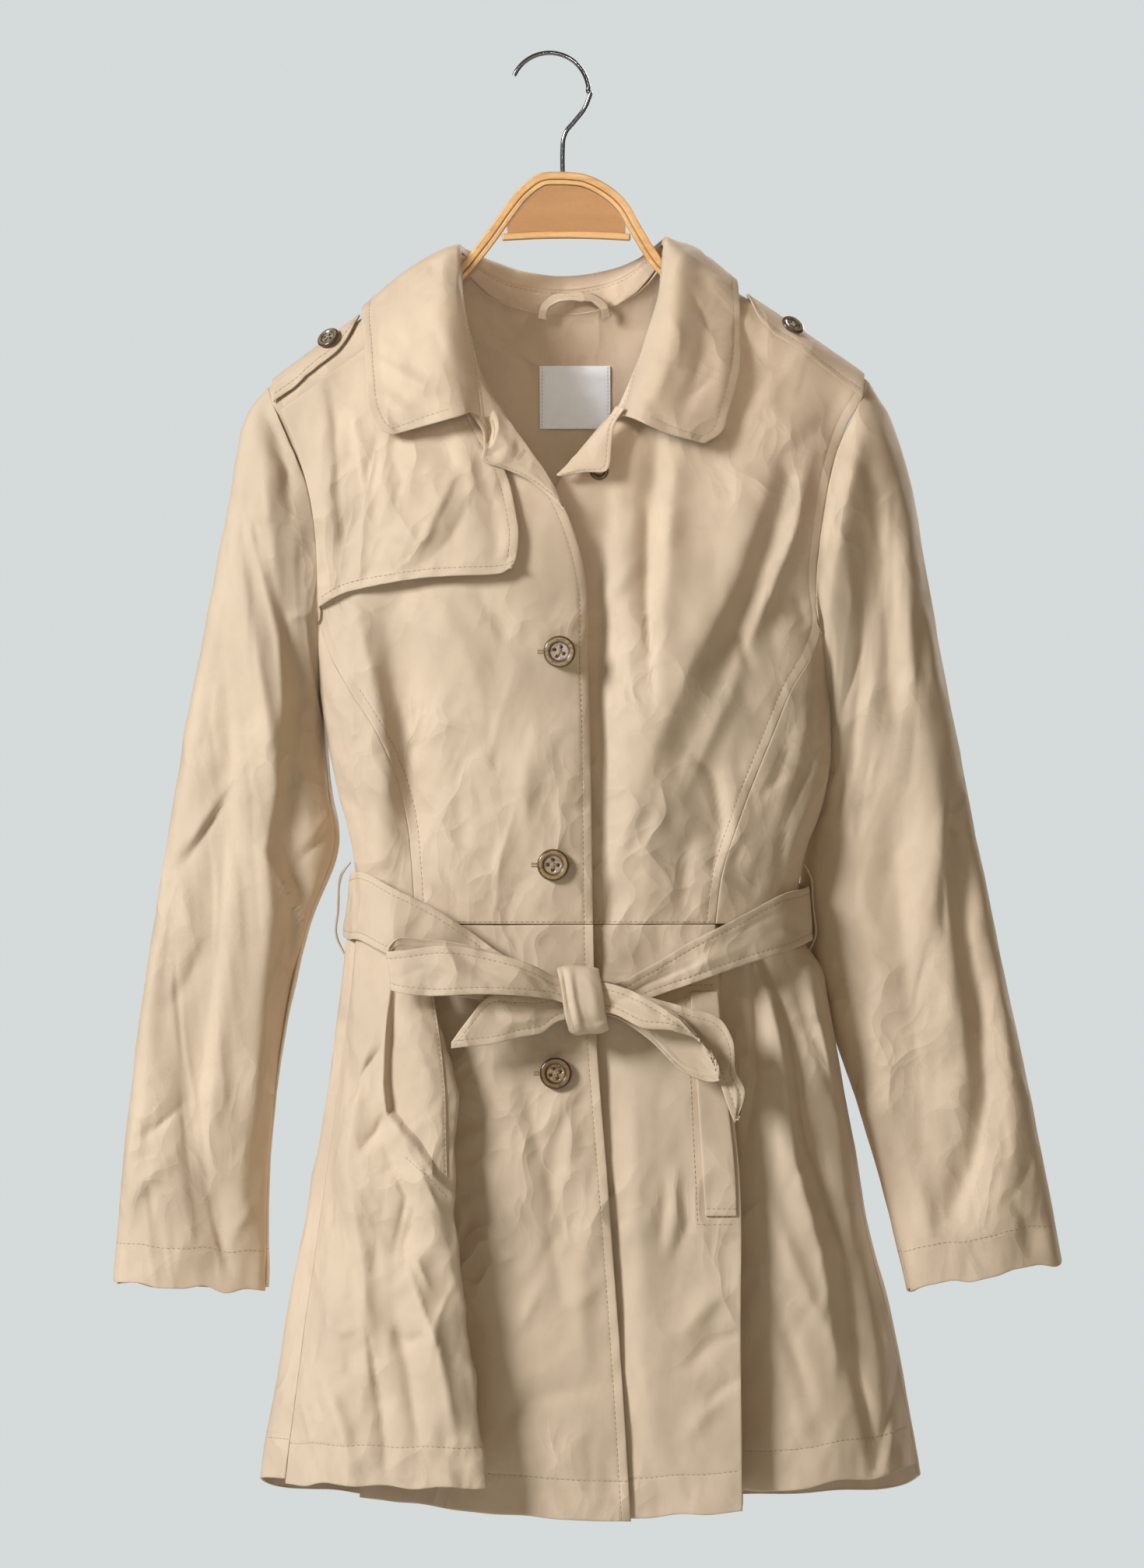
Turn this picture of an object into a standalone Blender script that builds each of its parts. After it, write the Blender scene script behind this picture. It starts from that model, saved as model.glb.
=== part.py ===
"""A teenager's single-breasted trench coat, belted, hanging on a bent-wood hanger.

Run it with: blender --background --python part.py

The frame is metres with +Z up, +X to the wearer's left and -Y to the front. The origin is the
inside top of the hanger's hook, where a rail carries it. Tables and sizes below are millimetres.
Each cloth piece is an open grid, laid on a surface through its own seams, and Solidify gives it
the wall of the cloth and its facing. "right" and "left" are the wearer's.
"""

import math
from collections import namedtuple

import bmesh
import bpy
import numpy as np
from mathutils import Matrix, Vector

MM = 0.001

# ---------------------------------------------------------------- driving sizes
SHELL = 1.5            # shell cloth and its facing, pressed together
COLLAR_CLOTH = 2.0     # two layers and an interlining
BELT_CLOTH = 1.6       # the belt is a turned tube of cloth, pressed flat
SEAM_GAP = 0.3         # between the pieces that meet at a seam
WAIST_Z = -546.0       # the seam that joins bodice and skirt
BUTTON_RADIUS = 10.0   # a 32 line button
BUTTON_RISE = 3.4

# ---------------------------------------------------------------- scene helpers


def clear_scene():
    for old in list(bpy.data.objects):
        bpy.data.objects.remove(old, do_unlink=True)


def collection(name, hidden=False):
    made = bpy.data.collections.new(name)
    made.hide_render = hidden
    bpy.context.scene.collection.children.link(made)
    return made


def material(name, colour, roughness, metallic=0.0):
    made = bpy.data.materials.new(name)
    made.use_nodes = True
    shader = made.node_tree.nodes["Principled BSDF"]
    shader.inputs["Base Color"].default_value = (*colour, 1.0)
    shader.inputs["Roughness"].default_value = roughness
    shader.inputs["Metallic"].default_value = metallic
    return made


clear_scene()
COAT = collection("trench_coat_on_hanger")
CUTTERS = collection("cutters", hidden=True)
CLOTH = material("beige_cotton", (0.60, 0.47, 0.33), 0.75)
LABEL = material("white_tape", (0.80, 0.82, 0.86), 0.6)
HORN = material("horn_button", (0.20, 0.12, 0.06), 0.3)
WOOD = material("pale_beech", (0.72, 0.42, 0.17), 0.45)
BOARD = material("brown_board", (0.45, 0.23, 0.07), 0.5)
CHROME = material("chrome_wire", (0.75, 0.76, 0.78), 0.15, 1.0)

# ---------------------------------------------------------------- curves and surfaces


def through(points, at, knots=None):
    """Points of a smooth curve through the given points; at runs from 0 to 1 with its length."""
    p = np.array(points, float)
    if knots is None:
        knots = chord_knots(p)
    slopes = np.gradient(p, knots, axis=0)
    at = np.clip(np.asarray(at, float), 0.0, 1.0)
    i = np.clip(np.searchsorted(knots, at, side="right") - 1, 0, len(p) - 2)
    span = (knots[i + 1] - knots[i])[..., None]
    s = ((at - knots[i]) / (knots[i + 1] - knots[i]))[..., None]
    return (
        (2 * s**3 - 3 * s**2 + 1) * p[i]
        + (s**3 - 2 * s**2 + s) * span * slopes[i]
        + (3 * s**2 - 2 * s**3) * p[i + 1]
        + (s**3 - s**2) * span * slopes[i + 1]
    )


def chord_knots(points):
    steps = np.linalg.norm(np.diff(np.array(points, float), axis=0), axis=1)
    along = np.concatenate([[0.0], np.cumsum(steps)])
    return along / along[-1]


class Net:
    """A surface through rows of stations. Row by row it runs down the cloth, station by station
    across it; point(u, v) takes u across and v down, both from 0 to 1."""

    def __init__(self, rows, facing=1.0):
        self.rows = np.array(rows, float)
        self.facing = facing
        across = np.mean([chord_knots(row) for row in self.rows], axis=0)
        down = np.mean([chord_knots(self.rows[:, k]) for k in range(self.rows.shape[1])], axis=0)
        self.across, self.down = across, down

    def grid(self, us, vs):
        """Points as an array [row, column, xyz]."""
        columns = [through(self.rows[:, k], vs, self.down) for k in range(self.rows.shape[1])]
        stations = np.stack(columns, axis=0)
        flat = stations.reshape(stations.shape[0], -1)
        made = through(flat, us, self.across)
        return made.reshape(len(us), len(vs), 3).transpose(1, 0, 2)

    def at(self, us, vs):
        """Points at matching lists of u and v."""
        us, vs = np.broadcast_arrays(np.asarray(us, float), np.asarray(vs, float))
        stations = np.stack(
            [through(self.rows[:, k], vs.ravel(), self.down) for k in range(self.rows.shape[1])]
        )
        slopes = np.gradient(stations, self.across, axis=0)
        u = np.clip(us.ravel(), 0, 1)
        i = np.clip(np.searchsorted(self.across, u, side="right") - 1, 0, len(self.across) - 2)
        n = np.arange(len(u))
        span = (self.across[i + 1] - self.across[i])[:, None]
        s = (u - self.across[i])[:, None] / span
        made = (
            (2 * s**3 - 3 * s**2 + 1) * stations[i, n]
            + (s**3 - 2 * s**2 + s) * span * slopes[i, n]
            + (3 * s**2 - 2 * s**3) * stations[i + 1, n]
            + (s**3 - s**2) * span * slopes[i + 1, n]
        )
        return made.reshape(us.shape + (3,))

    def normal(self, us, vs, e=1e-3):
        """The unit normal that points to the front, or to the back where the cloth faces it."""
        us, vs = np.clip(us, e, 1 - e), np.clip(vs, e, 1 - e)
        across = self.at(us + e, vs) - self.at(us - e, vs)
        down = self.at(us, vs + e) - self.at(us, vs - e)
        n = np.cross(across, down)
        n = n / np.linalg.norm(n, axis=-1, keepdims=True)
        return n * self.facing

    def find(self, xs, zs, u_low=0.0, u_high=1.0):
        """The u and v of points given in the front view, between two u's."""
        xs, zs = np.broadcast_arrays(np.asarray(xs, float), np.asarray(zs, float))
        us, vs = np.linspace(u_low, u_high, 50), np.linspace(0, 1, 80)
        known = self.grid(us, vs)[..., [0, 2]]
        aim = np.stack([xs.ravel(), zs.ravel()], axis=-1)
        far = ((known[None] - aim[:, None, None]) ** 2).sum(-1).reshape(len(aim), -1)
        best = far.argmin(axis=1)
        u, v = us[best % len(us)], vs[best // len(us)]
        for _ in range(8):
            e = 1e-4
            here = self.at(u, v)[:, [0, 2]]
            du = (self.at(np.clip(u + e, 0, 1), v) - self.at(np.clip(u - e, 0, 1), v))[:, [0, 2]] / (2 * e)
            dv = (self.at(u, np.clip(v + e, 0, 1)) - self.at(u, np.clip(v - e, 0, 1)))[:, [0, 2]] / (2 * e)
            miss = aim - here
            det = du[:, 0] * dv[:, 1] - du[:, 1] * dv[:, 0]
            det = np.where(np.abs(det) < 1e-6, 1e-6, det)
            u = u + 0.7 * np.clip((miss[:, 0] * dv[:, 1] - miss[:, 1] * dv[:, 0]) / det, -0.05, 0.05)
            v = v + 0.7 * np.clip((miss[:, 1] * du[:, 0] - miss[:, 0] * du[:, 1]) / det, -0.05, 0.05)
            u, v = np.clip(u, u_low, u_high), np.clip(v, 0, 1)
        return u.reshape(xs.shape), v.reshape(xs.shape)

    def laid(self, xs, zs, out, u_low=0.0, u_high=1.0):
        """Points on the surface under the given front view, moved out by a distance."""
        u, v = self.find(xs, zs, u_low, u_high)
        return self.at(u, v) + self.normal(u, v) * np.asarray(out, float)[..., None]

    def width(self, v=0.5):
        line = self.grid(np.linspace(0, 1, 40), np.array([v]))[0]
        return np.linalg.norm(np.diff(line, axis=0), axis=1).sum()

    def length(self, u=0.5):
        line = self.grid(np.array([u]), np.linspace(0, 1, 40))[:, 0]
        return np.linalg.norm(np.diff(line, axis=0), axis=1).sum()


# A fold is a soft ridge (height over 0) or trough on cloth that faces the front or the back,
# running in the front view from its top to its bottom.
Fold = namedtuple("Fold", "x_top z_top x_bottom z_bottom width height")


def folded(points, folds, facing=-1.0):
    """The points with the folds pushed out of them, towards the front (-1) or the back (+1)."""
    moved = points.copy()
    for fold in folds:
        start = np.array([fold.x_top, fold.z_top])
        run = np.array([fold.x_bottom, fold.z_bottom]) - start
        there = points[..., [0, 2]] - start
        t = np.clip((there @ run) / (run @ run), 0.0, 1.0)
        away = np.linalg.norm(there - t[..., None] * run, axis=-1)
        fade = np.sin(np.pi * np.clip(0.08 + 0.84 * t, 0, 1)) ** 0.7
        moved[..., 1] += facing * fold.height * fade * np.exp(-((away / fold.width) ** 2))
    return moved


def panel_grid(net, columns, rows, gaps_first, gaps_last, top_gap, bottom_gap):
    """A grid over a net, held in from its seams. The two sides' gaps are given at the top,
    a third and two thirds down, and at the bottom, in millimetres."""
    vs = np.linspace(top_gap / net.length(), 1 - bottom_gap / net.length(), rows + 1)
    shares = np.linspace(0, 1, columns + 1)
    us = []
    for v in vs:
        first, last = (np.interp(v, (0, 0.33, 0.67, 1), gaps) / net.width(v) for gaps in (gaps_first, gaps_last))
        us.append(first + (1 - first - last) * shares)
    return net.at(np.array(us), np.repeat(vs[:, None], columns + 1, axis=1))


def cloth(name, points, thickness=SHELL, look=CLOTH, flip=False):
    """A cloth wall: a grid laid on the points, made solid on its inner side."""
    rows, columns = points.shape[:2]
    mesh = bpy.data.meshes.new(name)
    sheet = bmesh.new()
    bmesh.ops.create_grid(sheet, x_segments=columns - 1, y_segments=rows - 1, size=1.0)
    sheet.verts.ensure_lookup_table()
    order = sorted(sheet.verts, key=lambda v: (round(v.co.y, 5), round(v.co.x, 5)))
    for vertex, place in zip(order, points.reshape(-1, 3)):
        vertex.co = Vector(place * MM)
    if flip:
        bmesh.ops.reverse_faces(sheet, faces=sheet.faces)
    sheet.to_mesh(mesh)
    sheet.free()
    made = bpy.data.objects.new(name, mesh)
    COAT.objects.link(made)
    mesh.materials.append(look)
    mesh.shade_smooth()
    solid = made.modifiers.new("wall", "SOLIDIFY")
    solid.thickness = thickness * MM
    solid.offset = -1.0
    return made


# ---------------------------------------------------------------- bodice fronts
# Each row runs from the front edge, or the neckline above it, to the armhole or the princess
# seam below it. push is how far the middle of the row swells to the front, and lift how far
# it stands over the straight line, where the cloth lies on the hanger.
Row = namedtuple("Row", "x_in y_in z_in x_out y_out z_out push lift")

FRONT_RIGHT_ROWS = [
    Row(-58, -0.4, -128.5, -177, -0.4, -209, 0, 4),
    Row(-58, -6.4, -130, -176, -5, -212, 0, 4),
    Row(-58, -14, -138, -174, -9.5, -219, 1, 4),
    Row(-57, -18, -160, -166, -14, -238, 3, 2),
    Row(-48, -27, -188, -153, -20, -268, 6, 0),
    Row(-34, -35, -218, -147, -22, -300, 8, 0),
    Row(-14, -41, -246, -145.5, -21, -330, 9, 0),
    Row(1, -44, -270, -144.5, -17, -356, 11, 0),
    Row(13, -46, -294, -138, -21, -377, 13, 0),
    Row(22, -47, -325, -127, -27, -397, 12, 0),
    Row(24.5, -48, -375, -104, -35, -434, 9, 0),
    Row(26, -48, -440, -90, -38, -476, 7, 0),
    Row(27, -47.5, -495, -86, -38.5, -512, 5, 0),
    Row(27.5, -47, WAIST_Z, -84, -38, WAIST_Z, 4, 0),
]
FRONT_LEFT_ROWS = [
    Row(74, -0.4, -123.5, 201, -0.4, -205, 0, 3),
    Row(74, -6.4, -125, 200, -5, -208, 0, 3),
    Row(74, -14, -133, 197.5, -9.5, -215, 1, 3),
    Row(72, -17, -158, 188, -14, -231, 3, 1),
    Row(61, -24, -190, 177, -20, -262, 5, 0),
    Row(45, -30, -219, 170.5, -22, -300, 7, 0),
    Row(26, -34, -241, 167.5, -21, -334, 8, 0),
    Row(10, -36, -262, 170, -17, -361, 9, 0),
    Row(-2, -37, -285, 165, -21, -377, 9, 0),
    Row(-8, -37.5, -325, 153, -27, -397, 8, 0),
    Row(-10, -38, -375, 139, -33, -430, 7, 0),
    Row(-9, -38, -440, 120, -37, -478, 6, 0),
    Row(-8, -37.5, -495, 108, -39, -515, 5, 0),
    Row(-7, -37, WAIST_Z, 104, -39, WAIST_Z, 4, 0),
]
ACROSS_FRONT = (0.0, 0.25, 0.5, 0.75, 1.0)


def front_net(rows, facing=1.0):
    made = []
    for row in rows:
        start = np.array([row.x_in, row.y_in, row.z_in])
        end = np.array([row.x_out, row.y_out, row.z_out])
        stations = []
        for u in ACROSS_FRONT:
            swell = 4 * u * (1 - u)
            stations.append(start + (end - start) * u + [0, -row.push * swell, row.lift * swell])
        made.append(stations)
    return Net(made, facing)


FRONT_RIGHT = front_net(FRONT_RIGHT_ROWS)
FRONT_LEFT = front_net(FRONT_LEFT_ROWS, -1.0)

CHEST_FOLDS = [
    Fold(-90, -345, -78, -500, 16, -5),      # the hollow beside the right princess seam
    Fold(-112, -395, -96, -500, 9, 4),
    Fold(95, -235, 60, -420, 14, 6),         # drag lines from the left shoulder to the bust
    Fold(140, -260, 105, -430, 12, 6),
    Fold(64, -270, 62, -400, 8, -5),
    Fold(-2, -300, 2, -540, 9, -2.5),
]

# ---------------------------------------------------------------- side panels of the bodice
# From the princess seam, round under the arm, to the seam with the back.
Side = namedtuple("Side", "x_front y_front z_front x_side x_back y_back z_back")

SIDE_RIGHT_ROWS = [
    Side(-144.5, -17, -356, -147, -145, 17, -354),
    Side(-138, -21, -377, -147, -140, 20, -377),
    Side(-127, -27, -397, -145, -130, 22, -400),
    Side(-104, -35, -434, -138.5, -115, 25, -436),
    Side(-90, -38, -476, -130, -104, 27, -478),
    Side(-86, -38.5, -512, -122.5, -97, 28, -512),
    Side(-84, -38, WAIST_Z, -122, -94, 28, WAIST_Z),
]
SIDE_LEFT_ROWS = [
    Side(170, -17, -361, 173, 170, 17, -358),
    Side(165, -21, -377, 174, 166, 19, -378),
    Side(153, -27, -397, 174.5, 157, 22, -400),
    Side(139, -33, -430, 176, 146, 25, -434),
    Side(120, -37, -478, 170, 132, 27, -478),
    Side(108, -39, -515, 157, 120, 28, -515),
    Side(104, -39, WAIST_Z, 157, 115, 28, WAIST_Z),
]
TURN = ((0.0, 0.0), (0.16, 0.55), (0.5, 1.0), (0.84, 0.62), (1.0, 0.0))


def side_net(rows, z_dip, facing):
    """TURN gives, for each station, its share of the way back and its share of the way out
    to the side. The top row dips under the arm."""
    made = []
    for i, row in enumerate(rows):
        stations = []
        for back, out in TURN:
            straight = row.x_front + (row.x_back - row.x_front) * back
            x = straight + (row.x_side - straight) * out
            y = row.y_front + (row.y_back - row.y_front) * (back - 0.25 * out * (0.5 - back))
            z = row.z_front + (row.z_back - row.z_front) * back
            if i == 0:
                z -= z_dip * out
            stations.append((x, y, z))
        made.append(stations)
    return Net(made, facing)


SIDE_RIGHT = side_net(SIDE_RIGHT_ROWS, 14, 1.0)
SIDE_LEFT = side_net(SIDE_LEFT_ROWS, 14, -1.0)

# ---------------------------------------------------------------- back of the bodice
# The top rows run over the shoulders and down into the neckline. The rows below them are a
# plain curve from side to side.
BackTop = namedtuple("BackTop", "tip_right neck lift tip_left")
BackRow = namedtuple("BackRow", "x_right y_right z_right x_left y_left z_left y_centre z_centre")

BACK_TOP = [
    BackTop((-177, 0.4, -209), [(-58, 0.4, -128.5), (-56.5, 8, -131.5), (-39, 21, -149), (9, 31, -161),
                                (56, 21, -147), (72.5, 8, -127), (74, 0.4, -123.5)], 4, (201, 0.4, -205)),
    BackTop((-176, 6, -212), [(-61, 8, -131.5), (-58, 14, -137.5), (-41, 25, -154), (9, 33, -166),
                              (58, 25, -152), (74, 14, -132.5), (77, 8, -126.5)], 4, (200, 6, -208)),
    BackTop((-174, 10, -219), [(-68, 16, -144), (-61, 21, -151), (-43, 28, -163), (9, 34.5, -173),
                               (60, 28, -161), (78, 21, -146), (85, 16, -139)], 3, (197.5, 10, -215)),
]
SHOULDER_SHARES = (0.0, 0.18, 0.36, 0.54, 0.72, 0.87, 0.96)
NECK_SHARES = (0.0, 0.05, 0.12, 0.22, 0.35, 0.5, 0.65, 0.78, 0.88, 0.95, 1.0)
BACK_ROWS = [
    BackRow(-166, 15, -238, 188, 15, -231, 36, -205),
    BackRow(-153, 20, -268, 177, 20, -262, 37, -245),
    BackRow(-147, 22, -310, 170.5, 22, -306, 37, -295),
    BackRow(-145, 17, -354, 170, 17, -358, 37, -346),
    BackRow(-130, 22, -400, 157, 22, -400, 36, -396),
    BackRow(-115, 25, -436, 146, 25, -434, 35, -434),
    BackRow(-104, 27, -478, 132, 27, -478, 34, -478),
    BackRow(-97, 28, -512, 120, 28, -515, 33, -513),
    BackRow(-94, 28, WAIST_Z, 115, 28, WAIST_Z, 32, WAIST_Z),
]


def shoulder(tip, neck, lift, shares):
    """Along a shoulder, from the tip to the neck, bowed up as the fronts' are."""
    u = np.array(shares)[:, None]
    return np.array(tip) + (np.array(neck) - np.array(tip)) * u + [0, 0, 1] * (4 * lift * u * (1 - u))


def back_net():
    made = []
    for row in BACK_TOP:
        left_lift = row.lift - 1
        left = shoulder(row.tip_left, row.neck[-1], left_lift, SHOULDER_SHARES)[::-1]
        made.append(np.concatenate([
            shoulder(row.tip_right, row.neck[0], row.lift, SHOULDER_SHARES),
            through(row.neck, NECK_SHARES),
            left,
        ]))
    across = np.mean([chord_knots(row) for row in made], axis=0)
    for row in BACK_ROWS:
        stations = []
        for u in across:
            hump = 1 - abs(2 * u - 1) ** 2.5
            x = row.x_right + (row.x_left - row.x_right) * u
            y = row.y_right + (row.y_left - row.y_right) * u
            z = row.z_right + (row.z_left - row.z_right) * u
            y += (row.y_centre - (row.y_right + row.y_left) / 2) * hump
            z += (row.z_centre - (row.z_right + row.z_left) / 2) * hump
            stations.append((x, y, z))
        made.append(np.array(stations))
    return Net(made)


BACK = back_net()
BACK_FOLDS = [
    Fold(-60, -260, -40, -500, 22, 4),
    Fold(85, -260, 60, -500, 22, 4),
    Fold(10, -300, 12, -520, 14, -3),
]

# ---------------------------------------------------------------- skirt
# The skirt is a wide A. On the right a deep pleat folds the side over the front; on the left
# the front ends in a fold and the side comes out from under it.
Skirt = namedtuple("Skirt", "z x_edge y_edge x_end y_end z_end push")

SKIRT_FRONT_RIGHT_ROWS = [
    Skirt(WAIST_Z - SEAM_GAP, 27.5, -47, -84, -36, WAIST_Z - SEAM_GAP, 4),
    Skirt(-606, 29, -48, -87, -36, -603, 4),
    Skirt(-704, 36.3, -50, -96, -34, -700, 5),
    Skirt(-802, 43.6, -52, -107, -32, -796, 6),
    Skirt(-918, 51, -55, -119, -30, -904, 8),
]
SKIRT_FRONT_LEFT_ROWS = [
    Skirt(WAIST_Z - SEAM_GAP, -7, -37, 104, -39, WAIST_Z - SEAM_GAP, 4),
    Skirt(-606, -4, -38, 107.5, -44, -604, 4),
    Skirt(-704, 4, -40, 119, -50, -704, 4),
    Skirt(-802, 12, -42, 119.5, -54, -800, 3),
    Skirt(-917, 22, -45, 120.5, -58, -911, 3),
]


def skirt_front_net(rows, facing=1.0):
    made = []
    for row in rows:
        start = np.array([row.x_edge, row.y_edge, row.z])
        end = np.array([row.x_end, row.y_end, row.z_end])
        dip = 4 * (row.z_end - row.z) / 18
        stations = []
        for u in ACROSS_FRONT:
            swell = 4 * u * (1 - u)
            stations.append(start + (end - start) * u + [0, -row.push * swell, -dip * swell])
        made.append(stations)
    return Net(made, facing)


SKIRT_FRONT_RIGHT = skirt_front_net(SKIRT_FRONT_RIGHT_ROWS)
SKIRT_FRONT_LEFT = skirt_front_net(SKIRT_FRONT_LEFT_ROWS, -1.0)

# The right side panel: from under the front, forward to the pleat's crest, across its outer
# face and round to the side seam.
Pleat = namedtuple("Pleat", "z x_under y_under x_return y_return x_crest y_crest x_face y_face x_seam y_seam")
SKIRT_SIDE_RIGHT_ROWS = [
    Pleat(WAIST_Z - SEAM_GAP, -86, -39, -85, -43, -88, -47, -104, -42, -121, -14),
    Pleat(-590, -88, -40, -80, -45, -76.5, -52, -103, -48, -125, -16),
    Pleat(-641, -92, -40, -74, -48, -60, -58, -102, -54, -132, -18),
    Pleat(-709, -98, -40, -76, -52, -59, -65, -104, -60, -141, -20),
    Pleat(-801, -108, -40, -78, -54, -50, -71, -106, -66, -154, -22),
    Pleat(-895, -120, -40, -80, -57, -37.5, -76, -108, -71, -166, -24),
]


def pleat_net(rows):
    made = []
    for row in rows:
        stations = [
            (row.x_under, row.y_under, row.z),
            (row.x_return, row.y_return, row.z),
            (row.x_crest - 4, row.y_crest + 4.5, row.z),
            (row.x_crest, row.y_crest, row.z),
            (row.x_crest - 6, row.y_crest - 4, row.z),
            (row.x_face, row.y_face, row.z),
            ((row.x_face + row.x_seam) / 2 - 5, (row.y_face + row.y_seam) / 2 - 7, row.z),
            (row.x_seam, row.y_seam, row.z),
        ]
        made.append(stations)
    return Net(made)


SKIRT_SIDE_RIGHT = pleat_net(SKIRT_SIDE_RIGHT_ROWS)

# The left side panel: from the front's folded edge, back into a hollow, then out to the side.
Hollow = namedtuple("Hollow", "z x_edge y_edge x_deep y_deep x_rise y_rise x_ridge y_ridge x_seam y_seam")
SKIRT_SIDE_LEFT_ROWS = [
    Hollow(WAIST_Z - SEAM_GAP, 105, -38, 108, -33, 118, -31, 134, -27, 157, -5),
    Hollow(-590, 107, -41, 107, -32, 120, -30, 142, -28, 165, -5),
    Hollow(-641, 112.5, -45, 106, -30, 126, -32, 150, -29, 174, -4),
    Hollow(-709, 119, -49, 106, -28, 132, -34, 164, -31, 191, -3),
    Hollow(-801, 119.5, -53, 104, -26, 138, -36, 178, -33, 214.5, -2),
    Hollow(-890, 120.5, -56, 102, -24, 144, -40, 192, -36, 231, 0),
]


def hollow_net(rows):
    made = []
    for row in rows:
        last = row is rows[-1]
        stations = [
            (row.x_edge + 0.6, row.y_edge + 3, row.z - 18 * last),
            (row.x_edge - 2.5, row.y_edge + 8, row.z - 17 * last),
            (row.x_deep, row.y_deep, row.z - 14 * last),
            (row.x_rise, row.y_rise, row.z - 10 * last),
            (row.x_ridge, row.y_ridge, row.z - 4 * last),
            ((row.x_ridge + row.x_seam) / 2 + 5, (row.y_ridge + row.y_seam) / 2 - 5, row.z),
            (row.x_seam, row.y_seam, row.z + 3 * last),
        ]
        made.append(stations)
    return Net(made, -1.0)


SKIRT_SIDE_LEFT = hollow_net(SKIRT_SIDE_LEFT_ROWS)

# The back, from the right side seam round behind to the left one.
SkirtBack = namedtuple("SkirtBack", "z x_seam_right y_seam_right x_side_right x_side_left x_seam_left y_seam_left y_centre z_centre")
BACK_SIDE_Y = (-2.0, 4.0)      # how far back the skirt's right and left sides lie
SKIRT_BACK_ROWS = [
    SkirtBack(WAIST_Z - SEAM_GAP, -121, -14, -126, 158, 157, -5, 32, WAIST_Z - SEAM_GAP),
    SkirtBack(-590, -125, -16, -131, 166, 165, -5, 35, -590),
    SkirtBack(-641, -132, -18, -138, 175.5, 174, -4, 37, -641),
    SkirtBack(-709, -141, -20, -149, 193, 191, -3, 39, -712),
    SkirtBack(-801, -154, -22, -166, 217, 214.5, -2, 41, -806),
    SkirtBack(-894, -166, -24, -183.5, 234, 231, 0, 43, -911),
]
BACK_WAVES = 4          # soft flutes in the flare
BACK_WAVE_DEPTH = 6.0


def skirt_back_net(rows):
    made = []
    for k, row in enumerate(rows):
        flare = k / (len(rows) - 1)
        middle = (row.x_side_right + row.x_side_left) / 2
        half = (row.x_side_left - row.x_side_right) / 2
        stations = [(row.x_seam_right, row.y_seam_right, row.z)]
        for angle in np.radians(np.linspace(-90, 90, 13)):
            wide, deep = math.sin(angle), math.cos(angle) ** 0.8
            x = middle + half * wide
            y = row.y_centre * deep + BACK_SIDE_Y[wide > 0] * (1 - deep)
            y += flare * BACK_WAVE_DEPTH * math.cos(BACK_WAVES * math.pi * wide) * deep
            z = row.z + (row.z_centre - row.z) * deep
            stations.append((x, y, z))
        stations.append((row.x_seam_left, row.y_seam_left, row.z))
        made.append(stations)
    return Net(made)


SKIRT_BACK = skirt_back_net(SKIRT_BACK_ROWS)

# ---------------------------------------------------------------- sleeves
# A ring of a sleeve runs from its outer line over the front to its inner line and back. bow
# carries the front and back of the ring towards the body, as the armhole is cut.
Ring = namedtuple("Ring", "x_out z_out x_in z_in y_mid front back bow")


def armhole(front, front_rows, side, back, back_rows):
    """The loop that the panels leave open: down the front, under the arm and up the back."""
    down = front.grid(np.array([1.0]), np.linspace(0, front.down[front_rows], 24))[:, 0]
    under = side.grid(np.linspace(0, 1, 9), np.array([0.0]))[0]
    edge = np.array([1.0 if side is SIDE_LEFT else 0.0])
    up = back.grid(edge, np.linspace(back.down[back_rows], 0, 24))[:, 0]
    return np.concatenate([down, under[1:-1], up])


ARMHOLE_RIGHT = armhole(FRONT_RIGHT, 7, SIDE_RIGHT, BACK, 6)
ARMHOLE_LEFT = armhole(FRONT_LEFT, 7, SIDE_LEFT, BACK, 6)
SLEEVE_RIGHT_RINGS = [
    Ring(-190, -228, -151.5, -384, 0, 28, 26, 10),
    Ring(-201, -280, -152.5, -404, 1, 31, 27, 5),
    Ring(-214, -350, -152, -430, 2, 31, 27, 2),
    Ring(-229, -424, -144.5, -464, 3, 28, 27, 0),
    Ring(-241, -490, -133.5, -498, 3, 25, 25, 0),
    Ring(-250.5, -553, -151, -548, 3, 22, 22, 0),
    Ring(-260.5, -626, -166.5, -622, 2, 20, 20, 0),
    Ring(-268.3, -694, -175, -698, 1, 18, 18, 0),
    Ring(-275.2, -773, -176.5, -777, 0, 17, 17, 0),
]
SLEEVE_LEFT_RINGS = [
    Ring(214, -226, 178, -389, 1, 28, 26, -10),
    Ring(227.5, -272, 181, -411, 2, 31, 27, -5),
    Ring(240, -338, 182.5, -438, 4, 30, 27, -2),
    Ring(254, -418, 179.5, -472, 7, 27, 27, 0),
    Ring(269, -490, 170.5, -512, 9, 25, 26, 0),
    Ring(284, -565, 170, -562, 10, 23, 24, 0),
    Ring(297.5, -630, 188.5, -636, 8, 20, 22, 0),
    Ring(310, -690, 206.5, -703, 6, 18, 19, 0),
    Ring(322.7, -759, 225, -777, 4, 17, 17, 0),
]
RING_STATIONS = 17
SLEEVE_HEAD_GAP = 2.8
# The sleeve is cut as an upper and an under piece. These are the seams' places round a ring.
BACK_SEAM, FRONT_SEAM = 0.96, 0.46


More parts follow.
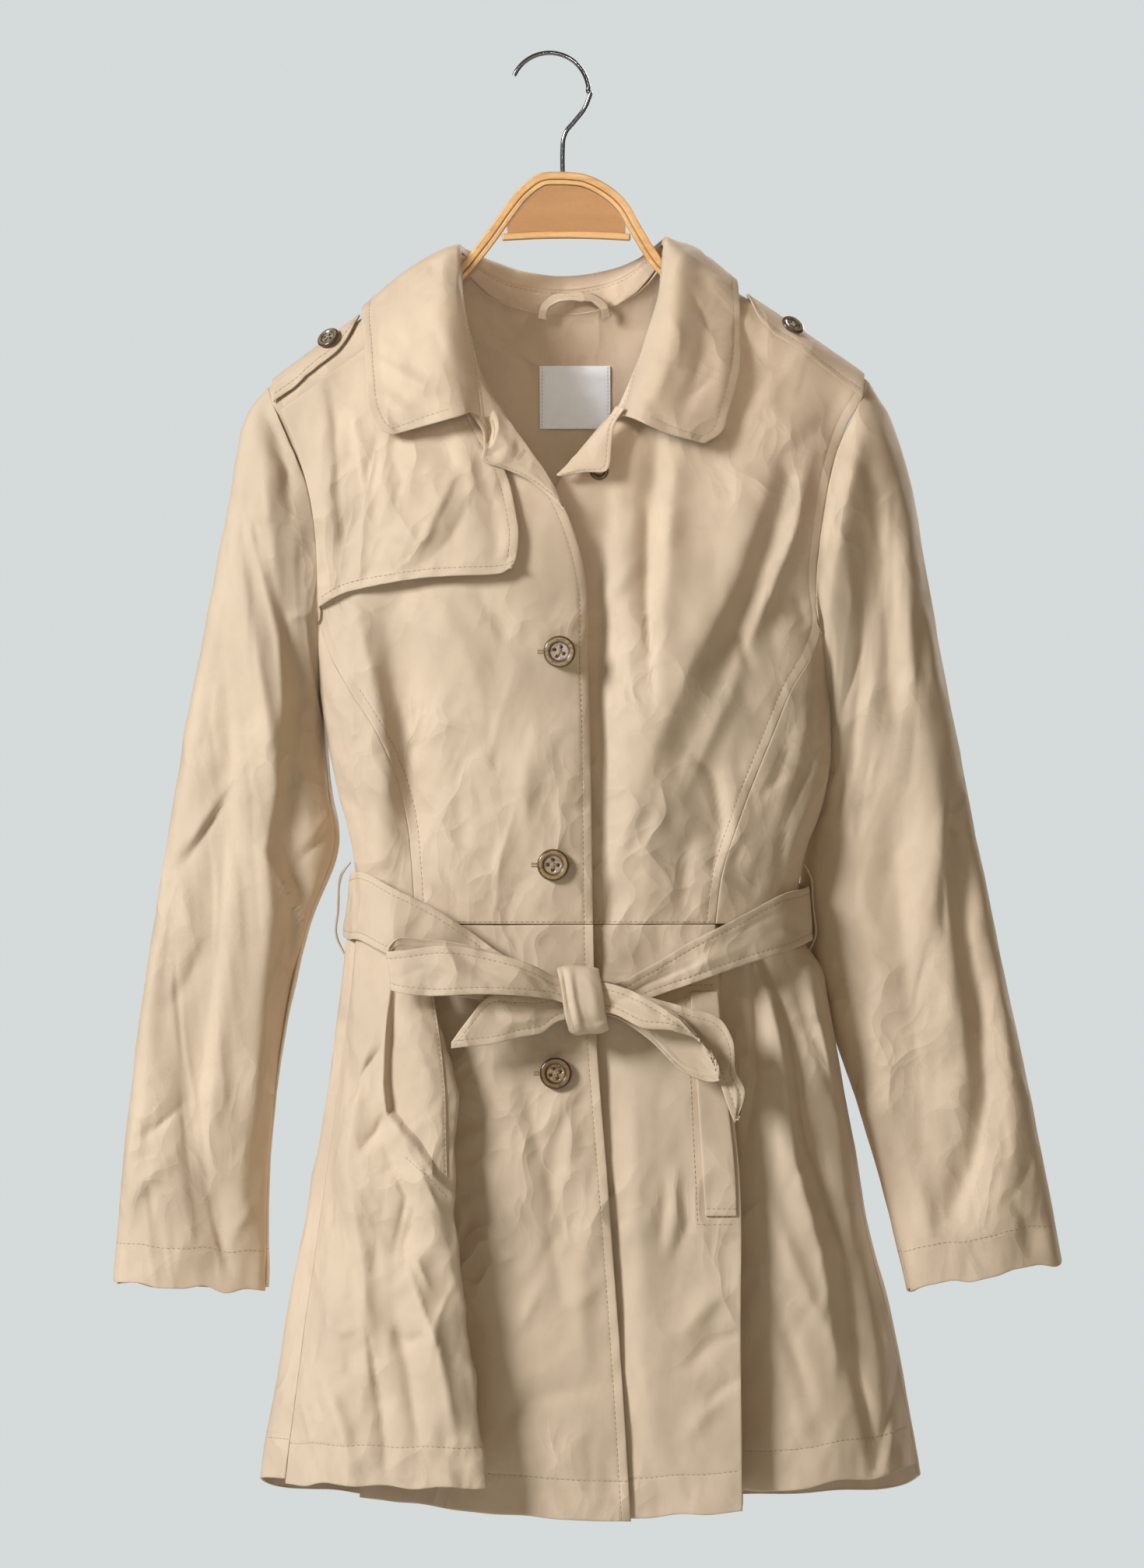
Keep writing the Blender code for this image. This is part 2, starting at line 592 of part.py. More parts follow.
def sleeve_net(loop, rings):
    shares = np.linspace(0, 1, RING_STATIONS)
    made = [through(loop, shares)]
    for ring in rings:
        outer = np.array([ring.x_out, ring.y_mid, ring.z_out])
        inner = np.array([ring.x_in, ring.y_mid, ring.z_in])
        stations = []
        for s in shares:
            along, round_it = math.cos(2 * math.pi * s), math.sin(2 * math.pi * s)
            deep = -ring.front if round_it > 0 else ring.back
            bulk = abs(round_it) ** 0.85
            place = (outer + inner) / 2 + (outer - inner) / 2 * along
            stations.append(place + [ring.bow * bulk, deep * bulk, 0])
        made.append(np.array(stations))
    return Net(made)


SLEEVE_RIGHT = sleeve_net(ARMHOLE_RIGHT, SLEEVE_RIGHT_RINGS)
SLEEVE_LEFT = sleeve_net(ARMHOLE_LEFT, SLEEVE_LEFT_RINGS)
SLEEVE_FOLDS = [
    Fold(-196, -300, -170, -460, 9, 5),
    Fold(-200, -470, -215, -700, 12, 4),
    Fold(-235, -470, -245, -640, 10, -3),
    Fold(205, -260, 215, -420, 12, -5),
    Fold(240, -430, 268, -690, 12, 5),
    Fold(215, -480, 240, -720, 12, -4),
]


def make_sleeve(side, net, rows=11):
    """The upper piece runs over the front and outer arm, the under piece behind."""
    inset = 1.1 / net.width()
    vs = np.concatenate([[SLEEVE_HEAD_GAP / net.length()], np.linspace(0.04, 1.0, rows)])
    upper = np.array([BACK_SEAM - 1 + inset, BACK_SEAM - 0.98, 0.02, 0.09, 0.18, 0.29, 0.39, FRONT_SEAM - inset])
    under = np.array([FRONT_SEAM + inset, 0.49, 0.53, 0.6, 0.7, 0.81, 0.9, BACK_SEAM - inset])
    for part, us in (("upper", upper), ("under", under)):
        points = net.grid(us % 1.0, vs)
        facing = -1.0 if part == "upper" else 1.0
        folds = SLEEVE_FOLDS if part == "upper" else [f._replace(height=0.5 * f.height) for f in SLEEVE_FOLDS]
        middle = np.clip(np.sin(2 * np.pi * us) * -facing, 0, 1) ** 0.5
        moved = folded(points, folds, facing)
        points = points + (moved - points) * middle[None, :, None]
        cloth(f"sleeve_{side}_{part}", points, flip=(side == "right"))


# ---------------------------------------------------------------- collar
# The stand rises from the neckline to the stitched line; the fall rises on from there, turns
# over at the roll and lies down outside. Columns go from the right front end round the neck.
Neck = namedtuple("Neck", "seam stitch roll turn middle edge")
COLLAR_ROWS = [
    Neck((-28, -42.5, -229), (-42, -46, -224), (-49.5, -50, -218), (-54, -53, -219), (-78, -52, -232), (-98, -48, -240)),
    Neck((-38, -37.5, -212), (-46, -40, -203), (-53, -45, -198), (-58, -49, -199), (-88, -48, -218), (-113, -42.5, -230)),
    Neck((-46.5, -30, -190), (-50.5, -31.5, -174), (-56, -36, -166), (-61, -40, -167), (-92, -38, -192), (-118, -32, -206)),
    Neck((-53.5, -18.5, -157), (-54.5, -18, -148), (-57.5, -18, -139), (-63, -21, -139), (-94, -22, -164), (-118, -22, -183)),
    Neck((-55, -7.5, -130), (-55, -7, -127), (-57.5, -8, -121.5), (-63, -9.5, -123), (-93, -9, -146), (-118, -11, -166)),
    Neck((-55.5, 1, -126.5), (-54.5, 1, -124.5), (-57, 1.5, -119), (-63, 2, -121), (-92, 3, -137), (-117, 3, -157)),
    Neck((-53.5, 9, -129.5), (-52.5, 9, -126), (-55, 11, -120), (-60, 13, -122.5), (-86, 20, -142), (-107, 26, -163)),
    Neck((-37, 19, -146), (-36, 18.5, -138), (-39, 23, -128), (-43, 28, -131), (-64, 36, -156), (-84, 43, -178)),
    Neck((-14, 27, -156), (-14, 26, -145), (-15, 31, -135), (-16, 36, -138), (-24, 45, -168), (-32, 49, -194)),
    Neck((9, 29, -158), (9, 28, -147), (9, 33, -137), (9, 38, -140), (9, 47, -171), (9, 51, -199)),
    Neck((32, 27, -155), (32, 26, -144), (33, 31, -134), (34, 36, -137), (42, 45, -167), (50, 49, -193)),
    Neck((54, 19, -144), (53, 18.5, -135), (57, 23, -126), (61, 28, -129), (80, 36, -153), (100, 43, -174)),
    Neck((69.5, 9, -124.5), (68.5, 9, -121), (71.5, 11, -115), (76.5, 13, -117.5), (98, 19, -135), (115, 25, -151)),
    Neck((71.5, 1, -121.5), (70.5, 1, -119.5), (73, 1.5, -114), (79, 2, -116), (100, 3, -126), (118.5, 3, -141.5)),
    Neck((70.5, -7.5, -125), (71, -7, -122), (74.5, -8, -116), (79, -9.5, -118.5), (101, -9, -135), (119.5, -11, -153)),
    Neck((68, -18, -154), (69.5, -18, -145), (74, -18, -136.5), (78, -21, -136), (101, -20, -152), (120, -18, -170)),
    Neck((59, -28, -188), (62, -30.5, -173), (68, -35, -166), (73, -39, -167), (98, -35, -185), (120, -28, -197)),
    Neck((47, -35.5, -213), (53, -38, -203), (59, -42, -199), (64, -46, -200), (92, -43, -216), (116, -35, -227)),
    Neck((34, -39, -231), (42, -42, -230), (47, -46, -229), (52, -50, -230), (74, -49, -240), (97, -43, -245)),
]
COLLAR = Net([[np.array(p, float) for p in row] for row in COLLAR_ROWS])
STITCH_SHARE = COLLAR.across[1]     # where the stand ends and the fall begins


def make_collar():
    vs = np.linspace(0.0, 1.0, 29)
    stand = COLLAR.grid(np.linspace(0.004, STITCH_SHARE - 0.045, 3), vs)
    fall = COLLAR.grid(np.concatenate([
        np.linspace(STITCH_SHARE + 0.028, COLLAR.across[3], 4),
        np.linspace(COLLAR.across[3], 1.0, 5)[1:],
    ]), vs)
    cloth("collar_stand", stand, COLLAR_CLOTH, flip=True)
    cloth("collar_fall", fall, COLLAR_CLOTH, flip=True)


# ---------------------------------------------------------------- the shell's panels
Panel = namedtuple("Panel", "name net columns rows first last top bottom folds facing flip")
# first, last, top and bottom are the gaps at the sides and the ends. Where two panels meet at
# an angle their inner faces need more room than a flat seam does.
OPEN = (0, 0, 0, 0)
PANELS = [
    Panel("front_right", FRONT_RIGHT, 6, 14, OPEN, (1.1, 1.1, 1.6, 0.4), 1.2, 0.15, CHEST_FOLDS, -1, False),
    Panel("front_left", FRONT_LEFT, 6, 14, OPEN, (1.1, 1.1, 1.6, 0.4), 1.2, 0.15, CHEST_FOLDS, -1, True),
    Panel("side_right", SIDE_RIGHT, 6, 5, (1.8, 1.0, 0.6, 0.4), (1.5, 0.9, 0.5, 0.4), 2.0, 0.15, [], -1, False),
    Panel("side_left", SIDE_LEFT, 6, 5, (1.8, 1.0, 0.6, 0.4), (1.5, 0.9, 0.5, 0.4), 2.0, 0.15, [], -1, True),
    Panel("back", BACK, 22, 13, (1.1, 1.1, 1.3, 0.4), (1.1, 1.1, 1.3, 0.4), 1.2, 0.15, BACK_FOLDS, 1, False),
    Panel("skirt_front_right", SKIRT_FRONT_RIGHT, 4, 6, OPEN, (0.4, 0.4, 0.4, 0.4), 0.15, 0, [], -1, False),
    Panel("skirt_front_left", SKIRT_FRONT_LEFT, 4, 6, OPEN, (0.4, 0.4, 0.4, 0.4), 0.15, 0, [], -1, True),
    Panel("skirt_side_right", SKIRT_SIDE_RIGHT, 12, 7, (1.2, 1.2, 1.2, 1.2), (0.7, 0.7, 0.7, 0.7), 0.15, 0, [], -1, False),
    Panel("skirt_side_left", SKIRT_SIDE_LEFT, 10, 7, (1.2, 1.2, 1.2, 1.2), (1.0, 1.0, 1.0, 1.2), 0.15, 0, [], -1, True),
    Panel("skirt_back", SKIRT_BACK, 22, 6, (0.7, 0.7, 0.7, 0.7), (1.0, 1.0, 1.0, 1.2), 0.15, 0, [], 1, False),
]


def make_panels():
    for panel in PANELS:
        points = panel_grid(panel.net, panel.columns, panel.rows, panel.first, panel.last, panel.top, panel.bottom)
        cloth(panel.name, folded(points, panel.folds, panel.facing), flip=panel.flip)


# ---------------------------------------------------------------- storm flap and epaulettes
# The storm flap is sewn into the shoulder and the armhole. Each row gives its loose edge, where
# the row ends at the armhole, and how far the flap stands off the front at both and between.
FlapRow = namedtuple("FlapRow", "x_free z_free x_sewn z_sewn out_free out_middle out_sewn")
FLAP_ROWS = [
    FlapRow(-62, -147, -168.5, -224, 3.0, 3.0, 3.0),
    FlapRow(-62, -170, -160, -244, 3.0, 3.5, 3.0),
    FlapRow(-56, -200, -151, -274, 3.2, 4.5, 3.0),
    FlapRow(-44, -232, -148, -298, 3.5, 6.0, 3.0),
    FlapRow(-28, -261.5, -147, -316, 4.0, 7.0, 3.0),
    FlapRow(-21.2, -287, -146, -332, 5.0, 8.0, 3.0),
    FlapRow(-19, -308, -145.4, -341, 6.5, 8.5, 3.0),
    FlapRow(-22, -325, -145.0, -349, 8.0, 9.0, 3.2),
]
FLAP_SAG = 4.0          # the lower edge hangs lowest between its ends

# An epaulette lies along the shoulder, over the seam. Rows run from its point, by the collar,
# to the sleeve head; rise is its height over the bare shoulder line.
StrapRow = namedtuple("StrapRow", "x half_width rise")
EPAULETTE_RIGHT = [
    StrapRow(-120.5, 4, 6.5), StrapRow(-126, 13, 6.5), StrapRow(-133, 17, 6.5), StrapRow(-147, 17.5, 6.5),
    StrapRow(-162, 17.5, 6.0), StrapRow(-175.5, 17.5, 5.5),
]
EPAULETTE_LEFT = [
    StrapRow(124.5, 4, 4.5), StrapRow(130, 13, 4.5), StrapRow(138, 17, 4.5), StrapRow(156, 17.5, 4.5),
    StrapRow(178, 17.5, 4.0), StrapRow(198.5, 17.5, 3.5),
]


def make_flap():
    rows = []
    for row in FLAP_ROWS:
        u = np.linspace(0, 1, 9)
        x = row.x_free + (row.x_sewn - row.x_free) * u
        z = row.z_free + (row.z_sewn - row.z_free) * u
        if row is FLAP_ROWS[-1]:
            z = z - FLAP_SAG * np.sin(np.pi * u) + 2 * (u < 0.05)
        out = row.out_free + (row.out_sewn - row.out_free) * u
        out = out + (row.out_middle - (row.out_free + row.out_sewn) / 2) * np.sin(np.pi * u)
        rows.append(FRONT_RIGHT.laid(x, z, out, 0.0, 0.995))
    rows = np.array(rows)
    flap = Net(rows)
    cloth("storm_flap", flap.grid(np.linspace(0, 1, 7), np.linspace(0, 1, 9)))


def shoulder_height(front, x):
    line = front.grid(np.linspace(0, 1, 60), np.array([0.0]))[0]
    order = np.argsort(line[:, 0])
    return np.interp(x, line[order, 0], line[order, 2])


def make_epaulette(name, rows, front, flip):
    across = np.linspace(-1, 1, 7)
    points = []
    for row in rows:
        y = across * row.half_width
        z = shoulder_height(front, row.x) + row.rise - y**2 / 22.0
        points.append(np.stack([np.full(7, row.x), y, z], axis=-1))
    net = Net(points)
    cloth(name, net.grid(np.linspace(0, 1, 7), np.linspace(0, 1, 9)), flip=flip)


# ---------------------------------------------------------------- stand ends
# The stand runs on past the collar's tips to the fronts' edges and lies on their necklines.
EndRow = namedtuple("EndRow", "x_low z_low y_low x_high z_high y_high")
STAND_END_RIGHT = [
    EndRow(-44, -229.5, -49, -26.5, -231.5, -43),
    EndRow(-39, -249, -53, -11, -248, -47.5),
    EndRow(-26, -264, -55, -1, -262, -49.5),
    EndRow(6, -284, -56, 11, -281, -53),
]
STAND_END_LEFT = [
    EndRow(42, -234.5, -44, 32.5, -234, -40),
    EndRow(38.6, -246, -45, 24, -244, -41),
    EndRow(35.5, -262.7, -46, 17, -252, -42),
    EndRow(21.7, -263.8, -46, 9, -260.6, -43),
    EndRow(9, -266.5, -45.5, 4.5, -265, -44),
]


def make_stand_end(name, rows, flip):
    table = np.array([[[r.x_low, r.y_low, r.z_low], [(r.x_low + r.x_high) / 2, (r.y_low + r.y_high) / 2 - 1.5,
                      (r.z_low + r.z_high) / 2], [r.x_high, r.y_high, r.z_high]] for r in rows], float)
    net = Net(table)
    cloth(name, net.grid(np.linspace(0, 1, 3), np.linspace(0, 1, 8)), flip=flip)


# ---------------------------------------------------------------- pocket welts
WELT_OUT = 2.6
WELT_RIGHT = [(-94, -592, -77.5, -594), (-97, -625, -69, -618), (-99.5, -663, -64, -655), (-84, -684, -62.5, -684),
              (-64.5, -706, -61.5, -704)]
WELT_LEFT = [(88, -588, 105.5, -588), (90.5, -622, 108.5, -622), (93, -660, 112, -660), (95.5, -700, 116, -700),
             (97.5, -728, 117, -728)]


def make_welt(name, rows, net, u_low, u_high, flip):
    table = []
    for x_first, z_first, x_last, z_last in rows:
        u = np.linspace(0, 1, 4)
        table.append(net.laid(x_first + (x_last - x_first) * u, z_first + (z_last - z_first) * u,
                              np.full(4, WELT_OUT), u_low, u_high))
    welt = Net(np.array(table))
    cloth(name, welt.grid(np.linspace(0, 1, 3), np.linspace(0, 1, 6)), flip=flip)


# ---------------------------------------------------------------- belt
# One belt: round the waist, and tied in a bow in front. Rows run along it; top and bottom are
# its two edges in the front view, with a depth for each.
BeltRow = namedtuple("BeltRow", "x_top z_top y_top x_bottom z_bottom y_bottom")
BELT_ROUND = [
    BeltRow(16, -580, -56.2, 16, -602, -56.2),
    BeltRow(2, -580, -57.0, 2, -602, -57.0),
    BeltRow(-11, -572, -57.2, -14, -602, -57.7),
    BeltRow(-30, -564, -58, -38, -596, -60),
    BeltRow(-51, -549, -56, -62, -584, -60),
    BeltRow(-75, -534, -56, -85, -572, -61.5),
    BeltRow(-98, -523, -51, -104, -563, -59),
    BeltRow(-115, -514, -36, -119, -556, -40),
    BeltRow(-124, -514, -14, -126.5, -556, -17),
    BeltRow(-124, -516, 8, -130, -554, 6),
    BeltRow(-112, -517, 26, -116, -553, 29),
    BeltRow(-85, -517, 35.5, -86, -553, 40),
    BeltRow(-40, -517, 38.5, -40, -553, 43),
    BeltRow(18, -517, 39.5, 18, -553, 43.5),
    BeltRow(70, -517, 38.5, 70, -553, 42.5),
    BeltRow(120, -518, 33, 121, -554, 37),
    BeltRow(150, -520, 23, 153, -555, 26),
    BeltRow(162.5, -522, 6, 165.5, -556, 5),
    BeltRow(160, -524, -13, 162, -558, -16),
    BeltRow(147, -527, -30, 149, -563, -34),
    BeltRow(117, -545, -45, 120, -572, -46),
    BeltRow(89, -560, -50, 92, -582, -52),
    BeltRow(60, -576, -54, 63, -592, -55),
    BeltRow(40, -583, -56.2, 40, -601, -56.2),
    BeltRow(22, -581, -56.2, 22, -602, -56.2),
]
BOW_LOOP_RIGHT = [
    BeltRow(16, -580, -60, 16, -601, -60),
    BeltRow(2, -578, -60.5, 2, -600, -60.5),
    BeltRow(-14, -571, -61.5, -14, -596, -62),
    BeltRow(-45, -560, -63.5, -47, -592, -64.5),
    BeltRow(-78, -555, -63.5, -78, -588, -66),
    BeltRow(-98, -556, -66.5, -95, -586, -68.5),
    BeltRow(-101.5, -562, -71, -99, -586.5, -72),
    BeltRow(-94, -562, -75.5, -94, -588, -76),
    BeltRow(-68.6, -559, -78, -76, -590, -80),
    BeltRow(-33, -564, -79, -42, -589, -81),
    BeltRow(-6, -573, -76, -8, -591, -77),
    BeltRow(4, -579, -71.5, 4, -593, -71.5),
    BeltRow(16, -580, -70.5, 16, -598, -70.5),
]
BELT_TAIL_RIGHT = [
    BeltRow(16, -585, -64.5, 16, -605, -64.5),
    BeltRow(6, -587, -64.5, 6, -606, -64.5),
    BeltRow(-4, -590, -66, -4, -613, -66),
    BeltRow(-20, -590, -68.5, -18, -616, -68),
    BeltRow(-38, -590.5, -70, -34, -620, -70),
    BeltRow(-50, -604, -69.5, -47, -621.5, -69.5),
    BeltRow(-61, -619, -68.5, -61, -623, -68.5),
]
BOW_LOOP_LEFT = [
    BeltRow(21, -580, -71, 21, -600, -71),
    BeltRow(36, -582, -73, 38, -601, -73),
    BeltRow(58, -590, -78, 58, -610, -77),
    BeltRow(78, -603, -80, 79, -612.5, -76),
    BeltRow(92, -616, -78, 96, -621, -74),
    BeltRow(100, -624, -73, 107, -642, -71),
    BeltRow(94, -615, -67, 101, -644, -67),
    BeltRow(82, -603, -64.5, 87, -640, -65),
    BeltRow(58, -592, -63, 60, -616, -63.5),
    BeltRow(38, -582, -64, 38, -603, -64),
    BeltRow(21, -580, -64.5, 21, -602, -64.5),
]
BELT_TAIL_LEFT = [
    BeltRow(21, -582, -60.5, 21, -604, -60.5),
    BeltRow(42, -585, -60, 42, -602, -60.3),
    BeltRow(62, -591, -58.8, 61, -612, -59.8),
    BeltRow(88, -598.5, -58, 84, -622, -60),
    BeltRow(106, -604.5, -60, 96, -631, -61.5),
    BeltRow(114.5, -618, -63, 104, -640, -64),
    BeltRow(116, -636, -65, 108, -650, -66),
    BeltRow(122, -652, -66, 113, -664, -67),
    BeltRow(117, -667, -66.5, 115.5, -669.5, -66.7),
]
# The knot is a turn of belt round the rest: its rows run across the bow, each an oval.
KnotRow = namedtuple("KnotRow", "x_top x_bottom z_top z_bottom y_front y_back")
KNOT_ROWS = [
    KnotRow(4.5, 12.0, -573.0, -612.5, -76.5, -51.0),
    KnotRow(8.5, 15.5, -571.5, -614.5, -78.0, -50.4),
    KnotRow(18.0, 24.0, -571.5, -614.0, -78.5, -50.2),
    KnotRow(26.5, 33.0, -572.0, -613.5, -78.0, -50.4),
    KnotRow(31.0, 37.5, -573.5, -611.5, -76.5, -51.0),
]


def make_belt_strip(name, rows, across, along, flip=False):
    table = np.array([[[r.x_top, r.y_top, r.z_top], [r.x_bottom, r.y_bottom, r.z_bottom]] for r in rows], float)
    middle = table.mean(axis=1, keepdims=True)
    net = Net(np.concatenate([table[:, :1], middle, table[:, 1:]], axis=1))
    cloth(name, net.grid(np.linspace(0, 1, across + 1), np.linspace(0, 1, along + 1)), BELT_CLOTH, flip=flip)


def squared(c):
    """A circle's coordinate pushed out towards a square's."""
    return math.copysign(abs(c) ** 0.75, c)


def make_knot():
    """A closed band, so its first and last columns are joined before the wall is made."""
    turns = 18
    rows = []
    for row in KNOT_ROWS:
        ring = []
        for k in range(turns):
            a = 2 * math.pi * k / turns
            up, fore = math.cos(a), math.sin(a)
            top = (1 + up) / 2
            x = row.x_bottom + (row.x_top - row.x_bottom) * top
            z = (row.z_top + row.z_bottom) / 2 + (row.z_top - row.z_bottom) / 2 * squared(up)
            y = (row.y_front + row.y_back) / 2 - (row.y_back - row.y_front) / 2 * squared(fore)
            ring.append((x, y, z))
        rows.append(ring)
    sheet = bmesh.new()
    grid = [[sheet.verts.new(Vector(p) * MM) for p in ring] for ring in rows]
    for i in range(len(grid) - 1):
        for k in range(turns):
            n = (k + 1) % turns
            sheet.faces.new((grid[i][k], grid[i][n], grid[i + 1][n], grid[i + 1][k]))
    mesh = bpy.data.meshes.new("belt_knot")
    sheet.to_mesh(mesh)
    sheet.free()
    made = bpy.data.objects.new("belt_knot", mesh)
    COAT.objects.link(made)
    mesh.materials.append(CLOTH)
    wall = made.modifiers.new("wall", "SOLIDIFY")
    wall.thickness = BELT_CLOTH * MM
    wall.offset = -1.0

# A carrier stands over the belt on either side seam, a narrow strip from above it to below it.
CARRIER_RIGHT = [(-126.0, 4, -507), (-131.5, 5, -515), (-134, 6, -536), (-134.5, 6, -556), (-130, 5, -566)]
CARRIER_LEFT = [(160.5, 3, -508), (165, 4, -516), (166.6, 3, -534), (168, 2, -554), (162.5, 2, -567)]
CARRIER_WIDTH = 6.0


def make_carrier(name, line, flip):
    path = through(line, np.linspace(0, 1, 11))
    points = np.stack([path + [0, -CARRIER_WIDTH / 2, 0], path + [0, CARRIER_WIDTH / 2, 0]], axis=1)
    cloth(name, points, 1.2, flip=flip)


# ---------------------------------------------------------------- label and hanging loop
LABEL_WIDTH, LABEL_HEIGHT = 45.0, 40.0
LABEL_CENTRE = (16.0, -216.0)
LOOP_LINE = [(-5, 25.5, -165), (-3, 23, -157), (3, 22, -152.5), (15, 22, -151), (28, 22, -152.5), (34, 23, -157), (36, 25, -164)]
LOOP_WIDTH = 5.5


def make_label():
    xs = LABEL_CENTRE[0] + np.linspace(-0.5, 0.5, 5) * LABEL_WIDTH
    zs = LABEL_CENTRE[1] - np.linspace(-0.5, 0.5, 5) * LABEL_HEIGHT
    x, z = np.meshgrid(xs, zs)
    points = BACK.laid(x, z, np.full(x.shape, -(SHELL + 0.5 + 0.6)))
    cloth("neck_label", points, 0.6, LABEL, flip=True)


def make_loop():
    path = through(LOOP_LINE, np.linspace(0, 1, 17))
    ahead = np.gradient(path, axis=0)
    up = np.cross(ahead, [0, 1, 0])
    up = up / np.linalg.norm(up, axis=1, keepdims=True) * LOOP_WIDTH / 2
    cloth("hanging_loop", np.stack([path - up, path + up], axis=1), 1.2)


# ---------------------------------------------------------------- buttons
ButtonPlace = namedtuple("ButtonPlace", "name x z radius")
FRONT_BUTTONS = [
    ButtonPlace("button_front_1", 6.3, -376, BUTTON_RADIUS),
    ButtonPlace("button_front_2", 2.4, -509, BUTTON_RADIUS),
    ButtonPlace("button_front_3", 4.0, -639, BUTTON_RADIUS),
]
# The profile of a button from its middle to its back: a dished face in a raised rim.
BUTTON_PROFILE = [(0.0, 2.3), (0.55, 2.4), (0.68, 3.1), (0.82, 3.4), (0.95, 2.9), (1.0, 1.9), (0.92, 0.7), (0.6, 0.0), (0.0, 0.0)]
BUTTON_SIDES = 20
HOLE_RADIUS = 0.9
HOLE_SPREAD = 2.1


def make_button(name, centre, normal, radius):
    """Turned from its profile, with four holes, its back at the centre given."""
    mesh = bpy.data.meshes.new(name)
    turned = bmesh.new()
    rings = []
    for share, rise in BUTTON_PROFILE:
        if share == 0.0:
            rings.append([turned.verts.new((0, 0, rise))])
            continue
        rings.append([
            turned.verts.new((radius * share * math.cos(a), radius * share * math.sin(a), rise))
            for a in (2 * math.pi * k / BUTTON_SIDES for k in range(BUTTON_SIDES))
        ])
    for first, second in zip(rings, rings[1:]):
        for k in range(BUTTON_SIDES):
            n = (k + 1) % BUTTON_SIDES
            corners = [first[k % len(first)], first[n % len(first)], second[n % len(second)], second[k % len(second)]]
            kept = [c for i, c in enumerate(corners) if c not in corners[:i]]
            turned.faces.new(list(reversed(kept)))
    turned.to_mesh(mesh)
    turned.free()
    made = bpy.data.objects.new(name, mesh)
    COAT.objects.link(made)
    mesh.materials.append(HORN)
    mesh.transform(Matrix.Scale(MM, 4))
    for i, (a, b) in enumerate(((1, 1), (1, -1), (-1, 1), (-1, -1))):
        drill = bmesh.new()
        bmesh.ops.create_cone(drill, cap_ends=True, segments=8, radius1=HOLE_RADIUS * MM, radius2=HOLE_RADIUS * MM,
                              depth=12 * MM)
        bmesh.ops.translate(drill, verts=drill.verts, vec=Vector((a, b, 0)) * (HOLE_SPREAD * radius / 10 * MM))
        cut = bpy.data.meshes.new(f"{name}_hole_{i}")
        drill.to_mesh(cut)
        drill.free()
        cutter = bpy.data.objects.new(f"{name}_hole_{i}", cut)
        CUTTERS.objects.link(cutter)
        cutter.hide_render = True
        cutter.display_type = "WIRE"
        cutter.parent = made
        bored = made.modifiers.new(f"hole_{i}", "BOOLEAN")
        bored.operation = "DIFFERENCE"
        bored.solver = "EXACT"
        bored.object = cutter
    made.location = Vector(centre) * MM
    made.rotation_euler = Vector(normal).to_track_quat("Z", "X").to_euler()


def make_buttons():
    for place in FRONT_BUTTONS:
        net = FRONT_RIGHT if place.z > WAIST_Z else SKIRT_FRONT_RIGHT
        seat = net.laid(np.array([place.x]), np.array([place.z]), np.array([1.0]))[0]
        make_button(place.name, seat, (0, -1, 0.0), place.radius)
    for name, x, front, rise, lean in (("button_epaulette_right", -138, FRONT_RIGHT, 6.5, -0.65),
                                       ("button_epaulette_left", 150, FRONT_LEFT, 4.5, 0.62)):
        y = -6.0
        normal = np.array([lean, 2 * y / 22.0, 1.0])
        normal /= np.linalg.norm(normal)
        seat = np.array([x, y, shoulder_height(front, x) + rise - y * y / 22.0]) + normal * 0.7
        make_button(name, seat, normal, 7.5)
    make_button("button_collar", (32, -37.5, -268), (0.1, -1, 0), 6.0)


# ---------------------------------------------------------------- hanger
# The rim is a bent strip; its outer line runs down each side of the neck and out under the
# shoulders, with a flat board in the arch and a bar across its foot.
RIM_RIGHT = [(9, -73.5), (-5.5, -74.5), (-18, -83), (-28, -95), (-38.4, -109.8), (-56, -131.8), (-90, -163), (-125, -180.5), (-160, -206)]
RIM_LEFT = [(9, -73.5), (22, -75), (36, -81.5), (48, -91.5), (58, -108), (71.5, -129), (105, -156), (140, -177), (178, -205)]
RIM_HEIGHT, RIM_DEPTH = 8.0, 8.4
BOARD_DEPTH = 6.0
BAR_Z, BAR_DROP, BAR_HEIGHT, BAR_DEPTH = -111.0, 1.5, 5.0, 7.0
HOOK_RADIUS, WIRE = 24.6, 1.4
WIRE_LOWER = [(25.0, -24.6), (24.2, -30), (21.6, -35.5), (15.4, -43.5), (10.2, -50), (8.6, -55), (8.3, -60), (8.3, -79)]
BORE_GAP = 0.35


def flat_outline(line, height):
    """The closed outline of a bent strip: its outer line, and the same line moved in."""
    at = np.linspace(0, 1, 25)
    outer = through([(x, 0, z) for x, z in line], at)[:, [0, 2]]
    ahead = np.gradient(outer, axis=0)
    ahead /= np.linalg.norm(ahead, axis=1, keepdims=True)
    inward = np.stack([ahead[:, 1], -ahead[:, 0]], axis=1)
    taper = np.clip((1 - at) * 12, 0.45, 1)[:, None]
    return outer, outer + inward * height * taper


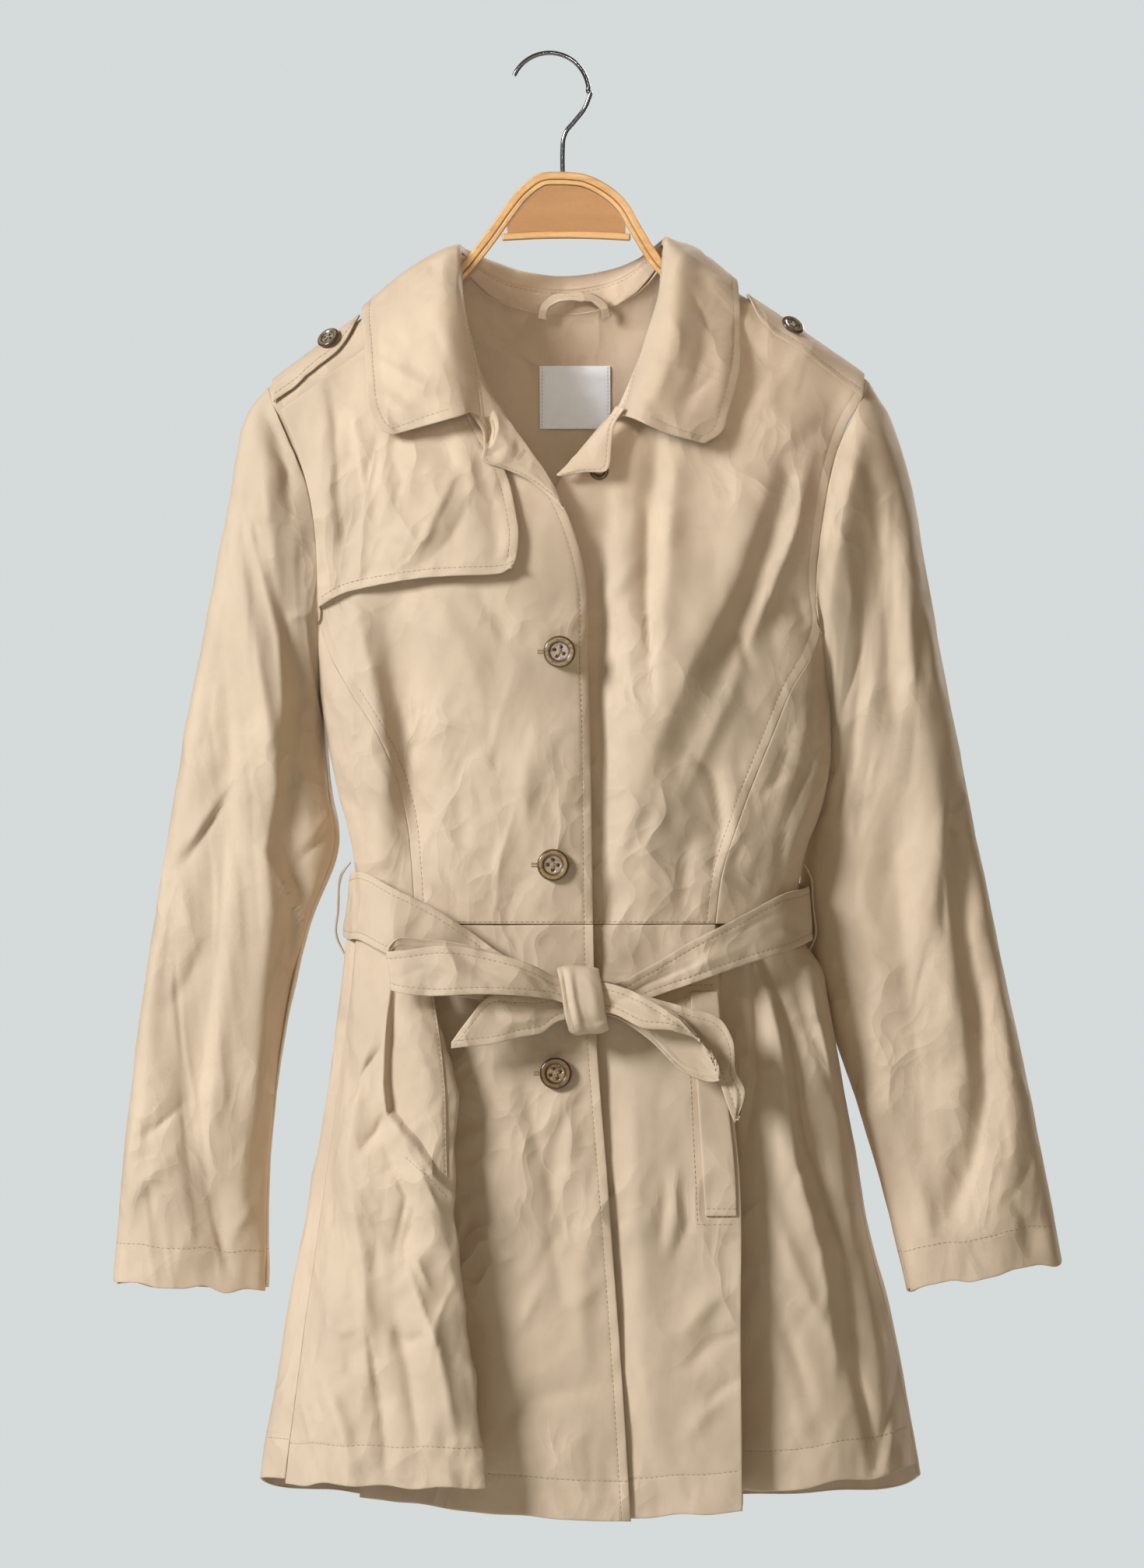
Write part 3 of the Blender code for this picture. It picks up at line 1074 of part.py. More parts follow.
def slab(name, outline, half_depth, look, bevel):
    """A flat piece cut from the outline in the front view, centred on the hanger's plane."""
    mesh = bpy.data.meshes.new(name)
    made_mesh = bmesh.new()
    face = made_mesh.faces.new([made_mesh.verts.new(Vector((x, -half_depth, z)) * MM) for x, z in outline])
    grown = bmesh.ops.extrude_face_region(made_mesh, geom=[face])
    bmesh.ops.translate(made_mesh, verts=[g for g in grown["geom"] if isinstance(g, bmesh.types.BMVert)],
                        vec=Vector((0, 2 * half_depth * MM, 0)))
    bmesh.ops.recalc_face_normals(made_mesh, faces=made_mesh.faces)
    made_mesh.to_mesh(mesh)
    made_mesh.free()
    made = bpy.data.objects.new(name, mesh)
    COAT.objects.link(made)
    mesh.materials.append(look)
    if bevel:
        soft = made.modifiers.new("edges", "BEVEL")
        soft.width = bevel * MM
        soft.segments = 1
        soft.limit_method = "ANGLE"
        soft.angle_limit = math.radians(40)
    return made


def make_hanger():
    right_outer, right_inner = flat_outline(RIM_RIGHT, -RIM_HEIGHT)
    left_outer, left_inner = flat_outline(RIM_LEFT, RIM_HEIGHT)
    outline = np.concatenate([right_outer[::-1], left_outer[1:], left_inner[::-1], right_inner[1:]])
    rim = slab("hanger_rim", outline, RIM_DEPTH / 2, WOOD, 1.6)
    bore = bmesh.new()
    bmesh.ops.create_cone(bore, cap_ends=True, segments=16, radius1=(WIRE + BORE_GAP) * MM, radius2=(WIRE + BORE_GAP) * MM,
                          depth=30 * MM)
    bmesh.ops.translate(bore, verts=bore.verts, vec=Vector((8.3, 0, -70)) * MM)
    cut = bpy.data.meshes.new("hook_bore")
    bore.to_mesh(cut)
    bore.free()
    cutter = bpy.data.objects.new("hook_bore", cut)
    CUTTERS.objects.link(cutter)
    cutter.hide_render = True
    cutter.display_type = "WIRE"
    bored = rim.modifiers.new("hook_bore", "BOOLEAN")
    bored.operation = "DIFFERENCE"
    bored.solver = "EXACT"
    bored.object = cutter

    # The board fills the arch down to the bar, 0.3 mm clear of the rim.
    clear = 0.4
    inner_right = [(x + clear, z - clear) for x, z in right_inner if z - clear > BAR_Z + 0.5]
    inner_left = [(x - clear, z - clear) for x, z in left_inner if z - clear > BAR_Z + 0.5]
    board = list(reversed(inner_right)) + inner_left[1:]
    slab("hanger_board", board, BOARD_DEPTH / 2, BOARD, 0.0)

    ends = (right_inner[np.argmin(abs(right_inner[:, 1] - (BAR_Z - 2)))][0] + 3.2,
            left_inner[np.argmin(abs(left_inner[:, 1] - (BAR_Z - 2)))][0] - 3.2)
    xs = np.linspace(ends[0], ends[1], 13)
    arch = BAR_DROP * (2 * (xs - xs.mean()) / (xs[-1] - xs[0])) ** 2
    upper = [(x, BAR_Z - 0.2 - a) for x, a in zip(xs, arch)]
    lower = [(x, BAR_Z - BAR_HEIGHT - a) for x, a in zip(xs[::-1], arch[::-1])]
    slab("hanger_bar", upper + lower, BAR_DEPTH / 2, WOOD, 1.0)

    centre = Vector((0, 0, -HOOK_RADIUS))
    arc = [centre + Vector((math.cos(a), 0, math.sin(a))) * HOOK_RADIUS
           for a in np.radians(np.linspace(155, 0, 15))]
    path = [tuple(p) for p in arc] + [(x, 0, z) for x, z in WIRE_LOWER]
    path = [(x, y, z + WIRE) for x, y, z in path]
    curve = bpy.data.curves.new("hanger_hook", "CURVE")
    curve.dimensions = "3D"
    curve.bevel_depth = WIRE * MM
    curve.bevel_resolution = 3
    curve.use_fill_caps = True
    curve.resolution_u = 1
    line = curve.splines.new("POLY")
    dense = through(path, np.linspace(0, 1, 56))
    line.points.add(len(dense) - 1)
    for point, place in zip(line.points, dense):
        point.co = (*(place * MM), 1.0)
    hook = bpy.data.objects.new("hanger_hook", curve)
    COAT.objects.link(hook)
    curve.materials.append(CHROME)


# ---------------------------------------------------------------- build it
make_panels()
make_sleeve("right", SLEEVE_RIGHT)
make_sleeve("left", SLEEVE_LEFT)
make_collar()
make_flap()
make_epaulette("epaulette_right", EPAULETTE_RIGHT, FRONT_RIGHT, flip=False)
make_epaulette("epaulette_left", EPAULETTE_LEFT, FRONT_LEFT, flip=True)
make_stand_end("stand_end_right", STAND_END_RIGHT, flip=True)
make_stand_end("stand_end_left", STAND_END_LEFT, flip=False)
make_welt("pocket_welt_right", WELT_RIGHT, SKIRT_SIDE_RIGHT, 0.42, 1.0, flip=True)
make_welt("pocket_welt_left", WELT_LEFT, SKIRT_FRONT_LEFT, 0.0, 1.0, flip=True)
make_belt_strip("belt_round", BELT_ROUND, 2, 56, flip=True)
make_belt_strip("belt_bow_loop_right", BOW_LOOP_RIGHT, 2, 26)
make_belt_strip("belt_tail_right", BELT_TAIL_RIGHT, 2, 10, flip=True)
make_belt_strip("belt_bow_loop_left", BOW_LOOP_LEFT, 2, 24)
make_belt_strip("belt_tail_left", BELT_TAIL_LEFT, 2, 14)
make_knot()
make_carrier("belt_carrier_right", CARRIER_RIGHT, flip=False)
make_carrier("belt_carrier_left", CARRIER_LEFT, flip=True)
make_label()
make_loop()
make_buttons()
make_hanger()
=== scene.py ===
"""A belted trench coat for a teenager, buttoned up on a bent-wood hanger.

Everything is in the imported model's frame: metres, +Z up, +X to the wearer's left, -Y to the
front, the origin at the inside top of the hook. Tables are millimetres. "right" and "left" are
the wearer's.
"""

import math
from collections import namedtuple

import bmesh
import bpy
import numpy as np
from mathutils import Matrix, Vector
from mathutils.bvhtree import BVHTree


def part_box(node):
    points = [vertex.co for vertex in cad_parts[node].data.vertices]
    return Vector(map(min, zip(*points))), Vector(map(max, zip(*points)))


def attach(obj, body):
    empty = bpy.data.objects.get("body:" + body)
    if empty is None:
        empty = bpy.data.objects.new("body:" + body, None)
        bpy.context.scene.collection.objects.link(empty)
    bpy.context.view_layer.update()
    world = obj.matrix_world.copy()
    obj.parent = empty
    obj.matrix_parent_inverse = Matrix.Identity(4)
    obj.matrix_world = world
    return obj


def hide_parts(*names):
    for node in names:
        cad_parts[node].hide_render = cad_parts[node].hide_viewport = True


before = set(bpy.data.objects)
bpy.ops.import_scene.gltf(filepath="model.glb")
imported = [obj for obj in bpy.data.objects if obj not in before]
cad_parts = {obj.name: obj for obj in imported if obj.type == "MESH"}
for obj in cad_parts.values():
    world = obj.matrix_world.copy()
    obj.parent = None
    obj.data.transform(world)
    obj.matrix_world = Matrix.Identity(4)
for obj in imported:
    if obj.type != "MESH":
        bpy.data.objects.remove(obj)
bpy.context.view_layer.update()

MM = 0.001

# ---------------------------------------------------------------- the hanger's hook
# The hook is spring-steel wire, chrome plated, bent round a former to take a rail. Its straight
# shank goes down through the wooden rim and is peened over underneath.


class Wire:
    """A node's output. Arithmetic on it adds Math nodes."""

    def __init__(self, finish, socket):
        self.finish, self.socket = finish, socket

    def _math(self, operation, *values):
        return self.finish.node("ShaderNodeMath", {"operation": operation}, dict(enumerate(values)))

    def __add__(self, other):
        return self._math("ADD", self, other)

    def __sub__(self, other):
        return self._math("SUBTRACT", self, other)

    def __rsub__(self, other):
        return self._math("SUBTRACT", other, self)

    def __mul__(self, other):
        return self._math("MULTIPLY", self, other)

    def __truediv__(self, other):
        return self._math("DIVIDE", self, other)

    def __rtruediv__(self, other):
        return self._math("DIVIDE", other, self)

    def __pow__(self, other):
        return self._math("POWER", self, other)

    def __neg__(self):
        return self._math("MULTIPLY", self, -1.0)

    __radd__ = __add__
    __rmul__ = __mul__

    def sine(self):
        return self._math("SINE", self)

    def rises(self, start, end):
        """0 below start, 1 above end, smooth between."""
        return self.finish.node("ShaderNodeMapRange", {"interpolation_type": "SMOOTHSTEP"},
                                {"Value": self, "From Min": start, "From Max": end})


class Finish:
    """One finish: its material, the shader at its end, and the nodes that feed it."""

    def __init__(self, name, roughness, metallic=0.0, **uniform):
        self.material = bpy.data.materials.new(name)
        self.material.use_nodes = True
        self.tree = self.material.node_tree
        self.shader = self.tree.nodes["Principled BSDF"]
        self.shader.inputs["Roughness"].default_value = roughness
        self.shader.inputs["Metallic"].default_value = metallic
        for socket, value in uniform.items():
            self.shader.inputs[socket.replace("_", " ")].default_value = value

    def node(self, kind, settings=None, values=None, out=0):
        made = self.tree.nodes.new(kind)
        for key, value in (settings or {}).items():
            setattr(made, key, value)
        for key, value in (values or {}).items():
            self.put(made.inputs[key], value)
        return Wire(self, made.outputs[out])

    def put(self, socket, value):
        if isinstance(value, Wire):
            self.tree.links.new(value.socket, socket)
        elif isinstance(value, tuple) and len(value) == 3 and len(socket.default_value) == 4:
            socket.default_value = (*value, 1.0)
        else:
            socket.default_value = value

    def feed(self, socket, value):
        self.put(self.shader.inputs[socket], value)

    def place(self, scale=(1000.0, 1000.0, 1000.0), shift=(0.0, 0.0, 0.0)):
        """Where a point is on the object, in millimetres unless scaled otherwise."""
        here = self.node("ShaderNodeTexCoord", out="Object")
        return self.node("ShaderNodeMapping", {"vector_type": "POINT"},
                         {"Vector": here, "Scale": scale, "Location": shift})

    def noise(self, where, scale, detail=3.0, rough=0.5, distort=0.0):
        return self.node("ShaderNodeTexNoise", {"noise_dimensions": "3D"},
                         {"Vector": where, "Scale": scale, "Detail": detail, "Roughness": rough,
                          "Distortion": distort})

    def mixed(self, share, first, second):
        return self.node("ShaderNodeMix", {"data_type": "RGBA"},
                         {0: share, 6: first, 7: second}, out=2)

    def threads(self):
        """How far across and down the piece a point was when it was cut, in millimetres."""
        laid = self.node("ShaderNodeUVMap", {"uv_map": "laid"})
        return [self.node("ShaderNodeSeparateXYZ", None, {"Vector": laid}, out=axis) for axis in "XY"]

    def raised(self, height, depth):
        """Relief: a height, and the millimetres that a height of 1 stands."""
        bump = self.node("ShaderNodeBump", None, {"Height": height, "Strength": 1.0,
                                                  "Distance": depth * MM})
        self.feed("Normal", bump)
        return bump


def chrome_plate():
    chrome = Finish("chrome_plate", 0.16, metallic=1.0)
    where = chrome.place()
    haze = chrome.noise(where, 0.35, detail=4.0)
    scuffs = chrome.noise(chrome.place((200.0, 2000.0, 900.0)), 1.0, detail=2.0).rises(0.62, 0.75)
    # The plate's colour is kept dark grey: a painted reflection of a dark room, darker than the metal's
    # own.
    chrome.feed("Base Color", chrome.mixed(haze, (0.16, 0.16, 0.17), (0.30, 0.30, 0.32)))
    chrome.feed("Roughness", haze * 0.12 + scuffs * 0.12 + 0.12)
    chrome.raised(scuffs, 0.001)
    return chrome


def in_scene(name, data):
    """A new object for a mesh, a curve, a lamp or a camera."""
    made = bpy.data.objects.new(name, data)
    bpy.context.scene.collection.objects.link(made)
    return made


def stands_for(piece, node):
    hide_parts(node)
    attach(piece, "root")


def eased(s, span, start, slope, end, end_slope):
    """A cubic from start to end that leaves and arrives with the given slopes; s is 0 to 1."""
    return (
        (2 * s**3 - 3 * s**2 + 1) * start
        + (s**3 - 2 * s**2 + s) * span * slope
        + (3 * s**2 - 2 * s**3) * end
        + (s**3 - s**2) * span * end_slope
    )


def through(points, at, knots=None):
    """Points of a smooth curve through the given points; at runs from 0 to 1 with its length."""
    p = np.array(points, float)
    if knots is None:
        knots = chord_knots(p)
    slopes = np.gradient(p, knots, axis=0)
    at = np.clip(np.asarray(at, float), 0.0, 1.0)
    i = np.clip(np.searchsorted(knots, at, side="right") - 1, 0, len(p) - 2)
    span = (knots[i + 1] - knots[i])[..., None]
    s = ((at - knots[i]) / (knots[i + 1] - knots[i]))[..., None]
    return eased(s, span, p[i], slopes[i], p[i + 1], slopes[i + 1])


def chord_knots(points):
    steps = np.linalg.norm(np.diff(np.array(points, float), axis=0), axis=1)
    along = np.concatenate([[0.0], np.cumsum(steps)])
    return along / along[-1]


HOOK_RADIUS, WIRE = 24.6, 1.4
WIRE_LOWER = [(25.0, -24.6), (24.2, -30), (21.6, -35.5), (15.4, -43.5), (10.2, -50), (8.6, -55), (8.3, -60),
              (8.3, -79)]
HOOK_ANGLES = np.radians(np.linspace(155, 0, 22))

hook_line = [(HOOK_RADIUS * math.cos(a), 0.0, HOOK_RADIUS * (math.sin(a) - 1) + WIRE) for a in HOOK_ANGLES]
hook_line += [(x, 0.0, z + WIRE) for x, z in WIRE_LOWER]
hook_curve = bpy.data.curves.new("hook_wire", "CURVE")
hook_curve.dimensions = "3D"
hook_curve.bevel_depth = WIRE * MM
hook_curve.bevel_resolution = 6
hook_curve.use_fill_caps = True
hook_spline = hook_curve.splines.new("POLY")
hook_points = through(hook_line, np.linspace(0, 1, 150))
hook_spline.points.add(len(hook_points) - 1)
for spot, where in zip(hook_spline.points, hook_points):
    spot.co = (*(where * MM), 1.0)
hook_curve.materials.append(chrome_plate().material)
stands_for(in_scene("hook_wire", hook_curve), "hanger_hook")

# ---------------------------------------------------------------- the hanger's rim, bar and board
# The rim is a beech strip, steamed and bent to the shoulders' line, with a thin beech bar let in
# across its foot. A stained plywood board fills the arch over the bar. All are lacquered.
RIM_RIGHT = [(9, -73.5), (-5.5, -74.5), (-18, -83), (-28, -95), (-38.4, -109.8), (-56, -131.8), (-90, -163),
             (-125, -180.5), (-160, -206)]
RIM_LEFT = [(9, -73.5), (22, -75), (36, -81.5), (48, -91.5), (58, -108), (71.5, -129), (105, -156),
            (140, -177), (178, -205)]
RIM_HEIGHT, RIM_DEPTH = 8.0, 8.4
BOARD_DEPTH = 6.0
BAR_Z, BAR_DROP, BAR_HEIGHT, BAR_DEPTH = -111.0, 1.5, 5.0, 7.0


def lacquered_wood(name, pale, dark, pore, grain=(60.0, 1100.0, 900.0)):
    wood = Finish(name, 0.35, Coat_Weight=0.35, Coat_Roughness=0.2)
    rings = wood.noise(wood.place(grain), 0.25, detail=5.0, rough=0.6, distort=0.4)
    flecks = wood.noise(wood.place((350.0, 2600.0, 2600.0)), 1.0, detail=2.0).rises(0.58, 0.72)
    blush = wood.noise(wood.place(), 0.03, detail=2.0)
    tone = wood.mixed(rings.rises(0.35, 0.68), pale, dark)
    tone = wood.mixed(blush.rises(0.3, 0.7) * 0.35, tone, dark)
    tone = wood.mixed(flecks * 0.5, tone, pore)
    wood.feed("Base Color", tone)
    wood.feed("Roughness", rings * 0.2 + flecks * 0.15 + 0.28)
    wood.raised(rings * 0.5 - flecks * 0.5, 0.04)
    return wood


def flat_outline(line, height):
    """The closed outline of a bent strip: its outer line, and the same line moved in."""
    at = np.linspace(0, 1, 73)
    outer = through([(x, 0, z) for x, z in line], at)[:, [0, 2]]
    ahead = np.gradient(outer, axis=0)
    ahead /= np.linalg.norm(ahead, axis=1, keepdims=True)
    inward = np.stack([ahead[:, 1], -ahead[:, 0]], axis=1)
    taper = np.clip((1 - at) * 12, 0.45, 1)[:, None]
    return outer, outer + inward * height * taper


def sawn(name, outline, half_depth, bevel, finish, node):
    """A flat piece sawn to its outline, with softened edges."""
    mesh = bpy.data.meshes.new(name)
    cut = bmesh.new()
    face = cut.faces.new([cut.verts.new(Vector((x, -half_depth, z)) * MM) for x, z in outline])
    grown = bmesh.ops.extrude_face_region(cut, geom=[face])
    bmesh.ops.translate(cut, verts=[g for g in grown["geom"] if isinstance(g, bmesh.types.BMVert)],
                        vec=Vector((0, 2 * half_depth * MM, 0)))
    bmesh.ops.recalc_face_normals(cut, faces=cut.faces)
    cut.to_mesh(mesh)
    cut.free()
    made = in_scene(name, mesh)
    mesh.materials.append(finish.material)
    mesh.shade_smooth()
    soft = made.modifiers.new("sanded_edges", "BEVEL")
    soft.width = bevel * MM
    soft.segments = 3
    soft.limit_method = "ANGLE"
    soft.angle_limit = math.radians(40)
    soft.harden_normals = True
    stands_for(made, node)


beech = lacquered_wood("lacquered_beech", (0.78, 0.45, 0.165), (0.64, 0.335, 0.105), (0.42, 0.2, 0.06))
stained = lacquered_wood("stained_plywood", (0.50, 0.235, 0.065), (0.43, 0.195, 0.05), (0.3, 0.125, 0.035),
                         (45.0, 500.0, 260.0))
rim_right_outer, rim_right_inner = flat_outline(RIM_RIGHT, -RIM_HEIGHT)
rim_left_outer, rim_left_inner = flat_outline(RIM_LEFT, RIM_HEIGHT)
# Two plies, glued face to face, with the glue line showing between them in front.
for ply, near, far, depth in (("outer_ply", 0.0, 0.6, RIM_DEPTH),
                              ("inner_ply", 0.64, 1.0, RIM_DEPTH - 0.5)):
    sides = [(outer + (inner - outer) * share) for share in (near, far)
             for outer, inner in ((rim_right_outer, rim_right_inner), (rim_left_outer, rim_left_inner))]
    sawn(f"bent_rim_{ply}", np.concatenate([sides[0][::-1], sides[1][1:], sides[3][::-1], sides[2][1:]]),
         depth / 2, 1.3, beech, "hanger_rim")
bar_ends = (rim_right_inner[np.argmin(abs(rim_right_inner[:, 1] - BAR_Z))][0] - 1.2,
            rim_left_inner[np.argmin(abs(rim_left_inner[:, 1] - BAR_Z))][0] + 1.2)
bar_x = np.linspace(bar_ends[0], bar_ends[1], 25)
bar_arch = BAR_DROP * (2 * (bar_x - bar_x.mean()) / (bar_x[-1] - bar_x[0])) ** 2
board_right = [(x + 0.3, z - 0.3) for x, z in rim_right_inner if z > BAR_Z + 1.5]
board_left = [(x - 0.3, z - 0.3) for x, z in rim_left_inner if z > BAR_Z + 1.5]
board_foot = [(x, BAR_Z - a) for x, a in zip(bar_x, bar_arch)][1:-1]
sawn("arch_board", list(reversed(board_right)) + board_left[1:] + board_foot[::-1], BOARD_DEPTH / 2, 0.3,
     stained, "hanger_board")
bar_outline = [(x, BAR_Z + 0.1 - a) for x, a in zip(bar_x, bar_arch)]
bar_outline += [(x, BAR_Z - BAR_HEIGHT + 0.6 - a) for x, a in zip(bar_x[::-1], bar_arch[::-1])]
sawn("cross_bar", bar_outline, BAR_DEPTH / 2, 1.2, beech, "hanger_bar")

# ---------------------------------------------------------------- back of the bodice
# One panel of beige cotton gabardine, proofed and pressed, from the shoulder seams to the waist.
# It hangs over the hanger's rim by its shoulders and is creased down the middle from storage.
SHELL = 1.3            # the cloth and its facing, pressed together
WAIST_Z = -546.0       # the seam that joins bodice and skirt
BackTop = namedtuple("BackTop", "tip_right neck lift tip_left")
BackRow = namedtuple("BackRow", "x_right y_right z_right x_left y_left z_left y_centre z_centre")
BACK_TOP = [
    BackTop((-177, 0.4, -209), [(-58, 0.4, -128.5), (-56.5, 8, -131.5), (-39, 21, -149), (9, 31, -161),
                                (56, 21, -147), (72.5, 8, -127), (74, 0.4, -123.5)], 4, (201, 0.4, -205)),
    BackTop((-176, 6, -212), [(-61, 8, -131.5), (-58, 14, -137.5), (-41, 25, -154), (9, 33, -166),
                              (58, 25, -152), (74, 14, -132.5), (77, 8, -126.5)], 4, (200, 6, -208)),
    BackTop((-174, 10, -219), [(-68, 16, -144), (-61, 21, -151), (-43, 28, -163), (9, 34.5, -173),
                               (60, 28, -161), (78, 21, -146), (85, 16, -139)], 3, (197.5, 10, -215)),
]
SHOULDER_SHARES = (0.0, 0.18, 0.36, 0.54, 0.72, 0.87, 0.96)
NECK_SHARES = (0.0, 0.05, 0.12, 0.22, 0.35, 0.5, 0.65, 0.78, 0.88, 0.95, 1.0)
BACK_ROWS = [
    BackRow(-166, 15, -238, 188, 15, -231, 36, -205),
    BackRow(-153, 20, -268, 177, 20, -262, 37, -245),
    BackRow(-147, 22, -310, 170.5, 22, -306, 37, -295),
    BackRow(-145, 17, -354, 170, 17, -358, 37, -346),
    BackRow(-130, 22, -400, 157, 22, -400, 36, -396),
    BackRow(-115, 25, -436, 146, 25, -434, 35, -434),
    BackRow(-104, 27, -478, 132, 27, -478, 34, -478),
    BackRow(-97, 28, -512, 120, 28, -515, 33, -513),
    BackRow(-94, 28, WAIST_Z, 115, 28, WAIST_Z, 32, WAIST_Z),
]


class Net:
    """A surface through rows of stations. Row by row it runs down the cloth, station by station
    across it; at(u, v) takes u across and v down, both from 0 to 1."""

    def __init__(self, rows, facing=1.0):
        self.rows = np.array(rows, float)
        self.facing = facing
        self.across = np.mean([chord_knots(row) for row in self.rows], axis=0)
        self.down = np.mean([chord_knots(self.rows[:, k]) for k in range(self.rows.shape[1])], axis=0)

    def at(self, us, vs):
        us, vs = np.broadcast_arrays(np.asarray(us, float), np.asarray(vs, float))
        stations = np.stack(
            [through(self.rows[:, k], vs.ravel(), self.down) for k in range(self.rows.shape[1])]
        )
        slopes = np.gradient(stations, self.across, axis=0)
        u = np.clip(us.ravel(), 0, 1)
        i = np.clip(np.searchsorted(self.across, u, side="right") - 1, 0, len(self.across) - 2)
        n = np.arange(len(u))
        span = (self.across[i + 1] - self.across[i])[:, None]
        s = (u - self.across[i])[:, None] / span
        made = eased(s, span, stations[i, n], slopes[i, n], stations[i + 1, n], slopes[i + 1, n])
        return made.reshape(us.shape + (3,))

    def width(self, v, u=(0.0, 1.0)):
        line = self.at(np.linspace(*u, 40), v)
        return np.linalg.norm(np.diff(line, axis=0), axis=1).sum()

    def length(self, u, v=(0.0, 1.0)):
        line = self.at(u, np.linspace(*v, 40))
        return np.linalg.norm(np.diff(line, axis=0), axis=1).sum()


def shoulder(tip, neck, lift, shares):
    """Along a shoulder, from the tip to the neck, bowed up as the fronts' are."""
    u = np.array(shares)[:, None]
    return np.array(tip) + (np.array(neck) - np.array(tip)) * u + [0, 0, 1] * (4 * lift * u * (1 - u))


def back_net():
    made = []
    for row in BACK_TOP:
        left = shoulder(row.tip_left, row.neck[-1], row.lift - 1, SHOULDER_SHARES)[::-1]
        made.append(np.concatenate([
            shoulder(row.tip_right, row.neck[0], row.lift, SHOULDER_SHARES),
            through(row.neck, NECK_SHARES),
            left,
        ]))
    across = np.mean([chord_knots(row) for row in made], axis=0)
    for row in BACK_ROWS:
        stations = []
        for u in across:
            hump = 1 - abs(2 * u - 1) ** 2.5
            x = row.x_right + (row.x_left - row.x_right) * u
            y = row.y_right + (row.y_left - row.y_right) * u
            z = row.z_right + (row.z_left - row.z_right) * u
            y += (row.y_centre - (row.y_right + row.y_left) / 2) * hump
            z += (row.z_centre - (row.z_right + row.z_left) / 2) * hump
            stations.append((x, y, z))
        made.append(np.array(stations))
    return Net(made)


# A crease is a ridge (height over 0) or a trough on cloth that faces the front or the back. It
# runs along its path of x, z places, and its two flanks have their own widths: right is the
# flank towards the wearer's right. A crisp one comes to an edge, a soft one is rounded.
Crease = namedtuple("Crease", "height right left crisp path")


def crease_depth(crease, x, z):
    """How high the crease stands at places in the front view."""
    path = np.array(crease.path, float)
    ahead = np.diff(path, axis=0)
    run = np.linalg.norm(ahead, axis=1)
    start = np.concatenate([[0.0], np.cumsum(run)])
    best = np.full(x.shape, 1e9)
    share, side = np.zeros(x.shape), np.zeros(x.shape)
    for i in range(len(run)):
        px, pz = x - path[i, 0], z - path[i, 1]
        t = np.clip((px * ahead[i, 0] + pz * ahead[i, 1]) / run[i] ** 2, 0, 1)
        away = np.hypot(px - t * ahead[i, 0], pz - t * ahead[i, 1])
        turn = ahead[i, 0] * pz - ahead[i, 1] * px
        closer = away < best
        best = np.where(closer, away, best)
        share = np.where(closer, (start[i] + t * run[i]) / start[-1], share)
        side = np.where(closer, turn, side)
    # The turn's sign is blurred near the line, so that the two flanks meet smoothly.
    lean = np.tanh(side / (np.median(run) * 2.0))
    wide = (crease.right + crease.left) / 2 + (crease.left - crease.right) / 2 * lean
    fade = np.sin(np.pi * np.clip(0.06 + 0.88 * share, 0, 1)) ** 0.75
    return crease.height * fade * np.exp(-((best / wide) ** (1.0 if crease.crisp else 1.7)))


def rolling(a, b, seed):
    """Smooth noise from -1 to 1, with a step of 1 between its hills."""
    table = np.random.default_rng(seed).uniform(-1, 1, (64, 64))
    i, j = np.floor(a).astype(int), np.floor(b).astype(int)
    s, t = a - i, b - j
    s, t = s * s * (3 - 2 * s), t * t * (3 - 2 * t)
    i0, i1, j0, j1 = i % 64, (i + 1) % 64, j % 64, (j + 1) % 64
    low = table[i0, j0] * (1 - s) + table[i1, j0] * s
    high = table[i0, j1] * (1 - s) + table[i1, j1] * s
    return low * (1 - t) + high * t


def facets(a, b, seed):
    """Flat three-sided facets from -1 to 1 that meet in crisp folds, about a step of 1 across."""
    table = np.random.default_rng(seed).uniform(-1, 1, (64, 64))
    a, b = a + 0.55 * rolling(a * 0.9, b * 0.9, seed + 31), b + 0.55 * rolling(a * 0.9 + 5, b * 0.9,
                                                                               seed + 37)
    i, j = np.floor(a).astype(int), np.floor(b).astype(int)
    s, t = a - i, b - j
    i0, i1, j0, j1 = i % 64, (i + 1) % 64, j % 64, (j + 1) % 64
    start, across, below, corner = table[i0, j0], table[i1, j0], table[i0, j1], table[i1, j1]
    return np.where(s > t, start + s * (across - start) + t * (corner - across),
                    start + t * (below - start) + s * (corner - below))


EDGE_STEPS = (0.0, 0.45, 1.1, 2.2)              # the grid is closer at an edge, to turn it
SEAM_STEPS = (-1.2, -0.5, 0.0, 0.5, 1.2)        # and at a line to be sewn, to sink it


def spaced(length, step, marks):
    """Places along an edge: even steps, closer at both ends and at the lines to be sewn."""
    ends = [*EDGE_STEPS, *(length - e for e in reversed(EDGE_STEPS))]
    for mark in marks:
        ends += [mark + d for d in SEAM_STEPS]
    even = np.linspace(0, length, max(3, int(length / step)) + 1)
    kept = [e for e in even if min(abs(e - m) for m in ends) > 0.4 * step]
    return np.array(sorted(set(np.round(ends + kept, 4))))


TRIALS = 24                     # how many places a cut's width and length are taken at
SEAM_MARGIN = 32.0              # this far in from an edge, the grid keeps its spacing
HELD_FLAT = 14.0                # a sewn edge stills the crumples this far in
TURNED_EDGE = 1.3               # how far in a turned edge rounds over
GROOVE_DEPTH, GROOVE_WIDTH = 0.22, 0.7      # what a line of stitches sinks in the cloth
PUCKER_REACH = 7.0              # puckers run on this far past their stitches
PUCKERS = (7.5, 4.2)            # the lengths of long and short puckers


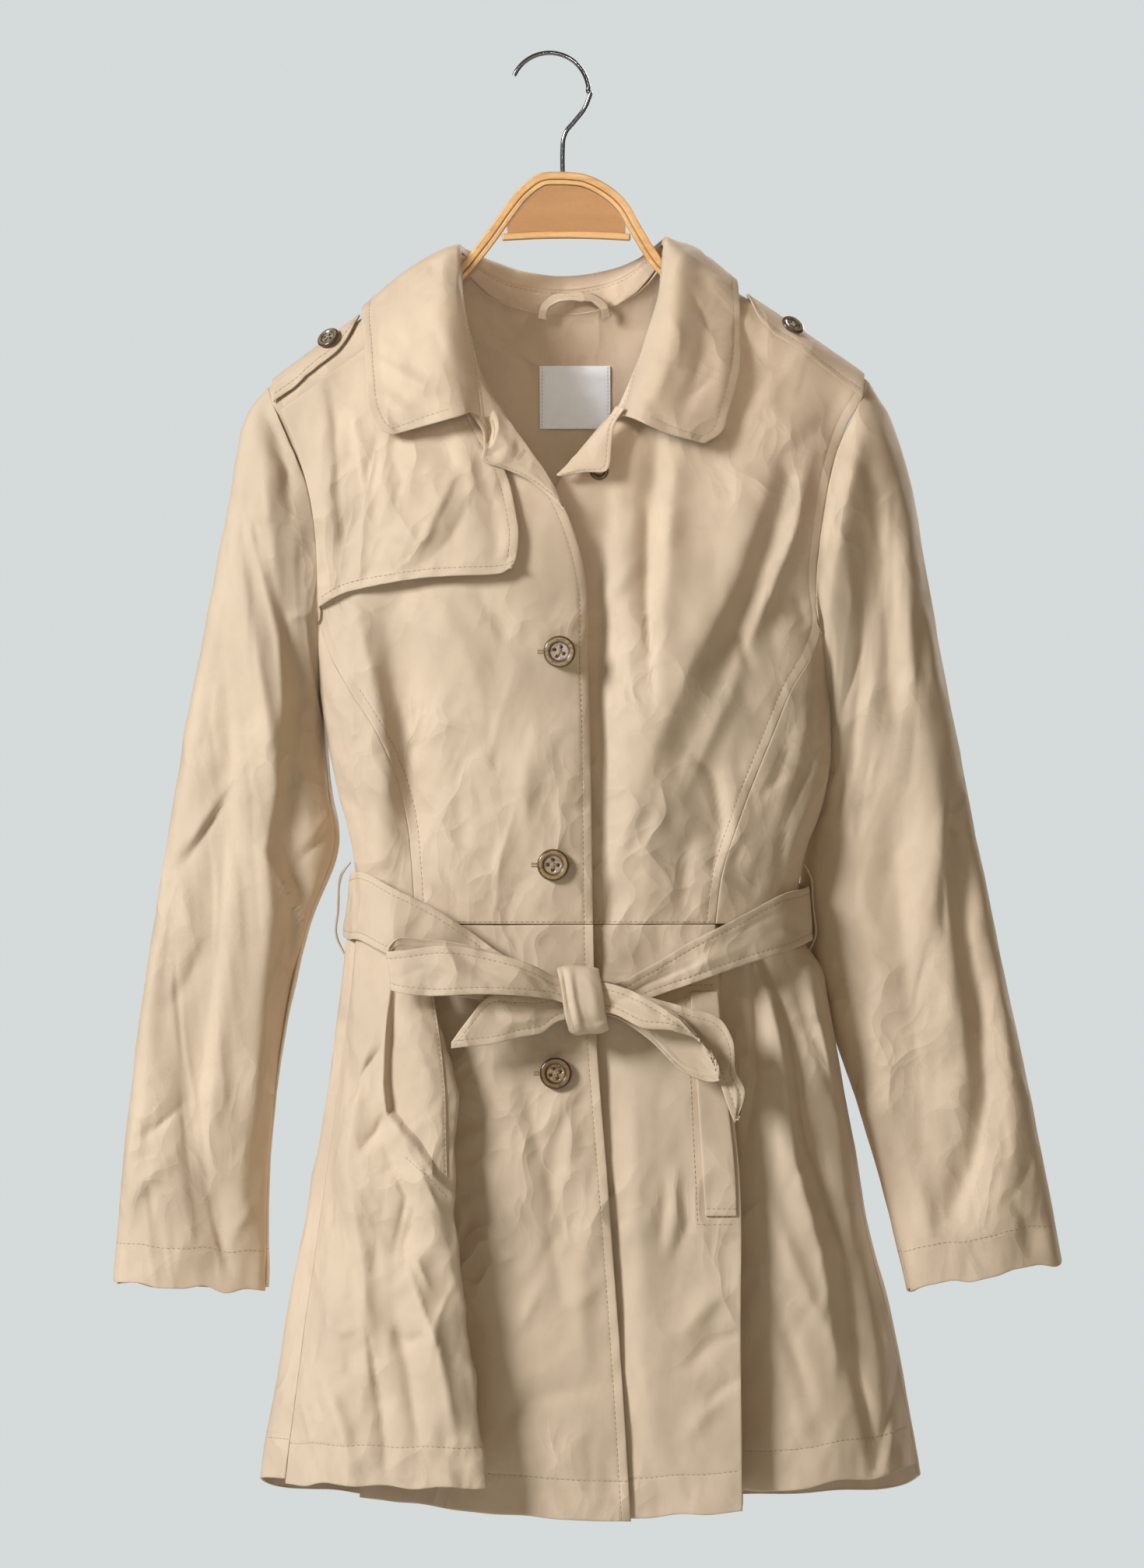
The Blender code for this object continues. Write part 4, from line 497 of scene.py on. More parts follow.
class Cut:
    """A piece of cloth, cut out and laid on its net as a fine grid. sewn says how far in from
    each edge it is topstitched: first, last, top or bottom, in millimetres."""

    def __init__(self, net, step, u=(0.0, 1.0), v=(0.0, 1.0), **sewn):
        self.net, self.sewn = net, sewn
        keep_u, keep_v = np.linspace(*u, TRIALS), np.linspace(*v, TRIALS)
        widths = np.array([net.width(at, u) for at in keep_v])
        lengths = np.array([net.length(at, v) for at in keep_u])
        wide, long = widths.max(), lengths.max()
        columns = spaced(wide, step, [sewn[k] if k == "first" else wide - sewn[k] for k in ("first", "last")
                                      if k in sewn])
        rows = spaced(long, step, [sewn[k] if k == "top" else long - sewn[k] for k in ("top", "bottom")
                                   if k in sewn])

        def shares(places, whole, here):
            """Edge margins keep their size; what is between them takes up the difference."""
            edge = min(SEAM_MARGIN, 0.3 * here)
            return np.interp(places, (0, edge, whole - edge, whole), (0, edge, here - edge, here)) / here

        v_of = np.array([shares(rows, long, here) for here in lengths])
        u_of = np.array([shares(columns, wide, here) for here in widths])
        u_mid = columns / wide
        trials = np.linspace(0, 1, TRIALS)
        vs = np.stack([[np.interp(c, trials, v_of[:, r]) for c in u_mid] for r in range(len(rows))])
        us = np.stack([[np.interp(vs[r, c], trials, u_of[:, c]) for c in range(len(columns))]
                       for r in range(len(rows))])
        self.us, self.vs = u[0] + us * (u[1] - u[0]), v[0] + vs * (v[1] - v[0])
        self.points = net.at(self.us, self.vs)
        self.measure()

    def measure(self):
        right = np.linalg.norm(np.diff(self.points, axis=1), axis=2)
        below = np.linalg.norm(np.diff(self.points, axis=0), axis=2)
        self.across = np.concatenate([np.zeros((len(right), 1)), np.cumsum(right, axis=1)], axis=1)
        self.down = np.concatenate([np.zeros((1, below.shape[1])), np.cumsum(below, axis=0)], axis=0)
        self.inside = {
            "first": self.across, "last": self.across[:, -1:] - self.across,
            "top": self.down, "bottom": self.down[-1:] - self.down,
        }

    def normals(self):
        n = np.cross(np.gradient(self.points, axis=1), np.gradient(self.points, axis=0))
        size = np.linalg.norm(n, axis=-1, keepdims=True)
        return n / np.maximum(size, 1e-9) * self.net.facing

    def move(self, out):
        """Move the cloth out along its own normals."""
        self.points = self.points + self.normals() * out[..., None]

    def press(self, creases, side=-1.0):
        """Press creases into what faces the front (-1) or the back (+1)."""
        faces = np.clip((self.normals()[..., 1] * side - 0.08) / 0.4, 0, 1)
        x, z = self.points[..., 0], self.points[..., 2]
        total = sum(crease_depth(c, x, z) for c in creases)
        self.points = self.points + np.stack([0 * x, side * total * faces, 0 * x], axis=-1)
        return self

    def crumple(self, depth, wide, long, seed, lean=0.0, sharp=0.0, free=()):
        """Uneven hollows about wide by long, leaning from the grain, stilled towards the seams."""
        turn = math.radians(lean)
        a = (self.across * math.cos(turn) + self.down * math.sin(turn)) / wide
        b = (self.down * math.cos(turn) - self.across * math.sin(turn)) / long
        a = a + 0.6 * rolling(a * 0.7 + 9, b * 0.7, seed + 50)
        height = 0.45 * rolling(a, b, seed) + facets(0.85 * a + 0.3 * b, 0.85 * b - 0.3 * a, seed + 1)
        if sharp:
            folds = 1 - 2 * np.abs(rolling(a * 0.8 + 3, b * 0.8, seed + 2)) ** 0.7
            height = height + sharp * 0.6 * folds
        still = np.ones(a.shape)
        for edge in ("first", "last", "top", "bottom"):
            if edge not in free:
                still = still * np.clip(self.inside[edge] / HELD_FLAT, 0, 1) ** 0.8
        self.move(depth * height * still)
        return self

    def sew_down(self, pucker=0.22, seed=1, roll=0.35):
        """Turn the edges under, sink the stitch lines, and pucker the strips beside them."""
        out = np.zeros(self.across.shape)
        for edge, inside in self.inside.items():
            out -= roll * np.clip(1 - inside / TURNED_EDGE, 0, 1) ** 2
            if edge in self.sewn:
                at = self.sewn[edge]
                along = self.down if edge in ("first", "last") else self.across
                out -= GROOVE_DEPTH * np.exp(-(((inside - at) / GROOVE_WIDTH) ** 2))
                ripple = rolling(along / PUCKERS[0], inside / 40.0, seed)
                ripple = ripple + 0.5 * rolling(along / PUCKERS[1], inside / 30.0, seed + 7)
                reach = at + PUCKER_REACH
                out += pucker * ripple * np.sin(np.pi * np.clip(inside / reach, 0, 1))
        self.move(out)
        return self

    def round_off(self, radius, *corners):
        """Draw square corners in to quarter rounds."""
        us, vs = self.us.copy(), self.vs.copy()
        for beside, below in corners:
            p = np.clip(1 - self.inside[beside] / radius, 0, 1)
            q = np.clip(1 - self.inside[below] / radius, 0, 1)
            p_in, q_in = p * (1 - np.sqrt(1 - q * q / 2)), q * (1 - np.sqrt(1 - p * p / 2))
            wide, long = self.us[:, -1:] - self.us[:, :1], self.vs[-1:] - self.vs[:1]
            us += p_in * radius / self.across[:, -1:] * wide * (1 if beside == "first" else -1)
            vs += q_in * radius / self.down[-1:] * long * (1 if below == "top" else -1)
        self.us, self.vs = us, vs
        self.points = self.net.at(us, vs)
        self.measure()
        return self

    def sway(self, depth, wide, seed):
        """Let the lower edge hang a little uneven."""
        drop = depth * rolling(self.across / wide, 0 * self.across,
                               seed) * (self.down / self.down[-1:]) ** 8
        self.points = self.points + np.stack([0 * drop, 0 * drop, drop], axis=-1)
        return self

    def line(self, edge, inset=None, span=(0.0, 1.0)):
        """The points and normals of the line that runs inset from an edge."""
        inset = self.sewn[edge] if inset is None else inset
        inside, points, normals = self.inside[edge], self.points, self.normals()
        if edge in ("top", "bottom"):
            inside, points, normals = inside.T, points.transpose(1, 0, 2), normals.transpose(1, 0, 2)
        places, faces = [], []
        first, last = int(span[0] * (len(inside) - 1)), int(span[1] * (len(inside) - 1))
        for i in range(first, last + 1):
            order = np.argsort(inside[i])
            places.append([np.interp(inset, inside[i][order], points[i][order, k]) for k in range(3)])
            faces.append([np.interp(inset, inside[i][order], normals[i][order, k]) for k in range(3)])
        return np.array(places), np.array(faces)


def gabardine(name, colour, weave=0.35):
    """Proofed cotton: a fine steep twill, a faint sheen, tone that wanders a little."""
    cotton = Finish(name, 0.62, Sheen_Weight=0.28, Sheen_Roughness=0.35, Specular_IOR_Level=0.38)
    warp, weft = cotton.threads()
    where = cotton.place()
    slub = cotton.noise(where, 0.9, detail=1.0, rough=0.6)
    twill = ((warp * 2.0 + weft) * 9.5 + slub * 2.0).sine()
    thread = (warp * 14.0).sine() * (weft * 14.0).sine()
    wander = cotton.noise(where, 0.016, detail=1.0)
    fade = cotton.noise(where, 0.11, detail=2.0, rough=0.6)
    pale = tuple(min(1.0, 1.09 * c) for c in colour)
    deep = tuple(0.88 * c for c in colour)
    tone = cotton.mixed(wander.rises(0.3, 0.7), colour, pale)
    tone = cotton.mixed(fade.rises(0.45, 0.75) * 0.22, tone, deep)
    tone = cotton.mixed((twill * 0.5 + 0.5) * 0.10, tone, deep)
    cotton.feed("Base Color", tone)
    cotton.feed("Roughness", slub * 0.16 + fade * 0.08 + 0.5)
    # Small crumples, more in some places than in others, each a few flat facets with crisp folds.
    stray = cotton.node("ShaderNodeTexNoise", None, {"Vector": where, "Scale": 0.024, "Detail": 1.0},
                        out="Color")
    stray = cotton.node("ShaderNodeVectorMath", {"operation": "SCALE"}, {0: stray, "Scale": 44.0})
    bent = cotton.node("ShaderNodeVectorMath", {"operation": "MULTIPLY_ADD"},
                       {0: where, 1: (1.0, 1.0, 0.6), 2: stray})
    crumple = 0.0
    for scale, tall in ((0.030, 5.5), (0.075, 1.5)):
        crumple = cotton.node("ShaderNodeTexVoronoi", {"feature": "F1"}, {"Vector": bent, "Scale": scale},
                              out="Distance") * tall + crumple
    gather = cotton.noise(where, 0.012, detail=1.0).rises(0.38, 0.64) * 0.85 + 0.15
    relief = (twill * 0.32 + thread * 0.2 + slub * 0.8) * (weave * 0.2) + crumple * gather
    cotton.raised(relief, 1.0)
    return cotton


BEIGE = (0.632, 0.487, 0.329)
beige_gabardine = gabardine("beige_gabardine", BEIGE)


def wall(name, cut, thickness=SHELL, finish=beige_gabardine, closed=False):
    """The cloth itself: the laid face, its inner face, and the turned edges between them."""
    points, normals = cut.points, cut.normals()
    rows, columns = points.shape[:2]
    outer, inner = points.reshape(-1, 3), (points - normals * thickness).reshape(-1, 3)
    row, column = np.meshgrid(np.arange(rows - 1), np.arange(columns if closed else columns - 1),
                              indexing="ij")
    row, column = row.ravel(), column.ravel()
    after = (column + 1) % columns
    a, b = row * columns + column, row * columns + after
    faces = np.stack([a, b, b + columns, a + columns], axis=1)
    if cut.net.facing < 0:
        faces = faces[:, ::-1]
    shift = rows * columns
    top = np.arange(columns)
    bottom = top + (rows - 1) * columns
    first = np.arange(rows) * columns
    last = first + columns - 1
    rims = [(top, False), (bottom, True)] + ([] if closed else [(first, True), (last, False)])
    sides = []
    for edge, forward in rims:
        ring = np.concatenate([edge, edge[:1]]) if closed else edge
        near, far = (ring[:-1], ring[1:]) if forward == (cut.net.facing > 0) else (ring[1:], ring[:-1])
        sides.append(np.stack([near, far, far + shift, near + shift], axis=1))
    quads = np.concatenate([faces, faces[:, ::-1] + shift] + sides).astype(np.int32)
    corners = np.concatenate([outer, inner]) * MM
    mesh = bpy.data.meshes.new(name)
    mesh.vertices.add(len(corners))
    mesh.vertices.foreach_set("co", corners.ravel())
    mesh.loops.add(4 * len(quads))
    mesh.loops.foreach_set("vertex_index", quads.ravel())
    mesh.polygons.add(len(quads))
    mesh.polygons.foreach_set("loop_start", np.arange(0, 4 * len(quads), 4, dtype=np.int32))
    mesh.update(calc_edges=True)
    mesh.validate()
    laid = mesh.uv_layers.new(name="laid")
    flat = np.stack([cut.across.ravel(), cut.down.ravel()], axis=1)
    laid.data.foreach_set("uv", np.concatenate([flat, flat])[quads.ravel()].ravel())
    mesh.materials.append(finish.material)
    mesh.shade_smooth()
    return in_scene(name, mesh)


THREAD_PITCH, THREAD_LONG = 3.3, 2.5


def beige_thread():
    """Spun polyester: two plies twisted together, a little glossier than the cloth."""
    thread = Finish("beige_thread", 0.5, Sheen_Weight=0.2)
    where = thread.place()
    plies = thread.noise(where, 1.6, detail=2.0)
    thread.feed("Base Color", thread.mixed(plies, (0.34, 0.235, 0.14), (0.50, 0.37, 0.235)))
    thread.feed("Roughness", plies * 0.2 + 0.4)
    thread.raised(plies, 0.06)
    return thread


tonal_thread = beige_thread()


def spread_on(at, along, values):
    """Places or normals at distances along a line."""
    return np.stack([np.interp(at, along, values[:, k]) for k in range(3)], axis=1)


def stitched(name, lines, pitch=THREAD_PITCH, long=THREAD_LONG, thick=0.42, rise=0.1, turned=False,
             finish=None):
    """Machine stitches along lines of points and normals, each a small lens of thread. Turned
    ones lie across their line, as round a buttonhole."""
    ring = np.radians(np.arange(0, 360, 60))
    shape = [(-0.5, 0.0, -0.25)]
    for along in (-0.3, 0.3):
        shape += [(along, math.cos(r) * 0.5, math.sin(r) * 0.42) for r in ring]
    shape = np.array(shape + [(0.5, 0.0, -0.25)]) * [long, thick, thick]
    faces = [(0, 1 + (k + 1) % 6, 1 + k) for k in range(6)]
    faces += [(1 + k, 1 + (k + 1) % 6, 7 + (k + 1) % 6, 7 + k) for k in range(6)]
    faces += [(13, 7 + k, 7 + (k + 1) % 6) for k in range(6)]
    corners, polygons = [], []
    for points, normals in lines:
        steps = np.linalg.norm(np.diff(points, axis=0), axis=1)
        along = np.concatenate([[0.0], np.cumsum(steps)])
        places = np.arange(pitch * 0.6, along[-1] - pitch * 0.4, pitch)
        if not len(places):
            continue
        p, n = spread_on(places, along, points), spread_on(places, along, normals)
        n /= np.linalg.norm(n, axis=1, keepdims=True)
        ahead = spread_on(places + 0.5, along, points) - spread_on(places - 0.5, along, points)
        ahead -= (ahead * n).sum(1, keepdims=True) * n
        ahead /= np.linalg.norm(ahead, axis=1, keepdims=True) + 1e-9
        beside = np.cross(n, ahead)
        if turned:
            ahead, beside = beside, -ahead
        for k in range(len(places)):
            first = len(corners)
            corners += list(p[k] + n[k] * rise + shape @ np.stack([ahead[k], beside[k], n[k]]))
            polygons += [[first + i for i in face] for face in faces]
    mesh = bpy.data.meshes.new(name)
    mesh.from_pydata([tuple(c * MM) for c in corners], [], polygons)
    mesh.materials.append((finish or tonal_thread).material)
    mesh.shade_smooth()
    made = in_scene(name, mesh)
    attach(made, "root")
    return made


def hang(piece, node):
    """The piece stands for its CAD node."""
    stands_for(piece, node)


BACK = back_net()
BACK_CREASES = [
    Crease(5.2, 20, 24, False, [(-60, -250), (-52, -380), (-40, -505)]),
    Crease(4.5, 22, 16, False, [(96, -240), (80, -360), (58, -510)]),
    Crease(-3.6, 11, 15, False, [(12, -290), (6, -400), (12, -530)]),
    Crease(-2.7, 5, 9, True, [(-120, -300), (-92, -372), (-80, -420)]),
    Crease(3.3, 8, 5, True, [(138, -290), (112, -350), (104, -402)]),
    Crease(2.4, 6, 11, False, [(-20, -330), (22, -372), (70, -398)]),
    Crease(-2.2, 4, 7, True, [(-104, -470), (-70, -492), (-48, -530)]),
    Crease(2.0, 4, 6, True, [(40, -440), (66, -462), (104, -474)]),
    Crease(-2.1, 9, 6, False, [(128, -430), (110, -480), (90, -532)]),
]
back_cut = Cut(BACK, 4.8)
back_cut.press(BACK_CREASES, 1.0).crumple(1.9, 46, 90, 11, 14).crumple(0.8, 17, 34, 12, -25, 0.6).sew_down()
back = wall("bodice_back", back_cut)
back_stitches = stitched("shoulder_and_waist_stitches", [back_cut.line("bottom", 2.0)])
hang(back, "back")

# ---------------------------------------------------------------- bodice fronts
# Two fronts of the same gabardine, the right lapped over the left. Their edges are faced, turned
# and topstitched, and drag lines fall from the left shoulder where the hanger holds it.
Row = namedtuple("Row", "x_in y_in z_in x_out y_out z_out push lift")
FRONT_RIGHT_ROWS = [
    Row(-58, -0.4, -128.5, -177, -0.4, -209, 0, 4),
    Row(-58, -6.4, -130, -176, -5, -212, 0, 4),
    Row(-58, -14, -138, -174, -9.5, -219, 1, 4),
    Row(-57, -18, -160, -166, -14, -238, 3, 2),
    Row(-48, -27, -188, -153, -20, -268, 6, 0),
    Row(-34, -35, -218, -147, -22, -300, 8, 0),
    Row(-14, -41, -246, -145.5, -21, -330, 9, 0),
    Row(1, -44, -270, -144.5, -17, -356, 11, 0),
    Row(13, -46, -294, -138, -21, -377, 13, 0),
    Row(22, -47, -325, -127, -27, -397, 12, 0),
    Row(24.5, -48, -375, -104, -35, -434, 9, 0),
    Row(26, -48, -440, -90, -38, -476, 7, 0),
    Row(27, -47.5, -495, -86, -38.5, -512, 5, 0),
    Row(27.5, -47, WAIST_Z, -84, -38, WAIST_Z, 4, 0),
]
FRONT_LEFT_ROWS = [
    Row(74, -0.4, -123.5, 201, -0.4, -205, 0, 3),
    Row(74, -6.4, -125, 200, -5, -208, 0, 3),
    Row(74, -14, -133, 197.5, -9.5, -215, 1, 3),
    Row(72, -17, -158, 188, -14, -231, 3, 1),
    Row(61, -24, -190, 177, -20, -262, 5, 0),
    Row(45, -30, -219, 170.5, -22, -300, 7, 0),
    Row(26, -34, -241, 167.5, -21, -334, 8, 0),
    Row(10, -36, -262, 170, -17, -361, 9, 0),
    Row(-2, -37, -285, 165, -21, -377, 9, 0),
    Row(-8, -37.5, -325, 153, -27, -397, 8, 0),
    Row(-10, -38, -375, 139, -33, -430, 7, 0),
    Row(-9, -38, -440, 120, -37, -478, 6, 0),
    Row(-8, -37.5, -495, 108, -39, -515, 5, 0),
    Row(-7, -37, WAIST_Z, 104, -39, WAIST_Z, 4, 0),
]
ACROSS_FRONT = (0.0, 0.25, 0.5, 0.75, 1.0)


def front_net(rows, facing=1.0):
    made = []
    for row in rows:
        start = np.array([row.x_in, row.y_in, row.z_in])
        end = np.array([row.x_out, row.y_out, row.z_out])
        stations = []
        for u in ACROSS_FRONT:
            swell = 4 * u * (1 - u)
            stations.append(start + (end - start) * u + [0, -row.push * swell, row.lift * swell])
        made.append(stations)
    return Net(made, facing)


FRONT_RIGHT = front_net(FRONT_RIGHT_ROWS)
FRONT_LEFT = front_net(FRONT_LEFT_ROWS, -1.0)
CHEST_CREASES = [
    Crease(5.2, 8, 15, True, [(-123, -338), (-114, -378), (-105, -412), (-97, -455)]),
    Crease(-7.2, 11, 13, False, [(-104, -335), (-97, -400), (-88, -460), (-84, -525)]),
    Crease(-6.1, 9, 9, False, [(30, -300), (33, -380), (35, -450), (37, -540)]),
    # the right chest, below the storm flap
    Crease(-7.2, 16, 16, False, [(-90, -345), (-78, -500)]),
    Crease(5.8, 9, 9, False, [(-112, -395), (-96, -500)]),
    Crease(-2.6, 5, 11, False, [(-50, -330), (-36, -351), (-18, -377)]),
    Crease(2.8, 12, 10, False, [(-74, -336), (-54, -372), (-40, -414)]),
    Crease(-2.9, 13, 9, False, [(-50, -400), (-58, -460), (-52, -528)]),
    Crease(2.0, 6, 9, False, [(-6, -410), (-16, -462), (-12, -500)]),
    Crease(1.9, 4, 7, True, [(-20, -470), (-31, -506), (-34, -540)]),
    Crease(-2.2, 4, 6, True, [(-108, -470), (-98, -484), (-84, -498)]),
    Crease(2.6, 6, 9, False, [(-133, -392), (-118, -446), (-104, -492)]),
    Crease(-2.3, 3, 6, True, [(-128, -420), (-118, -452), (-112, -476)]),
    Crease(-2.0, 4, 3, True, [(-70, -505), (-62, -520), (-58, -542)]),
    # the left chest, from the collar and shoulder to the waist
    Crease(-4.9, 10, 7, False, [(67, -236), (64, -290), (61, -336)]),
    Crease(-4.9, 5, 3, True, [(61, -288), (61, -346), (64.5, -408)]),
    Crease(2.9, 6, 9, False, [(80, -246), (74, -330), (67, -400)]),
    Crease(9.4, 24, 13, False, [(152, -222), (118, -326), (84, -388), (66, -430), (40, -512)]),
    Crease(7.2, 11, 5, True, [(164, -250), (154, -300), (140, -336), (125, -370)]),
    Crease(-5.2, 8, 8, False, [(150, -262), (128, -330), (106, -390)]),
    Crease(-3.5, 3, 4, True, [(117, -362), (121, -373), (125, -386)]),
    Crease(-2.6, 2.4, 3, True, [(155, -340), (157, -348), (159, -358)]),
    Crease(-4.1, 4, 8, True, [(88, -438), (103, -454), (108, -484), (101, -515)]),
    Crease(3.5, 8, 10, False, [(112, -446), (116, -478), (108, -522)]),
    Crease(1.9, 5, 7, False, [(30, -352), (40, -337), (55, -322)]),
    Crease(-4.3, 12, 12, False, [(40, -250), (33, -330), (28, -430)]),
    Crease(3.5, 10, 14, False, [(76, -450), (64, -500), (60, -540)]),
    Crease(-2.3, 5, 7, False, [(88, -488), (84, -515), (84, -541)]),
    Crease(3.2, 9, 6, False, [(126, -370), (104, -422), (82, -468)]),
    Crease(-3.8, 6, 4, True, [(174, -428), (163, -446), (147, -484), (144, -514)]),
    Crease(-3.2, 5, 7, True, [(154, -408), (146, -446), (134, -486)]),
    Crease(3.2, 6, 5, False, [(168, -462), (154, -494), (150, -528)]),
    Crease(-2.2, 3, 5, True, [(136, -492), (130, -512), (126, -536)]),
]
front_right_cut = Cut(FRONT_RIGHT, 2.8, first=6.0, last=6.0)
front_right_cut.press(CHEST_CREASES).crumple(1.1, 34, 60, 21, 20, free=("first",))
front_right_cut.crumple(0.45, 13, 26, 22, -30, 0.6, ("first",)).sew_down()
front_left_cut = Cut(FRONT_LEFT, 2.8, last=6.0)
front_left_cut.press(CHEST_CREASES).crumple(1.2, 30, 70, 31, -22, free=("first",))
front_left_cut.crumple(0.6, 12, 30, 32, 26, 0.6, ("first",)).sew_down()
front_right = wall("bodice_front_right", front_right_cut)
front_left = wall("bodice_front_left", front_left_cut)
front_right_stitches = stitched("front_right_topstitch", [
    front_right_cut.line("first"),
    front_right_cut.line("last", span=(0.55, 1.0)),
    front_right_cut.line("bottom", 1.6),
])
front_left_stitches = stitched("front_left_topstitch", [
    front_left_cut.line("last", span=(0.5, 1.0)), front_left_cut.line("bottom", 1.6),
])
hang(front_right, "front_right")
hang(front_left, "front_left")

# ---------------------------------------------------------------- side panels of the bodice
# A narrow panel goes under each arm, from the princess seam in front to the seam with the back.
# It carries the ends of the chest's drag lines, and buckles where the belt draws the waist in.
Side = namedtuple("Side", "x_front y_front z_front x_side x_back y_back z_back")
SIDE_RIGHT_ROWS = [
    Side(-144.5, -17, -356, -147, -145, 17, -354),
    Side(-138, -21, -377, -147, -140, 20, -377),
    Side(-127, -27, -397, -145, -130, 22, -400),
    Side(-104, -35, -434, -138.5, -115, 25, -436),
    Side(-90, -38, -476, -130, -104, 27, -478),
    Side(-86, -38.5, -512, -122.5, -97, 28, -512),
    Side(-84, -38, WAIST_Z, -122, -94, 28, WAIST_Z),
]
SIDE_LEFT_ROWS = [
    Side(170, -17, -361, 173, 170, 17, -358),
    Side(165, -21, -377, 174, 166, 19, -378),
    Side(153, -27, -397, 174.5, 157, 22, -400),
    Side(139, -33, -430, 176, 146, 25, -434),
    Side(120, -37, -478, 170, 132, 27, -478),
    Side(108, -39, -515, 157, 120, 28, -515),
    Side(104, -39, WAIST_Z, 157, 115, 28, WAIST_Z),
]
TURN = ((0.0, 0.0), (0.16, 0.55), (0.5, 1.0), (0.84, 0.62), (1.0, 0.0))


def side_net(rows, z_dip, facing):
    """TURN gives, for each station, its share of the way back and its share of the way out
    to the side. The top row dips under the arm."""
    made = []
    for i, row in enumerate(rows):
        stations = []
        for back, out in TURN:
            straight = row.x_front + (row.x_back - row.x_front) * back
            x = straight + (row.x_side - straight) * out
            y = row.y_front + (row.y_back - row.y_front) * (back - 0.25 * out * (0.5 - back))
            z = row.z_front + (row.z_back - row.z_front) * back
            if i == 0:
                z -= z_dip * out
            stations.append((x, y, z))
        made.append(stations)
    return Net(made, facing)


SIDE_RIGHT = side_net(SIDE_RIGHT_ROWS, 14, 1.0)
SIDE_LEFT = side_net(SIDE_LEFT_ROWS, 14, -1.0)
side_right_cut = Cut(SIDE_RIGHT, 2.8).press(CHEST_CREASES)
side_right_cut.crumple(1.2, 22, 40, 41, 15).crumple(0.7, 11, 20, 42, -20, 0.6).sew_down()
side_left_cut = Cut(SIDE_LEFT, 2.8).press(CHEST_CREASES)
side_left_cut.crumple(1.3, 20, 44, 43, -15).crumple(0.7, 11, 22, 44, 25, 0.6).sew_down()
side_right = wall("bodice_side_right", side_right_cut)
side_left = wall("bodice_side_left", side_left_cut)
hang(side_right, "side_right")
hang(side_left, "side_left")

# ---------------------------------------------------------------- sleeves
# Each two-piece sleeve has an upper piece over the front and outer arm and an under piece behind,
# set into the armhole. The cuff is a plain 25 mm hem. Long soft folds fall from the head.
Ring = namedtuple("Ring", "x_out z_out x_in z_in y_mid front back bow")
SLEEVE_RIGHT_RINGS = [
    Ring(-190, -228, -151.5, -384, 0, 28, 26, 10),
    Ring(-201, -280, -152.5, -404, 1, 31, 27, 5),
    Ring(-214, -350, -152, -430, 2, 31, 27, 2),
    Ring(-229, -424, -144.5, -464, 3, 28, 27, 0),
    Ring(-241, -490, -133.5, -498, 3, 25, 25, 0),
    Ring(-250.5, -553, -151, -548, 3, 22, 22, 0),
    Ring(-260.5, -626, -166.5, -622, 2, 20, 20, 0),
    Ring(-268.3, -694, -175, -698, 1, 18, 18, 0),
    Ring(-275.2, -773, -176.5, -777, 0, 17, 17, 0),
]
SLEEVE_LEFT_RINGS = [
    Ring(214, -226, 178, -389, 1, 28, 26, -10),
    Ring(227.5, -272, 181, -411, 2, 31, 27, -5),
    Ring(240, -338, 182.5, -438, 4, 30, 27, -2),
    Ring(254, -418, 179.5, -472, 7, 27, 27, 0),
    Ring(269, -490, 170.5, -512, 9, 25, 26, 0),
    Ring(284, -565, 170, -562, 10, 23, 24, 0),
    Ring(297.5, -630, 188.5, -636, 8, 20, 22, 0),
    Ring(310, -690, 206.5, -703, 6, 18, 19, 0),
    Ring(322.7, -759, 225, -777, 4, 17, 17, 0),
]
RING_STATIONS = 17
BACK_SEAM, FRONT_SEAM = 0.96, 0.46
CUFF_HEM = 25.0


def armhole(front, front_rows, side, back, back_rows):
    """The loop that the panels leave open: down the front, under the arm and up the back."""
    down = front.at(1.0, np.linspace(0, front.down[front_rows], 24))
    under = side.at(np.linspace(0, 1, 9), 0.0)
    edge = 1.0 if side is SIDE_LEFT else 0.0
    up = back.at(edge, np.linspace(back.down[back_rows], 0, 24))
    return np.concatenate([down, under[1:-1], up])


def sleeve_net(loop, rings, tuck, facing):
    """The ring's stations run a little past its start both ways, so that no seam shows there.
    tuck is how far each ring's inner edge lies in towards the body, and back behind it."""
    shares = np.arange(-3, RING_STATIONS + 3) / (RING_STATIONS - 1)
    made = [through(loop, shares % 1.0)]
    for ring, (inward, behind) in zip(rings, tuck):
        outer = np.array([ring.x_out, ring.y_mid, ring.z_out])
        inner = np.array([ring.x_in + inward, ring.y_mid + behind, ring.z_in])
        stations = []
        for s in shares:
            along, round_it = math.cos(2 * math.pi * s), math.sin(2 * math.pi * s)
            deep = -ring.front if round_it > 0 else ring.back
            bulk = abs(round_it) ** 0.85
            place = (outer + inner) / 2 + (outer - inner) / 2 * along
            stations.append(place + [ring.bow * bulk, deep * bulk, 0])
        made.append(np.array(stations))
    return Net(made, facing)


def round_share(net, share):
    """Where a share of the way round the ring is on the net."""
    return float(np.interp(share * (RING_STATIONS - 1) + 3, np.arange(len(net.across)), net.across))


